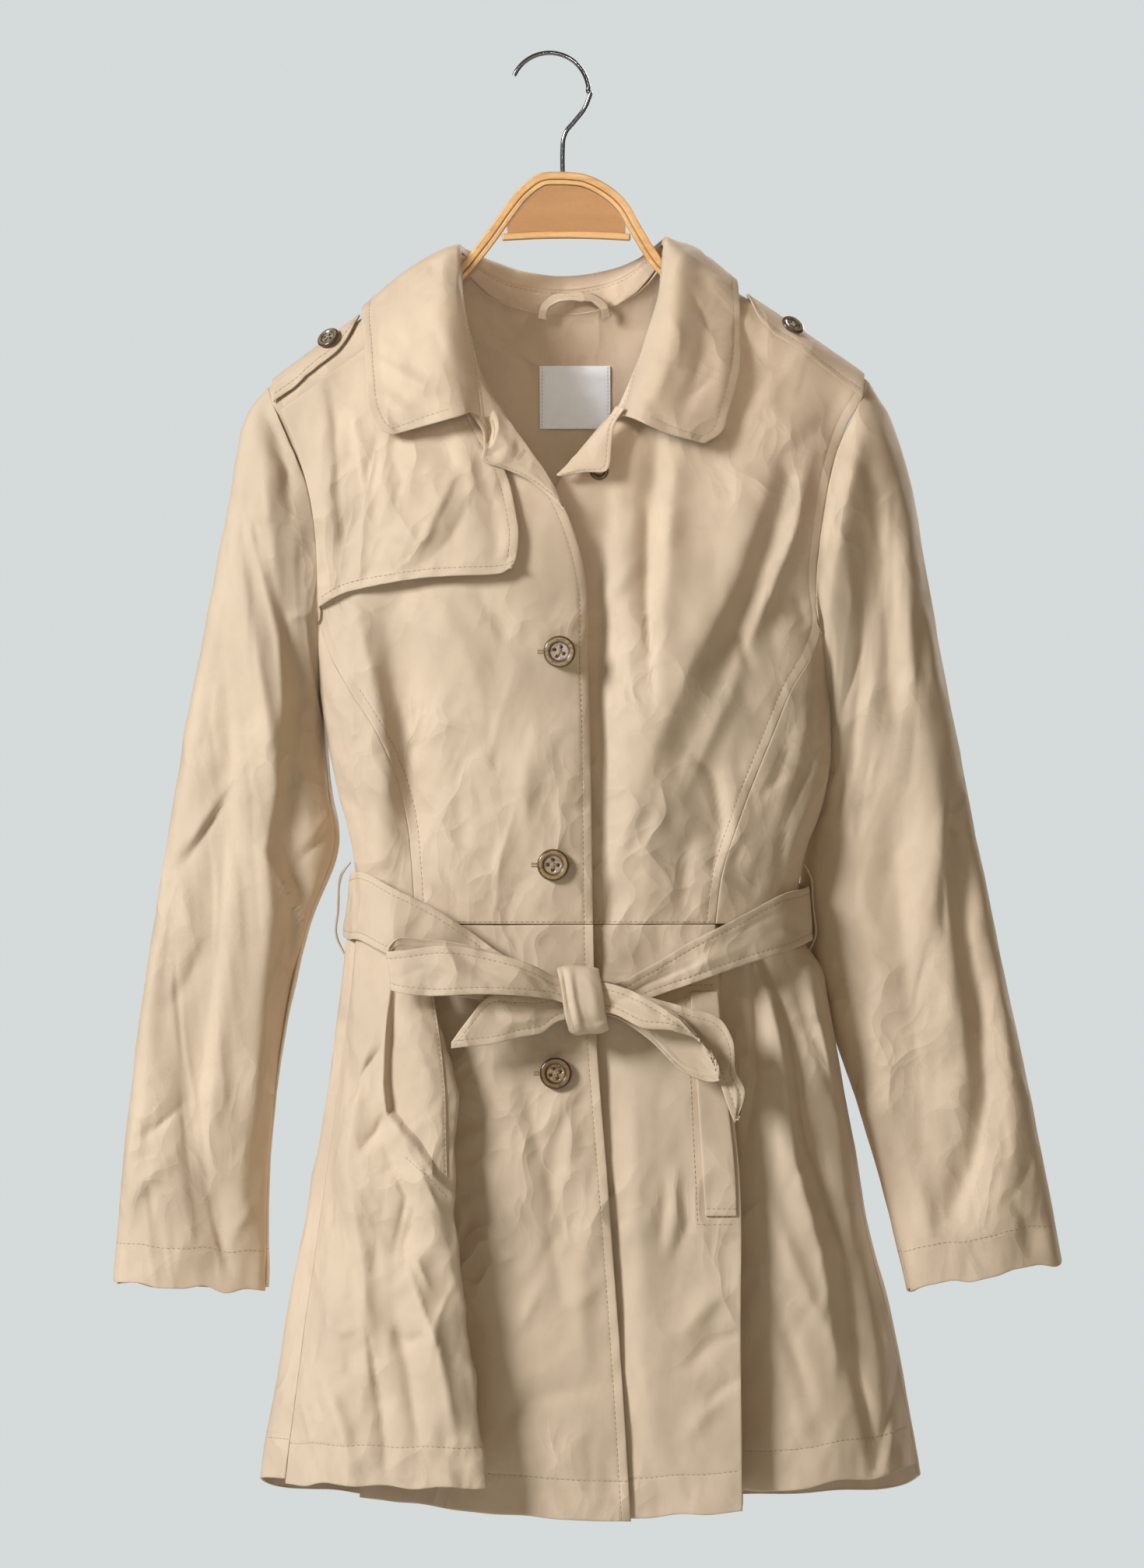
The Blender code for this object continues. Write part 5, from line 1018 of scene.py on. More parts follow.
TUCK_RIGHT = [(5, 6), (9, 13), (11, 15), (7, 12), (0, 6), (0, 0), (0, 0), (0, 0), (0, 0)]
TUCK_LEFT = [(-4, 6), (-8, 12), (-10, 14), (-11, 15), (-12, 17), (-8, 13), (-3, 6), (0, 0), (0, 0)]
SLEEVE_RIGHT = sleeve_net(armhole(FRONT_RIGHT, 7, SIDE_RIGHT, BACK, 6), SLEEVE_RIGHT_RINGS, TUCK_RIGHT,
                          -1.0)
SLEEVE_LEFT = sleeve_net(armhole(FRONT_LEFT, 7, SIDE_LEFT, BACK, 6), SLEEVE_LEFT_RINGS, TUCK_LEFT, 1.0)
SLEEVE_CREASES = [
    Crease(6.7, 6, 13, True, [(-198, -258), (-189, -296), (-179, -332), (-170, -366), (-166, -424)]),
    Crease(-4.3, 8, 7, False, [(-184, -288), (-170, -345), (-160, -392), (-154, -446)]),
    Crease(-1.9, 3, 3, True, [(-179, -226), (-172, -238), (-165, -252)]),
    Crease(2.0, 3, 3, True, [(-176, -218), (-167, -232), (-162, -246)]),
    Crease(-1.7, 2.5, 3, True, [(-172, -246), (-166, -258), (-163, -272)]),
    Crease(1.9, 2.5, 3, True, [(-165, -356), (-156, -353), (-147, -353)]),
    # the right arm: a valley and a ridge down its front, and what the elbow has creased
    Crease(7.2, 9, 9, False, [(-196, -300), (-170, -460)]),
    Crease(5.8, 12, 12, False, [(-200, -470), (-215, -700)]),
    Crease(-4.3, 10, 10, False, [(-235, -470), (-245, -640)]),
    Crease(-6.7, 16, 8, False, [(-206, -380), (-201, -438), (-205, -505), (-208, -560), (-216, -612),
                                (-221, -657), (-214, -715), (-206, -757)]),
    Crease(6.4, 14, 6, False, [(-166, -372), (-170, -452), (-179, -502), (-175, -540), (-180, -592),
                               (-184, -643), (-190, -694), (-196, -738)]),
    Crease(-4.3, 4, 9, False, [(-164, -455), (-160, -520), (-166, -590), (-172, -660)]),
    Crease(-3.8, 2.6, 4, True, [(-199, -461), (-213, -484), (-226, -503), (-236, -515)]),
    Crease(2.3, 5, 5, False, [(-206, -466), (-222, -490), (-240, -506)]),
    Crease(-2.2, 5, 7, False, [(-217, -560), (-226, -580), (-236, -596)]),
    Crease(3.5, 6, 12, False, [(-242, -480), (-246, -555), (-253, -612), (-251, -668)]),
    Crease(-2.8, 3, 5, True, [(-260, -684), (-246, -674), (-230, -660)]),
    Crease(2.3, 6, 6, False, [(-268, -724), (-250, -704), (-234, -687)]),
    Crease(4.2, 5, 4, True, [(-180, -500), (-166, -523), (-154, -547), (-161, -568)]),
    Crease(-2.8, 3, 4, True, [(-171, -484), (-163, -514), (-152, -530)]),
    Crease(3.2, 4, 6, True, [(-142, -452), (-135, -473), (-152, -498)]),
    Crease(-2.9, 3, 4, True, [(-136, -478), (-144, -492), (-158, -508)]),
    Crease(-2.6, 3, 3, True, [(-209, -738), (-205, -752), (-201, -766)]),
    Crease(2.3, 3, 3, True, [(-197, -738), (-190, -730), (-186, -718)]),
    Crease(-2.9, 4, 6, False, [(-176, -236), (-166, -262), (-160, -300)]),
    Crease(3.2, 5, 6, False, [(-182, -250), (-176, -290), (-170, -340)]),
    Crease(-3.5, 6, 8, False, [(-192, -262), (-188, -330), (-184, -384)]),
    Crease(2.2, 4, 4, True, [(-168, -240), (-160, -250), (-156, -266)]),
    # the left arm
    Crease(-7.2, 12, 12, False, [(205, -260), (215, -420)]),
    Crease(7.2, 12, 12, False, [(240, -430), (268, -690)]),
    Crease(-5.8, 12, 12, False, [(215, -480), (240, -720)]),
    Crease(6.1, 8, 12, False, [(201, -222), (189, -271), (178, -326), (176, -366)]),
    Crease(-4.6, 9, 10, False, [(200, -240), (197, -365), (189, -470)]),
    Crease(3.2, 10, 12, False, [(232, -440), (236, -514), (232, -568), (227, -620), (236, -668)]),
    Crease(-8.7, 11, 8, False, [(258, -440), (260, -549), (268, -596), (273, -655), (268, -690),
                                (249, -733)]),
    Crease(3.8, 6, 10, False, [(282, -560), (289, -630), (292, -690), (280, -732)]),
    Crease(-2.6, 3, 4, True, [(246.5, -514), (247, -536), (248.5, -556)]),
    Crease(-2.5, 3, 5, True, [(238, -560), (234, -578), (230, -598)]),
    Crease(-2.3, 4, 4, True, [(306, -684), (299, -702), (291, -719)]),
    Crease(2.5, 5, 5, False, [(222, -700), (236, -722), (240, -748)]),
    Crease(2.6, 6, 8, False, [(222, -300), (226, -360), (232, -420)]),
    Crease(-2.3, 4, 4, True, [(196, -372), (190, -396), (184, -412)]),
    Crease(2.3, 4, 5, True, [(186, -436), (178, -462), (176, -486)]),
    Crease(-2.2, 5, 6, False, [(292, -720), (300, -738), (304, -756)]),
]
SLEEVE_BACK_CREASES = [
    Crease(5.2, 13, 9, False, [(-190, -300), (-200, -420), (-222, -560)]),
    Crease(-4.8, 10, 14, False, [(-170, -400), (-182, -520), (-196, -640)]),
    Crease(-3.3, 3, 5, True, [(-214, -470), (-196, -494), (-172, -506)]),
    Crease(3.0, 5, 4, True, [(-240, -500), (-220, -520), (-190, -532)]),
    Crease(3.9, 9, 12, False, [(-246, -560), (-240, -650), (-236, -730)]),
    Crease(-2.4, 4, 4, True, [(-262, -690), (-240, -704), (-220, -708)]),
    Crease(-5.1, 11, 14, False, [(212, -290), (222, -420), (240, -560)]),
    Crease(5.4, 12, 10, False, [(198, -360), (206, -480), (226, -640)]),
    Crease(-3.4, 4, 3, True, [(252, -480), (232, -500), (206, -508)]),
    Crease(3.2, 4, 5, True, [(268, -520), (244, -538), (212, -548)]),
    Crease(4.2, 13, 9, False, [(276, -560), (284, -650), (292, -740)]),
    Crease(-2.5, 4, 4, True, [(296, -680), (270, -702), (250, -706)]),
]


def set_in(side, net, seed, lean):
    """Lay, press and hem one sleeve's two pieces."""
    for part, first, last, creases, facing, size in (
        ("upper", BACK_SEAM - 1, FRONT_SEAM, SLEEVE_CREASES, -1.0, 2.9),
        ("under", FRONT_SEAM, BACK_SEAM, SLEEVE_BACK_CREASES, 1.0, 4.2),
    ):
        cut = Cut(net, size, u=(round_share(net, first), round_share(net, last)), bottom=CUFF_HEM)
        cut.press(creases, facing).crumple(1.3, 28, 60, seed, lean, free=("bottom",))
        cut.crumple(0.6, 12, 26, seed + 4, -lean, 0.6, ("bottom",)).sew_down(0.6, seed).sway(2.6, 14, seed)
        piece = wall(f"sleeve_{side}_{part}_cloth", cut)
        hem = stitched(f"sleeve_{side}_{part}_hem_stitches", [cut.line("bottom")])
        hang(piece, f"sleeve_{side}_{part}")


set_in("right", SLEEVE_RIGHT, 51, 18)
set_in("left", SLEEVE_LEFT, 57, -18)

# ---------------------------------------------------------------- skirt
# A wide A-shaped skirt in five panels, joined to the bodice at the waist. On the right the side
# is folded forward in a deep pleat; the hem is turned up 25 mm and stitched.
SEAM_GAP = 0.3
Skirt = namedtuple("Skirt", "z x_edge y_edge x_end y_end z_end push")
SKIRT_FRONT_RIGHT_ROWS = [
    Skirt(WAIST_Z - SEAM_GAP, 27.5, -47, -84, -36, WAIST_Z - SEAM_GAP, 4),
    Skirt(-606, 29, -48, -87, -36, -603, 4),
    Skirt(-704, 36.3, -50, -96, -34, -700, 5),
    Skirt(-802, 43.6, -52, -107, -32, -796, 6),
    Skirt(-918, 51, -55, -119, -30, -904, 8),
]
SKIRT_FRONT_LEFT_ROWS = [
    Skirt(WAIST_Z - SEAM_GAP, -7, -37, 104, -39, WAIST_Z - SEAM_GAP, 4),
    Skirt(-606, -4, -38, 107.5, -44, -604, 4),
    Skirt(-704, 4, -40, 119, -50, -704, 4),
    Skirt(-802, 12, -42, 119.5, -54, -800, 3),
    Skirt(-917, 22, -45, 120.5, -58, -911, 3),
]
Pleat = namedtuple("Pleat", "z x_under y_under x_return y_return x_crest y_crest x_face y_face "
                            "x_seam y_seam")
SKIRT_SIDE_RIGHT_ROWS = [
    Pleat(WAIST_Z - SEAM_GAP, -86, -39, -85, -43, -88, -47, -104, -42, -121, -14),
    Pleat(-590, -88, -40, -80, -45, -76.5, -52, -103, -48, -125, -16),
    Pleat(-641, -92, -40, -74, -48, -60, -58, -102, -54, -132, -18),
    Pleat(-709, -98, -40, -76, -52, -59, -65, -104, -60, -141, -20),
    Pleat(-801, -108, -40, -78, -54, -50, -71, -106, -66, -154, -22),
    Pleat(-895, -120, -40, -80, -57, -37.5, -76, -108, -71, -166, -24),
]
Hollow = namedtuple("Hollow", "z x_edge y_edge x_deep y_deep x_rise y_rise x_ridge y_ridge x_seam y_seam")
SKIRT_SIDE_LEFT_ROWS = [
    Hollow(WAIST_Z - SEAM_GAP, 105, -38, 108, -33, 118, -31, 134, -27, 157, -5),
    Hollow(-590, 107, -41, 107, -32, 120, -30, 142, -28, 165, -5),
    Hollow(-641, 112.5, -45, 106, -30, 126, -32, 150, -29, 174, -4),
    Hollow(-709, 119, -49, 106, -28, 132, -34, 164, -31, 191, -3),
    Hollow(-801, 119.5, -53, 104, -26, 138, -36, 178, -33, 214.5, -2),
    Hollow(-890, 120.5, -56, 102, -24, 144, -40, 192, -36, 231, 0),
]
SkirtBack = namedtuple("SkirtBack", "z x_seam_right y_seam_right x_side_right x_side_left "
                                    "x_seam_left y_seam_left y_centre z_centre")
BACK_SIDE_Y = (-2.0, 4.0)      # how far back the skirt's right and left sides lie
SKIRT_BACK_ROWS = [
    SkirtBack(WAIST_Z - SEAM_GAP, -121, -14, -126, 158, 157, -5, 32, WAIST_Z - SEAM_GAP),
    SkirtBack(-590, -125, -16, -131, 166, 165, -5, 35, -590),
    SkirtBack(-641, -132, -18, -138, 175.5, 174, -4, 37, -641),
    SkirtBack(-709, -141, -20, -149, 193, 191, -3, 39, -712),
    SkirtBack(-801, -154, -22, -166, 217, 214.5, -2, 41, -806),
    SkirtBack(-894, -166, -24, -183.5, 234, 231, 0, 43, -911),
]
BACK_WAVES = 4          # soft flutes in the flare
BACK_WAVE_DEPTH = 6.0
HEM = 25.0


def skirt_front_net(rows, facing=1.0):
    made = []
    for row in rows:
        start = np.array([row.x_edge, row.y_edge, row.z])
        end = np.array([row.x_end, row.y_end, row.z_end])
        dip = 4 * (row.z_end - row.z) / 18
        stations = []
        for u in ACROSS_FRONT:
            swell = 4 * u * (1 - u)
            stations.append(start + (end - start) * u + [0, -row.push * swell, -dip * swell])
        made.append(stations)
    return Net(made, facing)


def pleat_net(rows):
    made = []
    for row in rows:
        stations = [
            (row.x_under, row.y_under, row.z),
            (row.x_return, row.y_return, row.z),
            (row.x_crest - 4, row.y_crest + 4.5, row.z),
            (row.x_crest, row.y_crest, row.z),
            (row.x_crest - 6, row.y_crest - 4, row.z),
            (row.x_face, row.y_face, row.z),
            ((row.x_face + row.x_seam) / 2 - 5, (row.y_face + row.y_seam) / 2 - 7, row.z),
            (row.x_seam, row.y_seam, row.z),
        ]
        made.append(stations)
    return Net(made)


def hollow_net(rows):
    made = []
    for row in rows:
        last = row is rows[-1]
        stations = [
            (row.x_edge + 0.6, row.y_edge + 3, row.z - 18 * last),
            (row.x_edge - 2.5, row.y_edge + 8, row.z - 17 * last),
            (row.x_deep, row.y_deep, row.z - 14 * last),
            (row.x_rise, row.y_rise, row.z - 10 * last),
            (row.x_ridge, row.y_ridge, row.z - 4 * last),
            ((row.x_ridge + row.x_seam) / 2 + 5, (row.y_ridge + row.y_seam) / 2 - 5, row.z),
            (row.x_seam, row.y_seam, row.z + 3 * last),
        ]
        made.append(stations)
    return Net(made, -1.0)


def skirt_back_net(rows):
    made = []
    for k, row in enumerate(rows):
        flare = k / (len(rows) - 1)
        middle = (row.x_side_right + row.x_side_left) / 2
        half = (row.x_side_left - row.x_side_right) / 2
        stations = [(row.x_seam_right, row.y_seam_right, row.z)]
        for angle in np.radians(np.linspace(-90, 90, 13)):
            wide, deep = math.sin(angle), math.cos(angle) ** 0.8
            x = middle + half * wide
            y = row.y_centre * deep + BACK_SIDE_Y[wide > 0] * (1 - deep)
            y += flare * BACK_WAVE_DEPTH * math.cos(BACK_WAVES * math.pi * wide) * deep
            z = row.z + (row.z_centre - row.z) * deep
            stations.append((x, y, z))
        stations.append((row.x_seam_left, row.y_seam_left, row.z))
        made.append(stations)
    return Net(made)


SKIRT_FRONT_RIGHT = skirt_front_net(SKIRT_FRONT_RIGHT_ROWS)
SKIRT_FRONT_LEFT = skirt_front_net(SKIRT_FRONT_LEFT_ROWS, -1.0)
SKIRT_SIDE_RIGHT = pleat_net(SKIRT_SIDE_RIGHT_ROWS)
SKIRT_SIDE_LEFT = hollow_net(SKIRT_SIDE_LEFT_ROWS)
SKIRT_BACK = skirt_back_net(SKIRT_BACK_ROWS)
SKIRT_CREASES = [
    # the right front
    Crease(-2.3, 5, 8, False, [(-20, -632), (-8, -679), (1, -708), (7, -732), (15, -750)]),
    Crease(1.9, 5, 5, False, [(16, -648), (4, -664), (-8, -680)]),
    Crease(-2.3, 6, 8, False, [(-30, -855), (-9, -842), (31, -833)]),
    Crease(1.6, 4, 5, False, [(-20, -800), (-13, -788), (-4, -770)]),
    Crease(1.9, 5, 6, False, [(14, -786), (22, -778), (30, -770)]),
    Crease(2.5, 10, 14, False, [(-40, -650), (-36, -760), (-40, -880)]),
    Crease(-1.6, 5, 6, False, [(4, -690), (0, -730), (10, -790)]),
    Crease(1.9, 8, 8, False, [(36, -700), (20, -760), (24, -830)]),
    # the left front, beside its pocket and below it
    Crease(-2.9, 3.5, 5, True, [(74, -708), (71, -726), (69.5, -744)]),
    Crease(-2.3, 4, 4, False, [(82, -705), (86, -732), (78, -756)]),
    Crease(2.6, 4, 5, False, [(79, -700), (78, -726), (75, -750)]),
    Crease(3.1, 6, 9, False, [(78, -805), (98, -783), (117, -771)]),
    Crease(-2.8, 5, 7, False, [(84, -822), (100, -808), (117, -800)]),
    Crease(-2.5, 4, 6, True, [(97, -847), (106, -837), (119, -829)]),
    Crease(2.5, 5, 7, False, [(88, -864), (97, -850), (108, -842)]),
    Crease(4.7, 14, 16, False, [(54, -600), (56, -740), (64, -890)]),
    Crease(-2.2, 5, 4, True, [(112, -756), (110, -770), (116, -784)]),
    # the right side: the crushed face of the pleat
    Crease(5.2, 5, 4, True, [(-96, -673), (-81, -697), (-68, -724)]),
    Crease(-5.2, 4, 6, True, [(-103, -664), (-108, -676), (-118, -688)]),
    Crease(-4.8, 4, 4, True, [(-104, -682), (-89, -716), (-97, -752)]),
    Crease(-4.3, 3.5, 4, True, [(-84, -722), (-91, -748), (-88, -760)]),
    Crease(3.9, 4, 4, True, [(-98, -755), (-83, -753), (-74, -772)]),
    Crease(6.6, 6, 5, True, [(-90, -752), (-79, -784), (-68, -810), (-58, -866)]),
    Crease(-4.8, 5, 5, False, [(-98, -780), (-88, -824), (-80, -874)]),
    Crease(-4.8, 4, 5, True, [(-115, -790), (-104, -850), (-101, -890)]),
    Crease(4.8, 5, 6, False, [(-126, -700), (-116, -760), (-112, -830)]),
    Crease(-4.3, 3, 5, True, [(-103, -622), (-112, -632), (-125, -652)]),
    Crease(3.9, 4, 6, False, [(-106, -604), (-118, -640), (-128, -700)]),
    Crease(-4.3, 4, 3, True, [(-133, -715), (-129, -735), (-126, -752)]),
    Crease(3.5, 4, 4, True, [(-142, -790), (-130, -800), (-118, -796)]),
    Crease(-3.5, 4, 4, True, [(-76, -800), (-88, -806), (-100, -798)]),
    Crease(3.2, 3.5, 4, True, [(-60, -770), (-70, -792), (-74, -820)]),
    Crease(4.3, 6, 5, False, [(-140, -830), (-128, -862), (-124, -892)]),
    # the left side: grooves fan out from under the belt
    Crease(-4.7, 3.5, 7, True, [(127, -560), (129, -609), (129, -641), (123, -684)]),
    Crease(-7.8, 4, 9, True, [(131, -560), (143.6, -588), (150, -609), (155, -635), (161, -680),
                              (184, -751), (193, -821), (201, -876)]),
    Crease(6.2, 9, 4, False, [(126, -568), (137, -592), (143, -615), (148, -640), (153, -690), (170, -752),
                              (180, -820)]),
    Crease(-4.7, 4, 6, True, [(148, -562), (158.4, -593), (165, -614), (173, -637), (183, -664)]),
    Crease(4.0, 5, 5, False, [(156, -566), (168, -604), (182, -646), (190, -690)]),
    Crease(-3.7, 4, 6, True, [(188, -818), (205, -872), (202, -893)]),
    Crease(-4.0, 4, 5, True, [(220, -822), (214, -848), (207, -872)]),
    Crease(3.1, 7, 6, False, [(139, -724), (165, -784), (187, -818)]),
    Crease(-2.5, 6, 6, False, [(138, -780), (156, -820), (170, -870)]),
    Crease(2.6, 7, 7, False, [(200, -740), (212, -790), (220, -830)]),
]
POCKET_MOUTH = [    # the right pocket gapes, its outer edge standing off the leaf
    Crease(8.5, 15, 2.2, True, [(-96, -566), (-99.5, -586), (-101.5, -604), (-103, -623), (-103.5, -646),
                                (-101.5, -664), (-94.5, -672), (-83, -684), (-73, -699), (-60, -713)]),
]
SKIRT_BACK_CREASES = [
    Crease(-6.0, 9, 12, False, [(-86, -556), (-96, -680), (-112, -850)]),
    Crease(6.0, 13, 10, False, [(-46, -556), (-52, -700), (-58, -900)]),
    Crease(-5.4, 11, 9, False, [(8, -556), (10, -720), (18, -905)]),
    Crease(5.4, 9, 14, False, [(62, -556), (76, -700), (88, -890)]),
    Crease(-6.3, 12, 9, False, [(118, -556), (136, -690), (164, -870)]),
    Crease(-3.0, 4, 6, True, [(-130, -600), (-104, -640), (-92, -690)]),
    Crease(2.7, 5, 4, True, [(30, -620), (48, -668), (50, -720)]),
    Crease(-2.5, 4, 6, True, [(-30, -760), (-8, -800), (2, -860)]),
    Crease(2.8, 6, 4, True, [(150, -720), (128, -768), (120, -820)]),
    Crease(2.4, 5, 5, True, [(-146, -800), (-118, -826), (-84, -838)]),
]


def fuller(points):
    """The left side swells out where it comes from under the belt."""
    x, z = points[..., 0], points[..., 2]
    below = np.clip((-z - 556) / 22, 0, 1)
    spent = np.clip((-z - 630) / 130, 0, 1)
    out = 9.0 * below**2 * (3 - 2 * below) * (1 - spent**2 * (3 - 2 * spent))
    out = out * np.clip((x - 128) / 30, 0, 1)
    return points + np.stack([out, 0 * out, 0 * out], axis=-1)


def skin(*cuts):
    """The outer faces of finished cloth, to lay other pieces and stitches on."""
    corners, faces = [], []
    for cut in cuts:
        rows, columns = cut.points.shape[:2]
        first = len(corners)
        corners += [tuple(p) for p in cut.points.reshape(-1, 3)]
        for r in range(rows - 1):
            for c in range(columns - 1):
                a = first + r * columns + c
                faces.append((a, a + 1, a + columns + 1, a + columns))
    return BVHTree.FromPolygons(corners, faces)


skirt_front_right_cut = Cut(SKIRT_FRONT_RIGHT, 2.8, first=6.0, bottom=HEM)
skirt_front_right_cut.press(SKIRT_CREASES).crumple(1.0, 26, 60, 61, 16, free=("first", "bottom"))
skirt_front_right_cut.crumple(0.55, 12, 24, 62, -20, 0.5, ("first", "bottom"))
skirt_front_right_cut.sew_down(0.4, 61).sway(1.2, 22, 61)
skirt_front_left_cut = Cut(SKIRT_FRONT_LEFT, 2.8, bottom=HEM)
skirt_front_left_cut.press(SKIRT_CREASES).crumple(1.0, 24, 70, 63, -12, free=("first", "bottom"))
skirt_front_left_cut.crumple(0.5, 12, 26, 64, 22, 0.5, ("first", "bottom"))
skirt_front_left_cut.sew_down(0.4, 63).sway(1.2, 20, 63)
skirt_side_right_cut = Cut(SKIRT_SIDE_RIGHT, 2.4, bottom=HEM)
skirt_side_right_cut.press(SKIRT_CREASES).crumple(1.5, 22, 34, 65, 22, 0.3, ("bottom",))
skirt_side_right_cut.crumple(0.9, 11, 17, 66, -28, 0.7, ("bottom",))
pleat_behind_mouth = skin(skirt_side_right_cut)
skirt_side_right_cut.press(POCKET_MOUTH).sew_down(0.5, 65).sway(2.4, 20, 65)
skirt_side_left_cut = Cut(SKIRT_SIDE_LEFT, 2.7, bottom=HEM)
skirt_side_left_cut.points = fuller(skirt_side_left_cut.points)
skirt_side_left_cut.press(SKIRT_CREASES).crumple(1.0, 24, 60, 67, -12, free=("bottom",))
skirt_side_left_cut.crumple(0.5, 12, 26, 68, 20, 0.6, ("bottom",)).sew_down(0.5, 67).sway(2.0, 24, 67)
skirt_back_cut = Cut(SKIRT_BACK, 4.8, bottom=HEM)
skirt_back_cut.points = fuller(skirt_back_cut.points)
skirt_back_cut.press(SKIRT_BACK_CREASES, 1.0).crumple(1.9, 44, 90, 69, 10, free=("bottom",))
skirt_back_cut.crumple(0.8, 17, 36, 70, -20, 0.6, ("bottom",)).sew_down(0.5, 69).sway(2.0, 30, 69)
SKIRT_PIECES = {
    "skirt_front_right": (skirt_front_right_cut, (0.174, 0.373, 0.0527), ("first", "bottom")),
    "skirt_front_left": (skirt_front_left_cut, (0.116, 0.372, 0.0416), ("bottom",)),
    "skirt_side_right": (skirt_side_right_cut, (0.242, 0.357, 0.0582), ("bottom",)),
    "skirt_side_left": (skirt_side_left_cut, (0.188, 0.363, 0.0481), ("bottom",)),
    "skirt_back": (skirt_back_cut, (0.491, 0.367, 0.1507), ("bottom",)),
}
for node, (cut, flat, edges) in SKIRT_PIECES.items():
    piece = wall(f"{node}_cloth", cut)
    sewing = stitched(f"{node}_stitches", [cut.line(edge) for edge in edges])
    hang(piece, node)

# ---------------------------------------------------------------- pocket welts
# Each slanting pocket has a stiffened leaf of doubled cloth in the seam, edge-stitched, with the
# pocket's frame stitched through to the bag behind. The left one's foot is sewn with two rows.


def find_on(net, xs, zs, u_low=0.0, u_high=1.0):
    """The u and v of places in the front view, between two u's."""
    xs, zs = np.broadcast_arrays(np.asarray(xs, float), np.asarray(zs, float))
    us, vs = np.linspace(u_low, u_high, 50), np.linspace(0, 1, 80)
    known = net.at(us[None, :], vs[:, None])[..., [0, 2]]
    aim = np.stack([xs.ravel(), zs.ravel()], axis=-1)
    far = ((known[None] - aim[:, None, None]) ** 2).sum(-1).reshape(len(aim), -1)
    best = far.argmin(axis=1)
    u, v = us[best % len(us)], vs[best // len(us)]
    for _ in range(8):
        e = 1e-4
        here = net.at(u, v)[:, [0, 2]]
        du = (net.at(np.clip(u + e, 0, 1), v) - net.at(np.clip(u - e, 0, 1), v))[:, [0, 2]] / (2 * e)
        dv = (net.at(u, np.clip(v + e, 0, 1)) - net.at(u, np.clip(v - e, 0, 1)))[:, [0, 2]] / (2 * e)
        miss = aim - here
        det = du[:, 0] * dv[:, 1] - du[:, 1] * dv[:, 0]
        det = np.where(np.abs(det) < 1e-6, 1e-6, det)
        u = u + 0.7 * np.clip((miss[:, 0] * dv[:, 1] - miss[:, 1] * dv[:, 0]) / det, -0.05, 0.05)
        v = v + 0.7 * np.clip((miss[:, 1] * du[:, 0] - miss[:, 0] * du[:, 1]) / det, -0.05, 0.05)
        u, v = np.clip(u, u_low, u_high), np.clip(v, 0, 1)
    return u.reshape(xs.shape), v.reshape(xs.shape)


def laid_on(net, xs, zs, out, u_low=0.0, u_high=1.0):
    """Places on a net under the given front view, moved out by a distance."""
    u, v = find_on(net, xs, zs, u_low, u_high)
    e = 1e-3
    un, vn = np.clip(u, e, 1 - e), np.clip(v, e, 1 - e)
    n = np.cross(net.at(un + e, vn) - net.at(un - e, vn), net.at(un, vn + e) - net.at(un, vn - e))
    n = n / np.linalg.norm(n, axis=-1, keepdims=True) * net.facing
    return net.at(u, v) + n * np.asarray(out, float)[..., None]


FAR_FRONT = -200.0      # well before anything on the coat


def met_from_front(under, x, z):
    """Where the cloth is met going straight back at x, z, and its normal there."""
    return under.ray_cast(Vector((x, FAR_FRONT, z)), Vector((0, 1, 0)))[:2]


def keep_clear(points, under, gap, reach=10.0):
    """Bring the points forward to stand at least a gap off the cloth behind them."""
    moved = points.copy()
    for place in moved.reshape(-1, 3):
        hit = met_from_front(under, place[0], place[2])[0]
        if hit is not None and place[1] > hit.y - gap and hit.y < reach:
            place[1] = hit.y - gap
    return moved


def traced(path, under, step=1.5):
    """A stitch line that follows a path in the front view over finished cloth."""
    dense = []
    for (x0, z0), (x1, z1) in zip(path, path[1:]):
        count = max(2, int(math.hypot(x1 - x0, z1 - z0) / step))
        dense += [(x0 + (x1 - x0) * k / count, z0 + (z1 - z0) * k / count) for k in range(count)]
    dense.append(path[-1])
    points, normals = [], []
    for x, z in dense:
        hit, normal = met_from_front(under, x, z)
        if hit is not None:
            points.append(tuple(hit))
            normals.append(tuple(normal if normal.y < 0 else -normal))
    return np.array(points), np.array(normals)


WELT_RIGHT = [(-95.5, -588, -72, -590), (-100, -625, -67, -622), (-100.5, -663, -64, -657),
              (-84, -685, -63.5, -684),
              (-66.5, -707, -63, -704)]
WELT_LEFT = [(88, -588, 105.5, -588), (90.5, -622, 108.5, -622), (93, -660, 112, -660),
             (95.5, -700, 116, -700),
             (97.5, -728, 117, -728)]
FRAME_LEFT = [[(84.5, -590), (88, -640), (92.5, -733), (100, -733.5), (116.5, -733)],
              [(97.5, -728.5), (106, -729), (117, -728.4)],
              [(88, -578.5), (96, -578), (105, -577.8)], [(86, -584.5), (95, -584), (105, -584)]]
FRAME_RIGHT = [[(-90, -690), (-76, -702), (-63, -716)]]


def welt(name, rows, facing, behind, gap, frame_lines, edges):
    """A leaf laid over the cloth behind it, each row running from its first edge to its last."""
    table = []
    for x_first, z_first, x_last, z_last in rows:
        row, hit = [], None
        for u in (0.5, 0.33, 0.0, 0.67, 1.0):
            x, z = x_first + (x_last - x_first) * u, z_first + (z_last - z_first) * u
            hit = met_from_front(behind, x, z)[0] or hit
            row.append((u, x, hit.y - gap, z))
        table.append([place[1:] for place in sorted(row)])
    cut = Cut(Net(table, facing), 2.0, **edges)
    cut.points = keep_clear(cut.points, behind, gap)
    cut.sew_down(0.12, 71)
    piece = wall(f"{name}_leaf", cut, 1.4)
    lines = [cut.line(edge) for edge in edges] + [traced(path, skirt_skin) for path in frame_lines]
    sewing = stitched(f"{name}_stitches", lines)
    hang(piece, name)


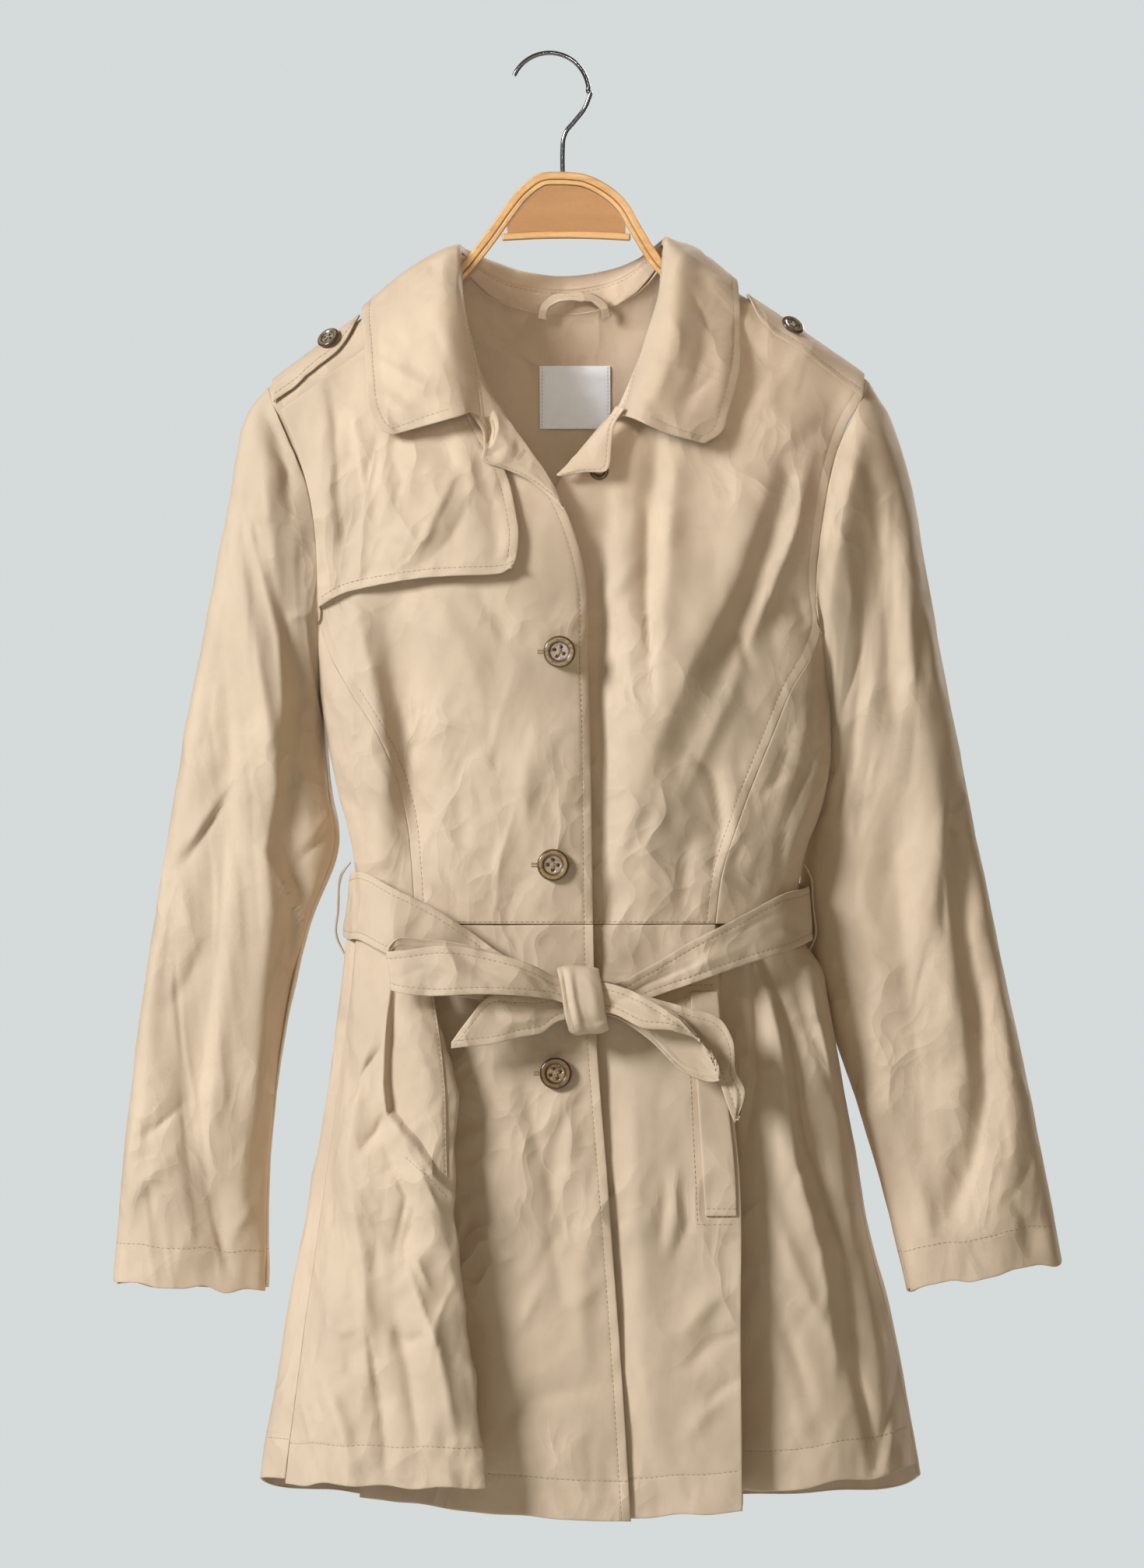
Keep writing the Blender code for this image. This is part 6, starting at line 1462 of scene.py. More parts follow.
skirt_skin = skin(skirt_front_left_cut, skirt_side_right_cut, skirt_side_left_cut)
welt("pocket_welt_right", WELT_RIGHT, -1.0, pleat_behind_mouth, 1.1, FRAME_RIGHT,
     {"last": 1.8})
welt("pocket_welt_left", WELT_LEFT, -1.0, skirt_skin, 1.7, FRAME_LEFT,
     {"bottom": 4.5})

# ---------------------------------------------------------------- storm flap
# A faced flap is caught in the right shoulder and armhole seams and hangs free over the chest.
# Its front and lower edges are topstitched 6 mm in, which puckers them.
FlapRow = namedtuple("FlapRow", "x_free z_free x_sewn z_sewn out_free out_middle out_sewn")
FLAP_ROWS = [
    FlapRow(-62, -147, -168.5, -224, 3.0, 3.0, 3.0),
    FlapRow(-62, -170, -160, -244, 3.0, 3.5, 3.0),
    FlapRow(-56, -200, -151, -274, 3.2, 4.5, 3.0),
    FlapRow(-44, -232, -148, -298, 3.5, 6.0, 3.0),
    FlapRow(-28, -261.5, -147, -316, 4.0, 7.0, 3.0),
    FlapRow(-21.2, -287, -146, -332, 5.0, 8.0, 3.0),
    FlapRow(-19, -308, -145.4, -341, 6.5, 8.5, 3.0),
    FlapRow(-22, -325, -145.0, -349, 8.0, 9.0, 3.2),
]
FLAP_HEM = [(-145, -348), (-134, -341), (-121, -336.5), (-106, -334.5), (-83, -332), (-61, -330),
            (-37, -328.5), (-22, -327)]
FLAP_CREASES = [
    Crease(-4.6, 5, 4, False, [(-136, -208), (-129, -243), (-124, -285), (-129, -311)]),
    Crease(2.2, 3.5, 3.5, False, [(-127, -215), (-120, -246), (-115, -285), (-119, -308)]),
    Crease(1.8, 2.5, 4, True, [(-96, -322), (-88, -308), (-84, -296)]),
    Crease(-1.6, 3, 3, True, [(-112, -300), (-100, -312), (-88, -318)]),
    Crease(1.5, 2.5, 3, True, [(-60, -246), (-50, -262), (-48, -280)]),
    Crease(-1.5, 3, 3, True, [(-100, -250), (-92, -268), (-96, -284)]),
    Crease(4.2, 10, 4, True, [(-54, -253), (-67, -282), (-86, -322)]),
    Crease(-2.4, 7, 5, False, [(-44, -258), (-35, -290), (-32, -320)]),
    Crease(-3.2, 10, 7, False, [(-70, -238), (-60, -262), (-64, -284)]),
    Crease(3.0, 9, 9, False, [(-145, -212), (-141, -260), (-138, -310)]),
    Crease(-3.5, 9, 9, False, [(-131, -192), (-126, -250), (-124, -300)]),
    Crease(-3.0, 10, 9, False, [(-108, -240), (-116, -280), (-120, -326)]),
    Crease(2.2, 6, 9, False, [(-104, -262), (-98, -300), (-104, -328)]),
    Crease(-2.2, 4, 7, True, [(-52, -286), (-62, -306), (-76, -320)]),
    Crease(1.4, 4, 4, True, [(-48, -240), (-42, -250), (-34, -256)]),
]


def flap_net():
    rows = []
    for row in FLAP_ROWS:
        u = np.linspace(0, 1, 9)
        x = row.x_free + (row.x_sewn - row.x_free) * u
        z = row.z_free + (row.z_sewn - row.z_free) * u
        if row is FLAP_ROWS[-1]:
            z = np.interp(x, *np.array(FLAP_HEM).T)
        out = row.out_free + (row.out_sewn - row.out_free) * u
        out = out + (row.out_middle - (row.out_free + row.out_sewn) / 2) * np.sin(np.pi * u)
        rows.append(laid_on(FRONT_RIGHT, x, z, out, 0.0, 0.995))
    return Net(rows)


flap_cut = Cut(flap_net(), 2.4, first=6.0, bottom=5.5)
flap_cut.round_off(9.0, ("first", "bottom"))
flap_cut.press(FLAP_CREASES).crumple(1.0, 26, 50, 81, 24, free=("first", "bottom"))
flap_cut.crumple(0.45, 11, 22, 82, -20, 0.6, ("first", "bottom"))
flap_cut.points = keep_clear(flap_cut.points, skin(front_right_cut), 1.8)
flap_cut.sew_down(0.55, 83)
flap = wall("storm_flap_cloth", flap_cut)
flap_stitches = stitched("storm_flap_topstitch", [flap_cut.line("first", span=(0.1, 0.955)),
                                                  flap_cut.line("bottom", span=(0.045, 1.0))])
hang(flap, "storm_flap")

# ---------------------------------------------------------------- collar
# A shirt collar of doubled cloth with an interlining: a stand sewn to the neck, and a fall that
# turns over it, topstitched 6 mm in all round. The stand runs on in front to the fronts' edges.
COLLAR_CLOTH = 1.9
Neck = namedtuple("Neck", "seam stitch roll turn middle edge")
COLLAR_ROWS = [
    Neck((-30, -42.5, -229.5), (-42, -46, -229), (-49.5, -50, -226.5), (-52.5, -53, -228), (-77, -52, -235),
         (-98, -48, -240.5)),
    Neck((-33, -40, -220.5), (-44, -43, -214), (-51, -47.5, -210), (-55.5, -51, -211), (-83.5, -50, -226),
         (-107, -45.5, -236.5)),
    Neck((-38, -37.5, -212), (-46, -40, -203), (-53, -45, -198), (-58, -49, -199), (-88, -48, -218),
         (-111.5, -42.5, -229)),
    Neck((-46.5, -30, -190), (-50.5, -31.5, -174), (-56, -36, -166), (-61, -40, -167), (-92, -38, -192),
         (-115, -32, -206)),
    Neck((-53.5, -18.5, -157), (-54.5, -18, -148), (-57.5, -18, -139), (-63, -21, -139), (-94, -22, -164),
         (-116, -22, -184)),
    Neck((-55, -7.5, -130), (-55, -7, -127), (-57.5, -8, -121.5), (-63, -9.5, -123), (-93, -9, -146),
         (-118, -11, -166)),
    Neck((-55.5, 1, -126.5), (-54.5, 1, -124.5), (-57, 1.5, -119), (-63, 2, -121), (-92, 3, -137),
         (-117, 3, -157)),
    Neck((-53.5, 9, -129.5), (-52.5, 9, -126), (-55, 11, -120), (-60, 13, -122.5), (-86, 20, -142),
         (-107, 26, -163)),
    Neck((-37, 19, -146), (-36, 18.5, -138), (-39, 23, -128), (-43, 28, -131), (-64, 36, -156),
         (-84, 43, -178)),
    Neck((-14, 27, -156), (-14, 26, -145), (-15, 31, -135), (-16, 36, -138), (-24, 45, -168),
         (-32, 49, -194)),
    Neck((9, 29, -158), (9, 28, -147), (9, 33, -137), (9, 38, -140), (9, 47, -171), (9, 51, -199)),
    Neck((32, 27, -155), (32, 26, -144), (33, 31, -134), (34, 36, -137), (42, 45, -167), (50, 49, -193)),
    Neck((54, 19, -144), (53, 18.5, -135), (57, 23, -126), (61, 28, -129), (80, 36, -153), (100, 43, -174)),
    Neck((69.5, 9, -124.5), (68.5, 9, -121), (71.5, 11, -115), (76.5, 13, -117.5), (98, 19, -135),
         (115, 25, -151)),
    Neck((71.5, 1, -121.5), (70.5, 1, -119.5), (73, 1.5, -114), (79, 2, -116), (100, 3, -126),
         (118.5, 3, -141.5)),
    Neck((70.5, -7.5, -125), (71, -7, -122), (74.5, -8, -116), (79, -9.5, -118.5), (101, -9, -135),
         (119.5, -11, -153)),
    Neck((68, -18, -154), (69.5, -18, -145), (74, -18, -136.5), (78, -21, -136), (101, -20, -152),
         (120, -18, -170)),
    Neck((59, -28, -188), (62, -30.5, -173), (68, -35, -166), (73, -39, -167), (98, -35, -185),
         (120, -28, -197)),
    Neck((47, -35.5, -213), (53, -38, -203), (59, -42, -199), (64, -46, -200), (92, -43, -216),
         (112.5, -35.5, -225)),
    Neck((44, -37.3, -221), (49, -40, -216.5), (53, -44, -214), (58, -48, -215), (84, -46, -229.5),
         (108.5, -39, -238)),
    Neck((39.5, -38, -229.5), (44, -41, -229), (48, -45, -229), (52, -50, -230.5), (74, -49, -240),
         (97, -43, -246)),
]
COLLAR = Net([[np.array(p, float) for p in row] for row in COLLAR_ROWS], -1.0)
STITCH_SHARE = COLLAR.across[1]     # where the stand ends and the fall begins
COLLAR_CREASES = [
    Crease(1.8, 3, 4, True, [(-104, -194), (-90, -205), (-68, -217)]),
    Crease(-1.5, 3, 4, True, [(-112, -184), (-96, -196), (-78, -202)]),
    Crease(1.5, 2.5, 4, True, [(72, -160), (82, -178), (80, -200)]),
    Crease(-1.5, 3, 3, True, [(104, -200), (92, -214), (78, -222)]),
    Crease(2.1, 5, 8, False, [(-108, -192), (-84, -208), (-60, -220)]),
    Crease(-1.8, 4, 6, False, [(-104, -206), (-88, -218), (-72, -226)]),
    Crease(-1.6, 4, 4, True, [(-76, -168), (-68, -184), (-62, -202)]),
    Crease(1.6, 6, 5, False, [(-92, -160), (-88, -184), (-94, -204)]),
    Crease(-1.5, 5, 5, False, [(-108, -170), (-106, -196), (-102, -222)]),
    Crease(-2.0, 3, 5, True, [(90, -150), (96, -164), (102, -176)]),
    Crease(1.9, 6, 5, False, [(80, -156), (76, -190), (66, -220)]),
    Crease(-1.8, 5, 7, False, [(98, -184), (90, -208), (82, -230)]),
    Crease(1.5, 5, 6, False, [(112, -168), (108, -200), (104, -226)]),
]
# The collar's own rows run round the neck, so its first and last are the roll and the loose edge.
stand_cut = Cut(COLLAR, 2.4, u=(0.0, STITCH_SHARE + 0.004), last=2.0)
stand_cut.crumple(0.35, 9, 16, 91, 0, 0.4).sew_down(0.14, 91)
# The stand's seam is turned in: its lower edge laps down over the neck's, inside the coat.
seam_run = stand_cut.points[:, :1] - stand_cut.points[:, 3:4]
seam_run /= np.linalg.norm(seam_run, axis=-1, keepdims=True)
lap = np.clip((4.0 - stand_cut.across) / 4.0, 0, 1)[..., None]
stand_cut.points = stand_cut.points + seam_run * 4.5 * lap
stand_cut.measure()
fall_cut = Cut(COLLAR, 2.3, u=(STITCH_SHARE + 0.004, 1.0), last=6.2, top=6.2, bottom=6.2)
fall_cut.press(COLLAR_CREASES).crumple(0.8, 24, 36, 92, 15, free=("last", "top", "bottom"))
fall_cut.crumple(0.4, 10, 18, 93, -20, 0.6, ("last", "top", "bottom"))
chest_skin = skin(front_right_cut, front_left_cut, flap_cut)
lifted = keep_clear(fall_cut.points, chest_skin, 2.3)
fall_cut.points = np.where(fall_cut.points[..., 1:2] < 2, lifted, fall_cut.points)
fall_cut.sew_down(0.3, 92)
stand = wall("collar_stand_cloth", stand_cut, COLLAR_CLOTH)
fall = wall("collar_fall_cloth", fall_cut, COLLAR_CLOTH)
stand_stitches = stitched("collar_stand_stitches", [stand_cut.line("last")])
fall_stitches = stitched("collar_fall_topstitch", [
    fall_cut.line("last", span=(0.03, 0.97)),
    fall_cut.line("top", span=(0.3, 0.93)),
    fall_cut.line("bottom", span=(0.3, 0.93)),
])
hang(stand, "collar_stand")
hang(fall, "collar_fall")

EndRow = namedtuple("EndRow", "x_low z_low y_low x_high z_high y_high")
STAND_END_RIGHT = [
    EndRow(-51, -225, -46, -45, -208, -35.5), EndRow(-45.5, -232.5, -47.5, -34, -220, -39.5),
    EndRow(-41, -240, -48.5, -25, -231, -43), EndRow(-41, -249, -49, -17, -242, -46),
    EndRow(-42, -256.5, -49, -10.5, -251, -47), EndRow(-28, -262, -49, -5, -259, -48),
    EndRow(-13, -269, -49.5, 1.5, -269.5, -48.5), EndRow(0, -279.5, -50, 6.5, -278, -49),
    EndRow(8, -287.5, -50.5, 10.2, -286.5, -50),
]
END_CREASES = [    # what is left of the buttonhole's gathered cloth
    Crease(-5.5, 2.2, 2.6, True, [(-38.5, -229), (-36.5, -237), (-38, -246)]),
    Crease(1.8, 2.0, 2.2, True, [(-33, -226), (-31.5, -236), (-35, -247), (-39, -250)]),
    Crease(-1.5, 1.6, 2.2, True, [(-39, -249), (-35, -252), (-31, -250)]),
    Crease(1.3, 3.0, 3.0, False, [(-29, -240), (-26, -248), (-30, -257)]),
    Crease(-1.2, 2.0, 2.4, True, [(-22, -243), (-19, -250), (-23, -258)]),
    Crease(1.2, 3.0, 3.0, False, [(-14, -249), (-10, -256), (-12, -263)]),
    Crease(-1.0, 2.0, 2.0, True, [(-36, -222), (-40, -229), (-44, -231)]),
]
STAND_END_LEFT = [
    EndRow(47, -224, -46.5, 41.5, -222, -40), EndRow(43.5, -229, -46, 38.5, -227.5, -40),
    EndRow(40.5, -234.5, -46, 33, -234, -40.5), EndRow(39, -246, -46, 24, -244, -41),
    EndRow(36, -262.7, -46.5, 17, -252, -42), EndRow(21.7, -264, -46, 9, -260.6, -43),
    EndRow(8, -267, -45.5, 4, -265.5, -44),
]


def stand_end(side, rows, facing, span):
    table = []
    for row in rows:
        low = np.array([row.x_low, row.y_low, row.z_low], float)
        high = np.array([row.x_high, row.y_high, row.z_high], float)
        table.append([low, (low + high) / 2 - [0, 1.5, 0], high])
    cut = Cut(Net(table, facing), 1.3, first=3.0, bottom=3.0)
    cut.points = keep_clear(cut.points, chest_skin, 2.0)
    cut.press(END_CREASES).crumple(0.5, 9, 13, 95, 20, 0.4, ("first", "last", "top", "bottom"))
    cut.sew_down(0.3, 96)
    piece = wall(f"stand_end_{side}_cloth", cut, 1.5)
    sewing = stitched(f"stand_end_{side}_stitches", [cut.line("first", span=span),
                                                     cut.line("bottom", span=(0.1, 0.9))])
    hang(piece, f"stand_end_{side}")
    return cut


end_right_cut = stand_end("right", STAND_END_RIGHT, -1.0, (0.1, 0.95))
stand_end("left", STAND_END_LEFT, 1.0, (0.05, 0.9))

END_HOLES = [[(-39.2, -231), (-38, -237), (-39, -244)], [(-35.5, -231), (-34, -237), (-35, -244)],
             [(-21, -255.5), (-15.5, -249.5)], [(-20, -256.5), (-14.5, -250.5)]]
end_skin = skin(end_right_cut)
stitched("stand_end_buttonholes", [traced(path, end_skin, 0.6) for path in END_HOLES], 0.7, 1.3, 0.4, 0.12,
         turned=True)

# ---------------------------------------------------------------- epaulettes
# A strap of doubled cloth lies along each shoulder, caught in the sleeve head and buttoned near
# the collar, where it ends in a blunt point. It is edge-stitched 5 mm in.
StrapRow = namedtuple("StrapRow", "x half_width rise")
EPAULETTE_RIGHT = [
    StrapRow(-120.5, 4, 5.0), StrapRow(-126, 13, 5.0), StrapRow(-133, 17, 4.9), StrapRow(-147, 17.5, 4.9),
    StrapRow(-162, 17.5, 4.8), StrapRow(-175.5, 17.5, 4.6),
]
EPAULETTE_LEFT = [
    StrapRow(124.5, 4, 3.2), StrapRow(130, 13, 3.1), StrapRow(138, 17, 3.0), StrapRow(156, 17.5, 2.9),
    StrapRow(178, 17.5, 2.7), StrapRow(198.5, 17.5, 2.6),
]


def shoulder_height(front, x):
    line = front.at(np.linspace(0, 1, 60), 0.0)
    order = np.argsort(line[:, 0])
    return np.interp(x, line[order, 0], line[order, 2])


def settle(points, under, gap):
    """Lower the points on to the cloth under them, a gap off it."""
    settled = points.copy()
    for place in settled.reshape(-1, 3):
        hit = under.find_nearest(Vector(place))[0]
        place[:] = hit + (Vector(place) - hit).normalized() * gap
    return settled


def epaulette(side, rows, front, facing, under, gap):
    across = np.linspace(-1, 1, 7)
    table = []
    for row in rows:
        y = across * row.half_width
        z = shoulder_height(front, row.x) + row.rise - y**2 / 22.0
        table.append(np.stack([np.full(7, row.x), y, z], axis=-1))
    cut = Cut(Net(table, facing), 1.9, first=5.0, last=5.0, top=5.0)
    cut.points = settle(cut.points, under, gap)
    cut.measure()
    cut.crumple(0.3, 14, 24, 97, 20, 0.4, ("first", "last")).sew_down(0.3, 98)
    piece = wall(f"epaulette_{side}_cloth", cut, 1.4)
    sewing = stitched(f"epaulette_{side}_stitches", [cut.line("first", span=(0.14, 1.0)),
                                                     cut.line("last", span=(0.14, 1.0))])
    hang(piece, f"epaulette_{side}")
    return skin(cut)


right_strap = epaulette("right", EPAULETTE_RIGHT, FRONT_RIGHT, 1.0,
                        skin(front_right_cut, back_cut, flap_cut), 2.6)
left_strap = epaulette("left", EPAULETTE_LEFT, FRONT_LEFT, -1.0, skin(front_left_cut, back_cut), 2.6)

# ---------------------------------------------------------------- neck label and hanging loop
# A blank woven satin tape, folded and sewn to the back inside the neck by its sides, and over it
# a loop of the coat's own cloth, folded in four and edge-stitched, to hang the coat by.
LABEL_WIDTH, LABEL_HEIGHT = 45.0, 40.0
LABEL_CENTRE = (16.0, -214.0)
LOOP_LINE = [(-5, 25.5, -165), (-3, 23, -157), (3, 22, -152.5), (15, 22, -151), (28, 22, -152.5),
             (34, 23, -157), (36, 25, -164)]
LOOP_WIDTH = 5.5


def satin_tape():
    satin = Finish("white_satin_tape", 0.4, Sheen_Weight=0.15)
    warp, weft = satin.threads()
    ribs = (weft * 9.0).sine() * 0.5 + (warp * 21.0).sine() * 0.2
    cloud = satin.noise(satin.place(), 0.12, detail=3.0)
    satin.feed("Base Color", satin.mixed(cloud, (0.84, 0.86, 0.90), (0.93, 0.95, 0.97)))
    satin.feed("Roughness", cloud * 0.15 + 0.32)
    satin.raised(ribs * 0.5 + 0.5, 0.05)
    return satin


label_x = LABEL_CENTRE[0] + np.linspace(-0.5, 0.5, 9) * LABEL_WIDTH
label_z = LABEL_CENTRE[1] - np.linspace(-0.5, 0.5, 9) * LABEL_HEIGHT
label_grid = np.meshgrid(label_x, label_z)
label_net = Net(laid_on(BACK, label_grid[0], label_grid[1], np.full(label_grid[0].shape, -(SHELL + 1.6))),
                -1.0)
label_cut = Cut(label_net, 1.6, first=1.6, last=1.6)
label_cut.points = keep_clear(label_cut.points, skin(back_cut), SHELL + 1.3, 60.0)
label_cut.crumple(0.35, 13, 18, 101, 10, free=("top", "bottom")).sew_down(0.1, 101, 0.2)
label = wall("neck_label_tape", label_cut, 0.5, satin_tape())
label_stitches = stitched("neck_label_stitches", [label_cut.line("first"), label_cut.line("last")], 2.4,
                          1.8, 0.3)
hang(label, "neck_label")

loop_path = through(LOOP_LINE, np.linspace(0, 1, 33))
loop_ahead = np.gradient(loop_path, axis=0)
loop_up = np.cross(loop_ahead, [0, 1, 0])
loop_up = loop_up / np.linalg.norm(loop_up, axis=1, keepdims=True) * LOOP_WIDTH / 2
loop_net = Net(np.stack([loop_path - loop_up, loop_path + [0, -0.5, 0], loop_path + loop_up], axis=1), 1.0)
loop_cut = Cut(loop_net, 1.2, first=1.3, last=1.3).crumple(0.5, 5, 9, 103, 10, 0.4, ("first", "last"))
loop_cut.sew_down(0.15, 103)
loop = wall("hanging_loop_strip", loop_cut, 1.3)
loop_stitches = stitched("hanging_loop_stitches", [loop_cut.line("last")], 2.6, 1.9, 0.32)
hang(loop, "hanging_loop")

# ---------------------------------------------------------------- buttons and buttonholes
# Four-hole buttons turned from a horn-like casein, each with a dished face in a raised rim, sewn
# on with doubled thread through the holes. The buttonholes are worked lengthwise across.
BUTTON_RADIUS = 10.0
BUTTON_PROFILE = [    # shares of the radius, and how high off the cloth
    (0.0, 2.25), (0.3, 2.3), (0.52, 2.38), (0.6, 2.6), (0.68, 3.05), (0.76, 3.33), (0.84, 3.4), (0.91, 3.2),
    (0.965, 2.75), (0.995, 2.2), (1.0, 1.8), (0.97, 1.2), (0.9, 0.65), (0.75, 0.25), (0.6, 0.0), (0.0, 0.0),
]
BUTTON_SIDES = 56
HOLE_RADIUS, HOLE_SPREAD = 1.1, 2.2


def horn(name, centre, radius, pale, gold, dark):
    """Casein: a clouded dish inside a dark line, a streaked golden rim, a dark outer edge."""
    casein = Finish(name, 0.24, Coat_Weight=0.4, Coat_Roughness=0.1, Specular_IOR_Level=0.5)
    where = casein.place(shift=tuple(-1.0 * c for c in centre))
    drift = casein.noise(casein.place(), 0.3, detail=4.0, rough=0.6, distort=1.2)
    away = casein.node("ShaderNodeVectorMath", {"operation": "LENGTH"}, {0: where}, out="Value") / radius
    away = away + (drift - 0.5) * 0.07
    dish, lip, edge = away.rises(0.56, 0.64), away.rises(0.70, 0.78), away.rises(0.90, 0.98)
    streaks = casein.noise(casein.place((500.0, 900.0, 1300.0)), 0.4, detail=3.0,
                           distort=0.8).rises(0.5, 0.66)
    tone = casein.mixed(drift.rises(0.38, 0.66), pale, gold)
    tone = casein.mixed(dish * 0.85, tone, dark)
    tone = casein.mixed(lip * 0.9, tone, gold)
    tone = casein.mixed(edge * 0.9, tone, dark)
    tone = casein.mixed(streaks * 0.5, tone, dark)
    casein.feed("Base Color", tone)
    casein.feed("Roughness", drift * 0.12 + 0.18)
    casein.raised(drift, 0.02)
    return casein


def button(node, centre, normal, radius, spin, tints):
    """Turned from its profile and drilled, its back at the centre given."""
    finish = horn(f"{node}_casein", centre, radius, *tints)
    made_mesh = bmesh.new()
    rings = []
    for share, rise in BUTTON_PROFILE:
        if share == 0.0:
            rings.append([made_mesh.verts.new((0, 0, rise))])
            continue
        rings.append([
            made_mesh.verts.new((radius * share * math.cos(a), radius * share * math.sin(a),
                                 rise * (0.6 + 0.04 * radius)))
            for a in (2 * math.pi * k / BUTTON_SIDES for k in range(BUTTON_SIDES))
        ])
    for first, second in zip(rings, rings[1:]):
        for k in range(BUTTON_SIDES):
            n = (k + 1) % BUTTON_SIDES
            corners = [first[k % len(first)], first[n % len(first)], second[n % len(second)],
                       second[k % len(second)]]
            kept = [c for i, c in enumerate(corners) if c not in corners[:i]]
            made_mesh.faces.new(list(reversed(kept)))
    facing = Vector(normal).to_track_quat("Z", "X").to_matrix().to_4x4()
    seated = Matrix.Scale(MM, 4) @ Matrix.Translation(Vector(centre))
    place = seated @ facing @ Matrix.Rotation(spin, 4, "Z")
    mesh = bpy.data.meshes.new(f"{node}_disc")
    made_mesh.to_mesh(mesh)
    made_mesh.free()
    mesh.transform(place)
    mesh.materials.append(finish.material)
    mesh.shade_smooth()
    made = in_scene(f"{node}_disc", mesh)
    apart = HOLE_SPREAD * radius / 10
    holes = [(a * apart, b * apart) for a in (1, -1) for b in (1, -1)]
    drills = bmesh.new()
    for x, y in holes:
        drill = bmesh.ops.create_cone(drills, cap_ends=True, segments=16, radius1=HOLE_RADIUS * radius / 10,
                                      radius2=HOLE_RADIUS * radius / 10, depth=14)
        bmesh.ops.translate(drills, verts=drill["verts"], vec=(x, y, 0))
    drill_mesh = bpy.data.meshes.new(f"{node}_drills")
    drills.to_mesh(drill_mesh)
    drills.free()
    drill_mesh.transform(place)
    drill_mesh.materials.append(finish.material)
    drill = in_scene(f"{node}_drills", drill_mesh)
    bored = made.modifiers.new("holes", "BOOLEAN")
    bored.operation, bored.solver, bored.object = "DIFFERENCE", "EXACT", drill
    with bpy.context.temp_override(object=made, active_object=made):
        bpy.ops.object.modifier_apply(modifier="holes")
    bpy.data.objects.remove(drill)
    stands_for(made, node)
    turn = (facing @ Matrix.Rotation(spin, 4, "Z")).to_3x3()
    up, seat = turn @ Vector((0, 0, 1)), Vector(centre)
    lines = []
    for (x0, y0), (x1, y1) in ((holes[0], holes[3]), (holes[1], holes[2])):
        for lift in (2.0, 2.4):
            line = []
            for t in np.linspace(0, 1, 9):
                arch = lift + 0.9 * math.sin(math.pi * t) - 0.5
                line.append(tuple(seat + turn @ Vector((x0 + (x1 - x0) * t, y0 + (y1 - y0) * t, arch))))
            lines.append((np.array(line), np.array([tuple(up)] * 9)))
    span = 2 * math.sqrt(2) * HOLE_SPREAD * radius / 10
    stitched(f"{node}_thread", lines, pitch=span * 0.98, long=span * 0.9, thick=0.75, rise=0.0)


PALE_HORN = ((0.50, 0.42, 0.40), (0.44, 0.29, 0.13), (0.06, 0.035, 0.02))
AMBER_HORN = ((0.42, 0.33, 0.27), (0.40, 0.25, 0.09), (0.055, 0.03, 0.016))
DARK_HORN = ((0.38, 0.27, 0.13), (0.24, 0.13, 0.045), (0.03, 0.015, 0.008))
SMALL_HORN = ((0.30, 0.25, 0.2), (0.26, 0.19, 0.1), (0.05, 0.03, 0.02))
BUTTONHOLE = 25.0
front_skin = skin(front_right_cut, skirt_front_right_cut)
hole_lines = []
for k, (node, x, z, tints) in enumerate((("button_front_1", 6.3, -376, PALE_HORN),
                                         ("button_front_2", 2.4, -509, AMBER_HORN),
                                          ("button_front_3", 4.0, -639, DARK_HORN))):
    hit = met_from_front(front_skin, x, z)[0]
    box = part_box(node)
    seat_y = min(hit.y - 0.4, box[1][1] / MM)
    button(node, (x, seat_y, z), (0, -1, 0), BUTTON_RADIUS, 0.35 + 0.4 * k, tints)
    # Two rows of closely worked stitches with the slit between them.
    for rise in (-0.85, 0.85):
        hole_lines.append(traced([(x - BUTTONHOLE / 2 - 1.5, z + rise),
                                  (x + BUTTONHOLE / 2 - 1.5, z + rise)], front_skin))
stitched("front_buttonholes", hole_lines, 0.62, 1.5, 0.42, 0.12, turned=True)
for side, x, strap in (("right", -138, right_strap), ("left", 152, left_strap)):
    seat, normal = strap.ray_cast(Vector((x, -7.5, 0.0)), Vector((0, 0, -1)))[:2]
    normal = normal * math.copysign(1.0, normal.z)
    button(f"button_epaulette_{side}", tuple(seat + normal * 0.5), tuple(normal), 7.5, 0.6, SMALL_HORN)
button("button_collar", (31, -36.0, -262.5), (0.1, -1, 0), 6.0, 0.3, DARK_HORN)

# ---------------------------------------------------------------- belt carriers
# A narrow turned strip stands off each side seam, tacked above and below, and the belt goes
# through it.
CARRIER_RIGHT = [(-126.0, 4, -507), (-131.5, 5, -515), (-134, 6, -536), (-134.5, 6, -556), (-130, 5, -566)]
CARRIER_LEFT = [(160.5, 3, -508), (165, 4, -516), (166.6, 3, -534), (168, 2, -554), (162.5, 2, -567)]
CARRIER_WIDTH = 6.0


def carrier(side, line, facing):
    path = through(line, np.linspace(0, 1, 21))
    table = np.stack([path + [0, -CARRIER_WIDTH / 2, 0], path, path + [0, CARRIER_WIDTH / 2, 0]], axis=1)
    cut = Cut(Net(table, facing), 1.4, first=1.4, last=1.4).crumple(0.25, 5, 9, 105, 0, 0.3,
                                                                    ("first", "last"))
    cut.sew_down(0.1, 105)
    piece = wall(f"belt_carrier_{side}_strip", cut, 1.2)
    hang(piece, f"belt_carrier_{side}")


carrier("right", CARRIER_RIGHT, 1.0)
carrier("left", CARRIER_LEFT, -1.0)

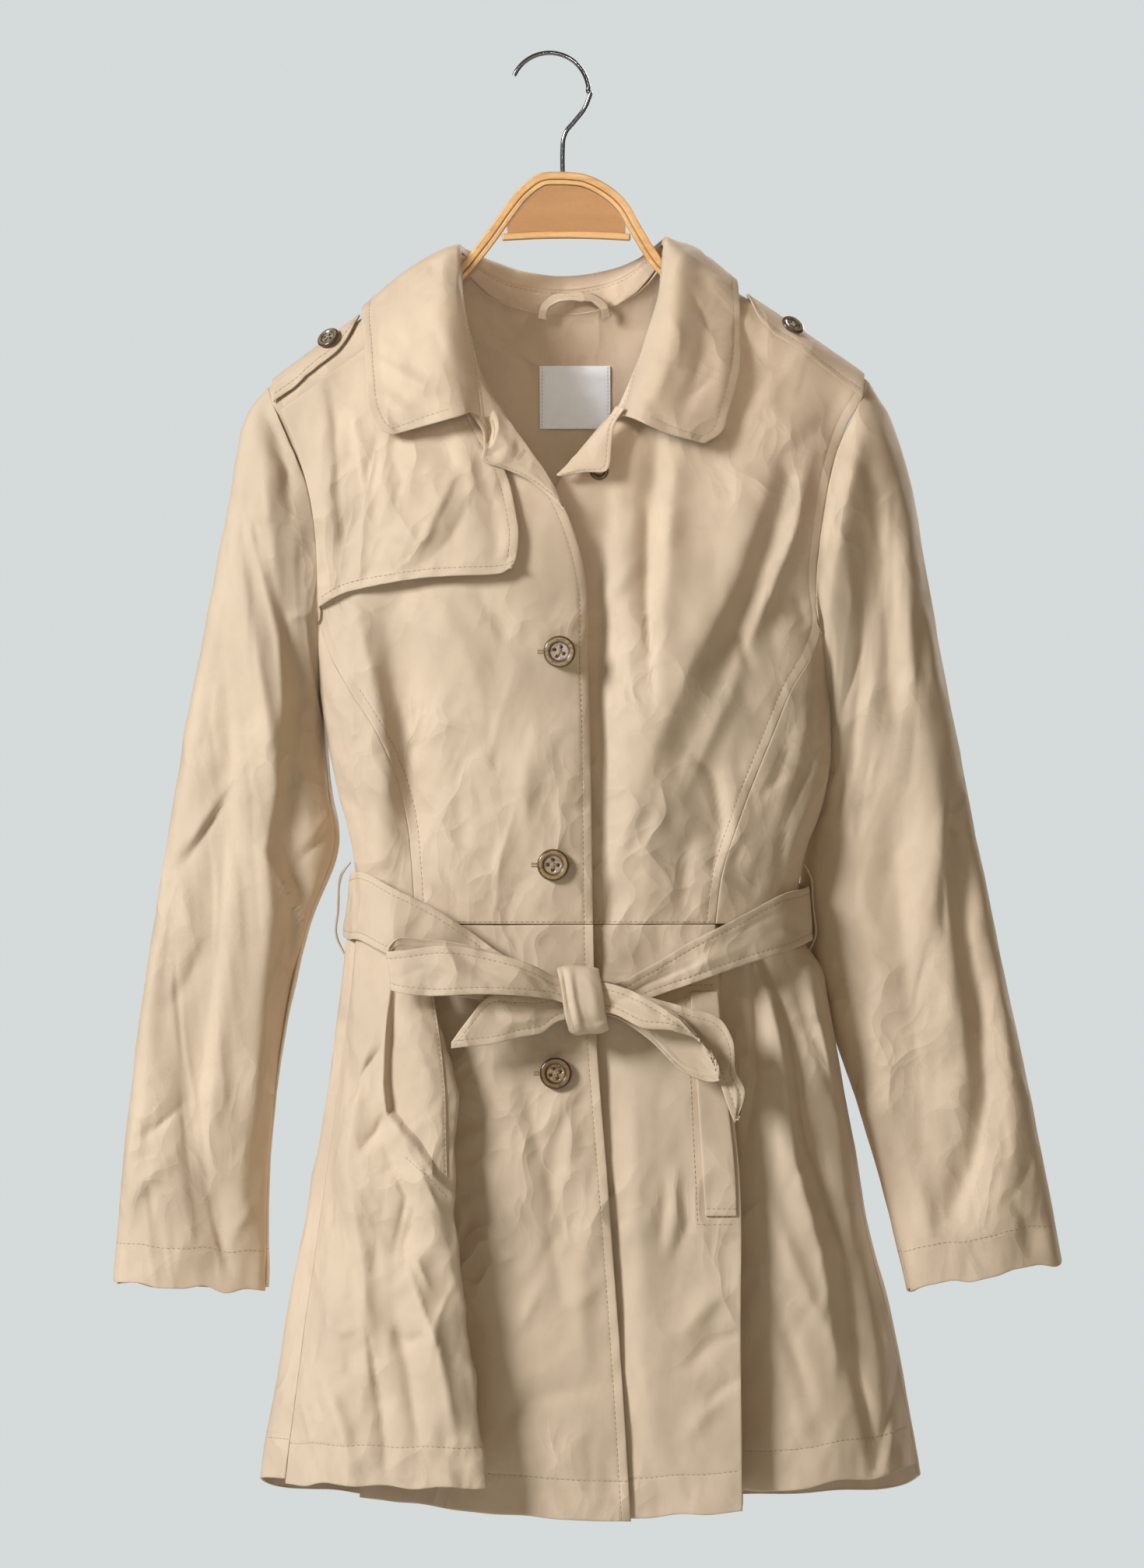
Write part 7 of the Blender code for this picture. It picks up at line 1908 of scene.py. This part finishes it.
# ---------------------------------------------------------------- belt
# One soft belt, a turned tube of the coat's cloth pressed flat and stitched 4.5 mm in from both
# edges. It goes round the waist and is tied in front in a bow with two loops and two short tails.
BELT_CLOTH = 1.6
BeltRow = namedtuple("BeltRow", "x_top z_top y_top x_bottom z_bottom y_bottom")
BELT_ROUND = [
    BeltRow(16, -580, -56.2, 16, -602, -56.2),
    BeltRow(2, -580, -57.0, 2, -602, -57.0),
    BeltRow(-11, -572, -57.2, -14, -602, -57.7),
    BeltRow(-30, -564, -58, -38, -596, -60),
    BeltRow(-51, -549, -56, -62, -584, -60),
    BeltRow(-75, -534, -56, -85, -572, -61.5),
    BeltRow(-98, -523, -51, -104, -563, -59),
    BeltRow(-115, -514, -36, -119, -556, -40),
    BeltRow(-124, -514, -14, -126.5, -556, -17),
    BeltRow(-124, -516, 8, -130, -554, 6),
    BeltRow(-112, -517, 26, -116, -553, 29),
    BeltRow(-85, -517, 35.5, -86, -553, 40),
    BeltRow(-40, -517, 38.5, -40, -553, 43),
    BeltRow(18, -517, 39.5, 18, -553, 43.5),
    BeltRow(70, -517, 38.5, 70, -553, 42.5),
    BeltRow(120, -518, 33, 121, -554, 37),
    BeltRow(150, -520, 23, 153, -555, 26),
    BeltRow(162.5, -522, 6, 165.5, -556, 5),
    BeltRow(160, -524, -13, 162, -558, -16),
    BeltRow(147, -527, -30, 149, -563, -34),
    BeltRow(117, -542.5, -45, 120, -572, -46),
    BeltRow(89, -556.5, -50, 92, -582, -52),
    BeltRow(60, -573.5, -54, 63, -592, -55),
    BeltRow(40, -583, -56.2, 40, -601, -56.2),
    BeltRow(22, -581, -56.2, 22, -602, -56.2),
]
BOW_LOOP_RIGHT = [
    BeltRow(16, -580, -60, 16, -601, -60),
    BeltRow(2, -578, -60.5, 2, -600, -60.5),
    BeltRow(-14, -571, -61.5, -14, -596, -62),
    BeltRow(-45, -560, -63.5, -47, -592, -64.5),
    BeltRow(-78, -555, -63.5, -78, -588, -66),
    BeltRow(-98, -556, -66.5, -95, -586, -68.5),
    BeltRow(-101.5, -562, -71, -99, -586.5, -72),
    BeltRow(-94, -562, -75.5, -94, -588, -76),
    BeltRow(-68.6, -559, -78, -76, -590, -80),
    BeltRow(-33, -564, -79, -42, -589, -81),
    BeltRow(-6, -573, -76, -8, -591, -77),
    BeltRow(4, -579, -71.5, 4, -593, -71.5),
    BeltRow(16, -580, -70.5, 16, -598, -70.5),
]
BELT_TAIL_RIGHT = [
    BeltRow(16, -585, -64.5, 16, -605, -64.5),
    BeltRow(6, -587, -64.5, 6, -606, -64.5),
    BeltRow(-4, -590, -66, -4, -613, -66),
    BeltRow(-20, -590, -68.5, -18, -616, -68),
    BeltRow(-38, -590.5, -70, -34, -620, -70),
    BeltRow(-50, -604, -69.5, -47, -621.5, -69.5),
    BeltRow(-61, -619, -68.5, -61, -623, -68.5),
]
BOW_LOOP_LEFT = [
    BeltRow(21, -580, -71, 21, -600, -71),
    BeltRow(36, -582, -73, 38, -601, -73),
    BeltRow(58, -590, -78, 58, -610, -77),
    BeltRow(78, -603, -80, 79, -612.5, -76),
    BeltRow(92, -616, -78, 96, -621, -74),
    BeltRow(100, -624, -73, 107, -642, -71),
    BeltRow(94, -615, -67, 101, -644, -67),
    BeltRow(82, -603, -64.5, 87, -640, -65),
    BeltRow(58, -592, -63, 60, -616, -63.5),
    BeltRow(38, -582, -64, 38, -603, -64),
    BeltRow(21, -580, -64.5, 21, -602, -64.5),
]
BELT_TAIL_LEFT = [
    BeltRow(21, -582, -60.5, 21, -604, -60.5),
    BeltRow(42, -585, -60, 42, -602, -60.3),
    BeltRow(62, -591, -58.8, 61, -612, -59.8),
    BeltRow(88, -598.5, -58, 84, -622, -60),
    BeltRow(106, -604.5, -60, 96, -631, -61.5),
    BeltRow(114.5, -618, -63, 104, -640, -64),
    BeltRow(116, -636, -65, 108, -650, -66),
    BeltRow(122, -652, -66, 113, -664, -67),
    BeltRow(117, -667, -66.5, 115.5, -669.5, -66.7),
]
BELT_CREASES = [
    Crease(-1.7, 3, 4, True, [(-60, -562), (-42, -574), (-22, -580)]),
    Crease(1.4, 4, 4, False, [(-84, -566), (-62, -574), (-40, -583)]),
    Crease(-1.4, 3, 3, True, [(-92, -578), (-76, -572), (-64, -575)]),
    Crease(-1.7, 2.5, 4, True, [(-16, -574), (-2, -583), (8, -587)]),
    Crease(1.4, 3, 3, True, [(-26, -569), (-8, -578), (6, -583)]),
    Crease(-1.4, 3, 3, True, [(-44, -596), (-22, -600), (-2, -598)]),
    Crease(1.2, 3, 3, True, [(-36, -608), (-16, -606), (4, -601)]),
    Crease(1.9, 3.5, 5, True, [(33, -584), (56, -596), (78, -611), (96, -628)]),
    Crease(-1.7, 3, 3, True, [(34, -592), (52, -600), (66, -607)]),
    Crease(-1.9, 3.5, 3.5, True, [(38, -596), (60, -584), (92, -570)]),
    Crease(1.7, 4, 4, False, [(66, -585), (96, -571), (122, -560)]),
    Crease(-1.4, 3, 4, True, [(112, -555), (130, -545), (142, -540)]),
    Crease(-1.3, 3, 3, True, [(96, -608), (104, -618), (106, -632)]),
]


def belt_piece(node, rows, facing, seed, creases=BELT_CREASES, under=None,
               sew=("first", "last")):
    """A length of the belt, laid along its rows."""
    table = np.array([[[r.x_top, r.y_top, r.z_top], [r.x_bottom, r.y_bottom, r.z_bottom]] for r in rows],
                     float)
    middle = table.mean(axis=1, keepdims=True)
    net = Net(np.concatenate([table[:, :1], middle, table[:, 1:]], axis=1), facing)
    cut = Cut(net, 1.9, **{edge: 4.5 for edge in sew})
    cut.press(creases).crumple(0.6, 12, 26, seed, 12, 0.2, ("first", "last"))
    cut.crumple(0.25, 6, 10, seed + 1, -20, 0.5, ("first", "last"))
    if under is not None:
        cut.points = np.where(cut.points[..., 1:2] < -4, keep_clear(cut.points, under, 2.2), cut.points)
    cut.sew_down(0.22, seed)
    piece = wall(f"{node}_cloth", cut, BELT_CLOTH)
    sewing = stitched(f"{node}_stitches", [cut.line(edge, span=(0.01, 0.99)) for edge in sew])
    hang(piece, node)


coat_skin = skin(front_right_cut, front_left_cut, side_right_cut, side_left_cut, skirt_front_right_cut,
                 skirt_front_left_cut,
                 skirt_side_right_cut, skirt_side_left_cut)
belt_piece("belt_round", BELT_ROUND, -1.0, 111, under=coat_skin)
belt_piece("belt_bow_loop_right", BOW_LOOP_RIGHT, 1.0, 113)
belt_piece("belt_tail_right", BELT_TAIL_RIGHT, -1.0, 115)
belt_piece("belt_bow_loop_left", BOW_LOOP_LEFT, 1.0, 117)
belt_piece("belt_tail_left", BELT_TAIL_LEFT, 1.0, 119)

# The knot is a turn of the same belt, pulled tight round the rest, its ends meeting behind.
KnotRow = namedtuple("KnotRow", "x_top x_bottom z_top z_bottom y_front y_back")
KNOT_ROWS = [
    KnotRow(4.5, 12.0, -573.0, -612.5, -76.5, -51.0),
    KnotRow(8.5, 15.5, -571.5, -614.5, -78.0, -50.4),
    KnotRow(18.0, 24.0, -571.5, -614.0, -78.5, -50.2),
    KnotRow(26.5, 33.0, -572.0, -613.5, -78.0, -50.4),
    KnotRow(31.0, 37.5, -573.5, -611.5, -76.5, -51.0),
]
KNOT_CREASES = [
    Crease(-2.0, 1.5, 2.2, True, [(8.5, -571), (11, -590), (16, -614)]),
    Crease(1.0, 2.0, 2.0, False, [(12, -571), (15, -592), (20, -614)]),
    Crease(-1.1, 1.4, 1.8, True, [(16, -574), (18, -592), (23, -612)]),
    Crease(-1.0, 2.0, 2.5, False, [(20, -604), (28, -607), (36, -604)]),
    Crease(0.8, 3.0, 3.0, False, [(24, -578), (28, -590), (30, -602)]),
]


def squared(c):
    """A circle's coordinate pushed out towards a square's."""
    return math.copysign(abs(c) ** 0.75, c)


knot_table = []
for row in KNOT_ROWS:
    ring = []
    for a in np.radians(np.linspace(-90, 270, 41)):
        up, fore = math.cos(a), math.sin(a)
        ring.append((row.x_bottom + (row.x_top - row.x_bottom) * (1 + up) / 2,
                     (row.y_front + row.y_back) / 2 - (row.y_back - row.y_front) / 2 * squared(fore),
                     (row.z_top + row.z_bottom) / 2 + (row.z_top - row.z_bottom) / 2 * squared(up)))
    knot_table.append(ring)
knot_cut = Cut(Net(knot_table, 1.0), 1.2, top=3.2)
knot_cut.press(KNOT_CREASES).crumple(0.3, 8, 7, 121, 0, 0.4, ("first", "last", "top", "bottom"))
knot_cut.sew_down(0.15, 121)
knot = wall("belt_knot_cloth", knot_cut, BELT_CLOTH)
hang(knot, "belt_knot")

# ---------------------------------------------------------------- floor, light and camera
# The coat hangs on its rail well clear of a pale floor. A large soft light stands high on its
# right, a weaker one fills from the other side, and one behind lights the back.


def pale_floor():
    plaster = Finish("pale_floor", 0.8)
    cloud = plaster.noise(plaster.place((1.0, 1.0, 1.0)), 1.4, detail=4.0)
    plaster.feed("Base Color", plaster.mixed(cloud, (0.62, 0.65, 0.64), (0.69, 0.72, 0.71)))
    plaster.feed("Roughness", cloud * 0.15 + 0.7)
    return plaster


floor_disc = bmesh.new()
bmesh.ops.create_circle(floor_disc, cap_ends=True, segments=96, radius=2.8)
floor_mesh = bpy.data.meshes.new("floor")
floor_disc.to_mesh(floor_mesh)
floor_disc.free()
floor_mesh.materials.append(pale_floor().material)
floor = in_scene("floor", floor_mesh)
floor.location = (0.0, 0.0, -1.95)

AIM = Vector((0.01, 0.0, -0.46))
for name, place, size, power, colour in (
    ("key", (-3.6, -2.6, 1.5), 1.5, 272.0, (0.945, 1.0, 1.1)),
    ("fill", (0.6, -3.6, -0.4), 2.4, 12.0, (1.0, 0.87, 0.69)),
    ("back", (2.0, 2.6, 1.1), 1.8, 85.0, (1.0, 0.99, 0.97)),
):
    lamp = bpy.data.lights.new(name, "AREA")
    lamp.shape, lamp.size, lamp.energy, lamp.color = "DISK", size, power, colour
    stand_of = in_scene(name, lamp)
    stand_of.location = place
    stand_of.rotation_euler = (AIM - Vector(place)).to_track_quat("-Z", "Y").to_euler()
# A narrow lamp looks into the neck.
neck_lamp = bpy.data.lights.new("neck", "AREA")
neck_lamp.shape, neck_lamp.size, neck_lamp.energy, neck_lamp.color = "DISK", 0.3, 0.058, (1.0, 0.93, 0.82)
neck_lamp.spread = math.radians(7)
neck_stand = in_scene("neck", neck_lamp)
neck_stand.location = (0.25, -2.2, 0.35)
into_neck = Vector((0.045, 0.0, -0.165)) - neck_stand.location
neck_stand.rotation_euler = into_neck.to_track_quat("-Z", "Y").to_euler()

studio = bpy.data.worlds.new("studio")
studio.use_nodes = True
sky = studio.node_tree
sky.nodes["Background"].inputs["Color"].default_value = (1.0, 0.81, 0.6, 1.0)
sky.nodes["Background"].inputs["Strength"].default_value = 0.15
seen = sky.nodes.new("ShaderNodeBackground")
seen.inputs["Color"].default_value = (0.665, 0.705, 0.70, 1.0)
seen.inputs["Strength"].default_value = 1.0
ray = sky.nodes.new("ShaderNodeLightPath")
both = sky.nodes.new("ShaderNodeMixShader")
sky.links.new(ray.outputs["Is Camera Ray"], both.inputs["Fac"])
sky.links.new(sky.nodes["Background"].outputs[0], both.inputs[1])
sky.links.new(seen.outputs[0], both.inputs[2])
sky.links.new(both.outputs[0], sky.nodes["World Output"].inputs["Surface"])
bpy.context.scene.world = studio
bpy.context.scene.view_settings.view_transform = "Standard"

CAMERA_AWAY, FRAME_HEIGHT, FRAME_DEPTH = 6.0, 0.983, -0.02
camera = bpy.data.cameras.new("camera")
camera.sensor_fit = "VERTICAL"
camera.angle = 2 * math.atan(FRAME_HEIGHT / 2 / CAMERA_AWAY)
camera_stand = in_scene("camera", camera)
camera_stand.location = (0.01415, FRAME_DEPTH - CAMERA_AWAY, -0.4585)
camera_stand.rotation_euler = (math.radians(90), 0.0, 0.0)
bpy.context.scene.camera = camera_stand
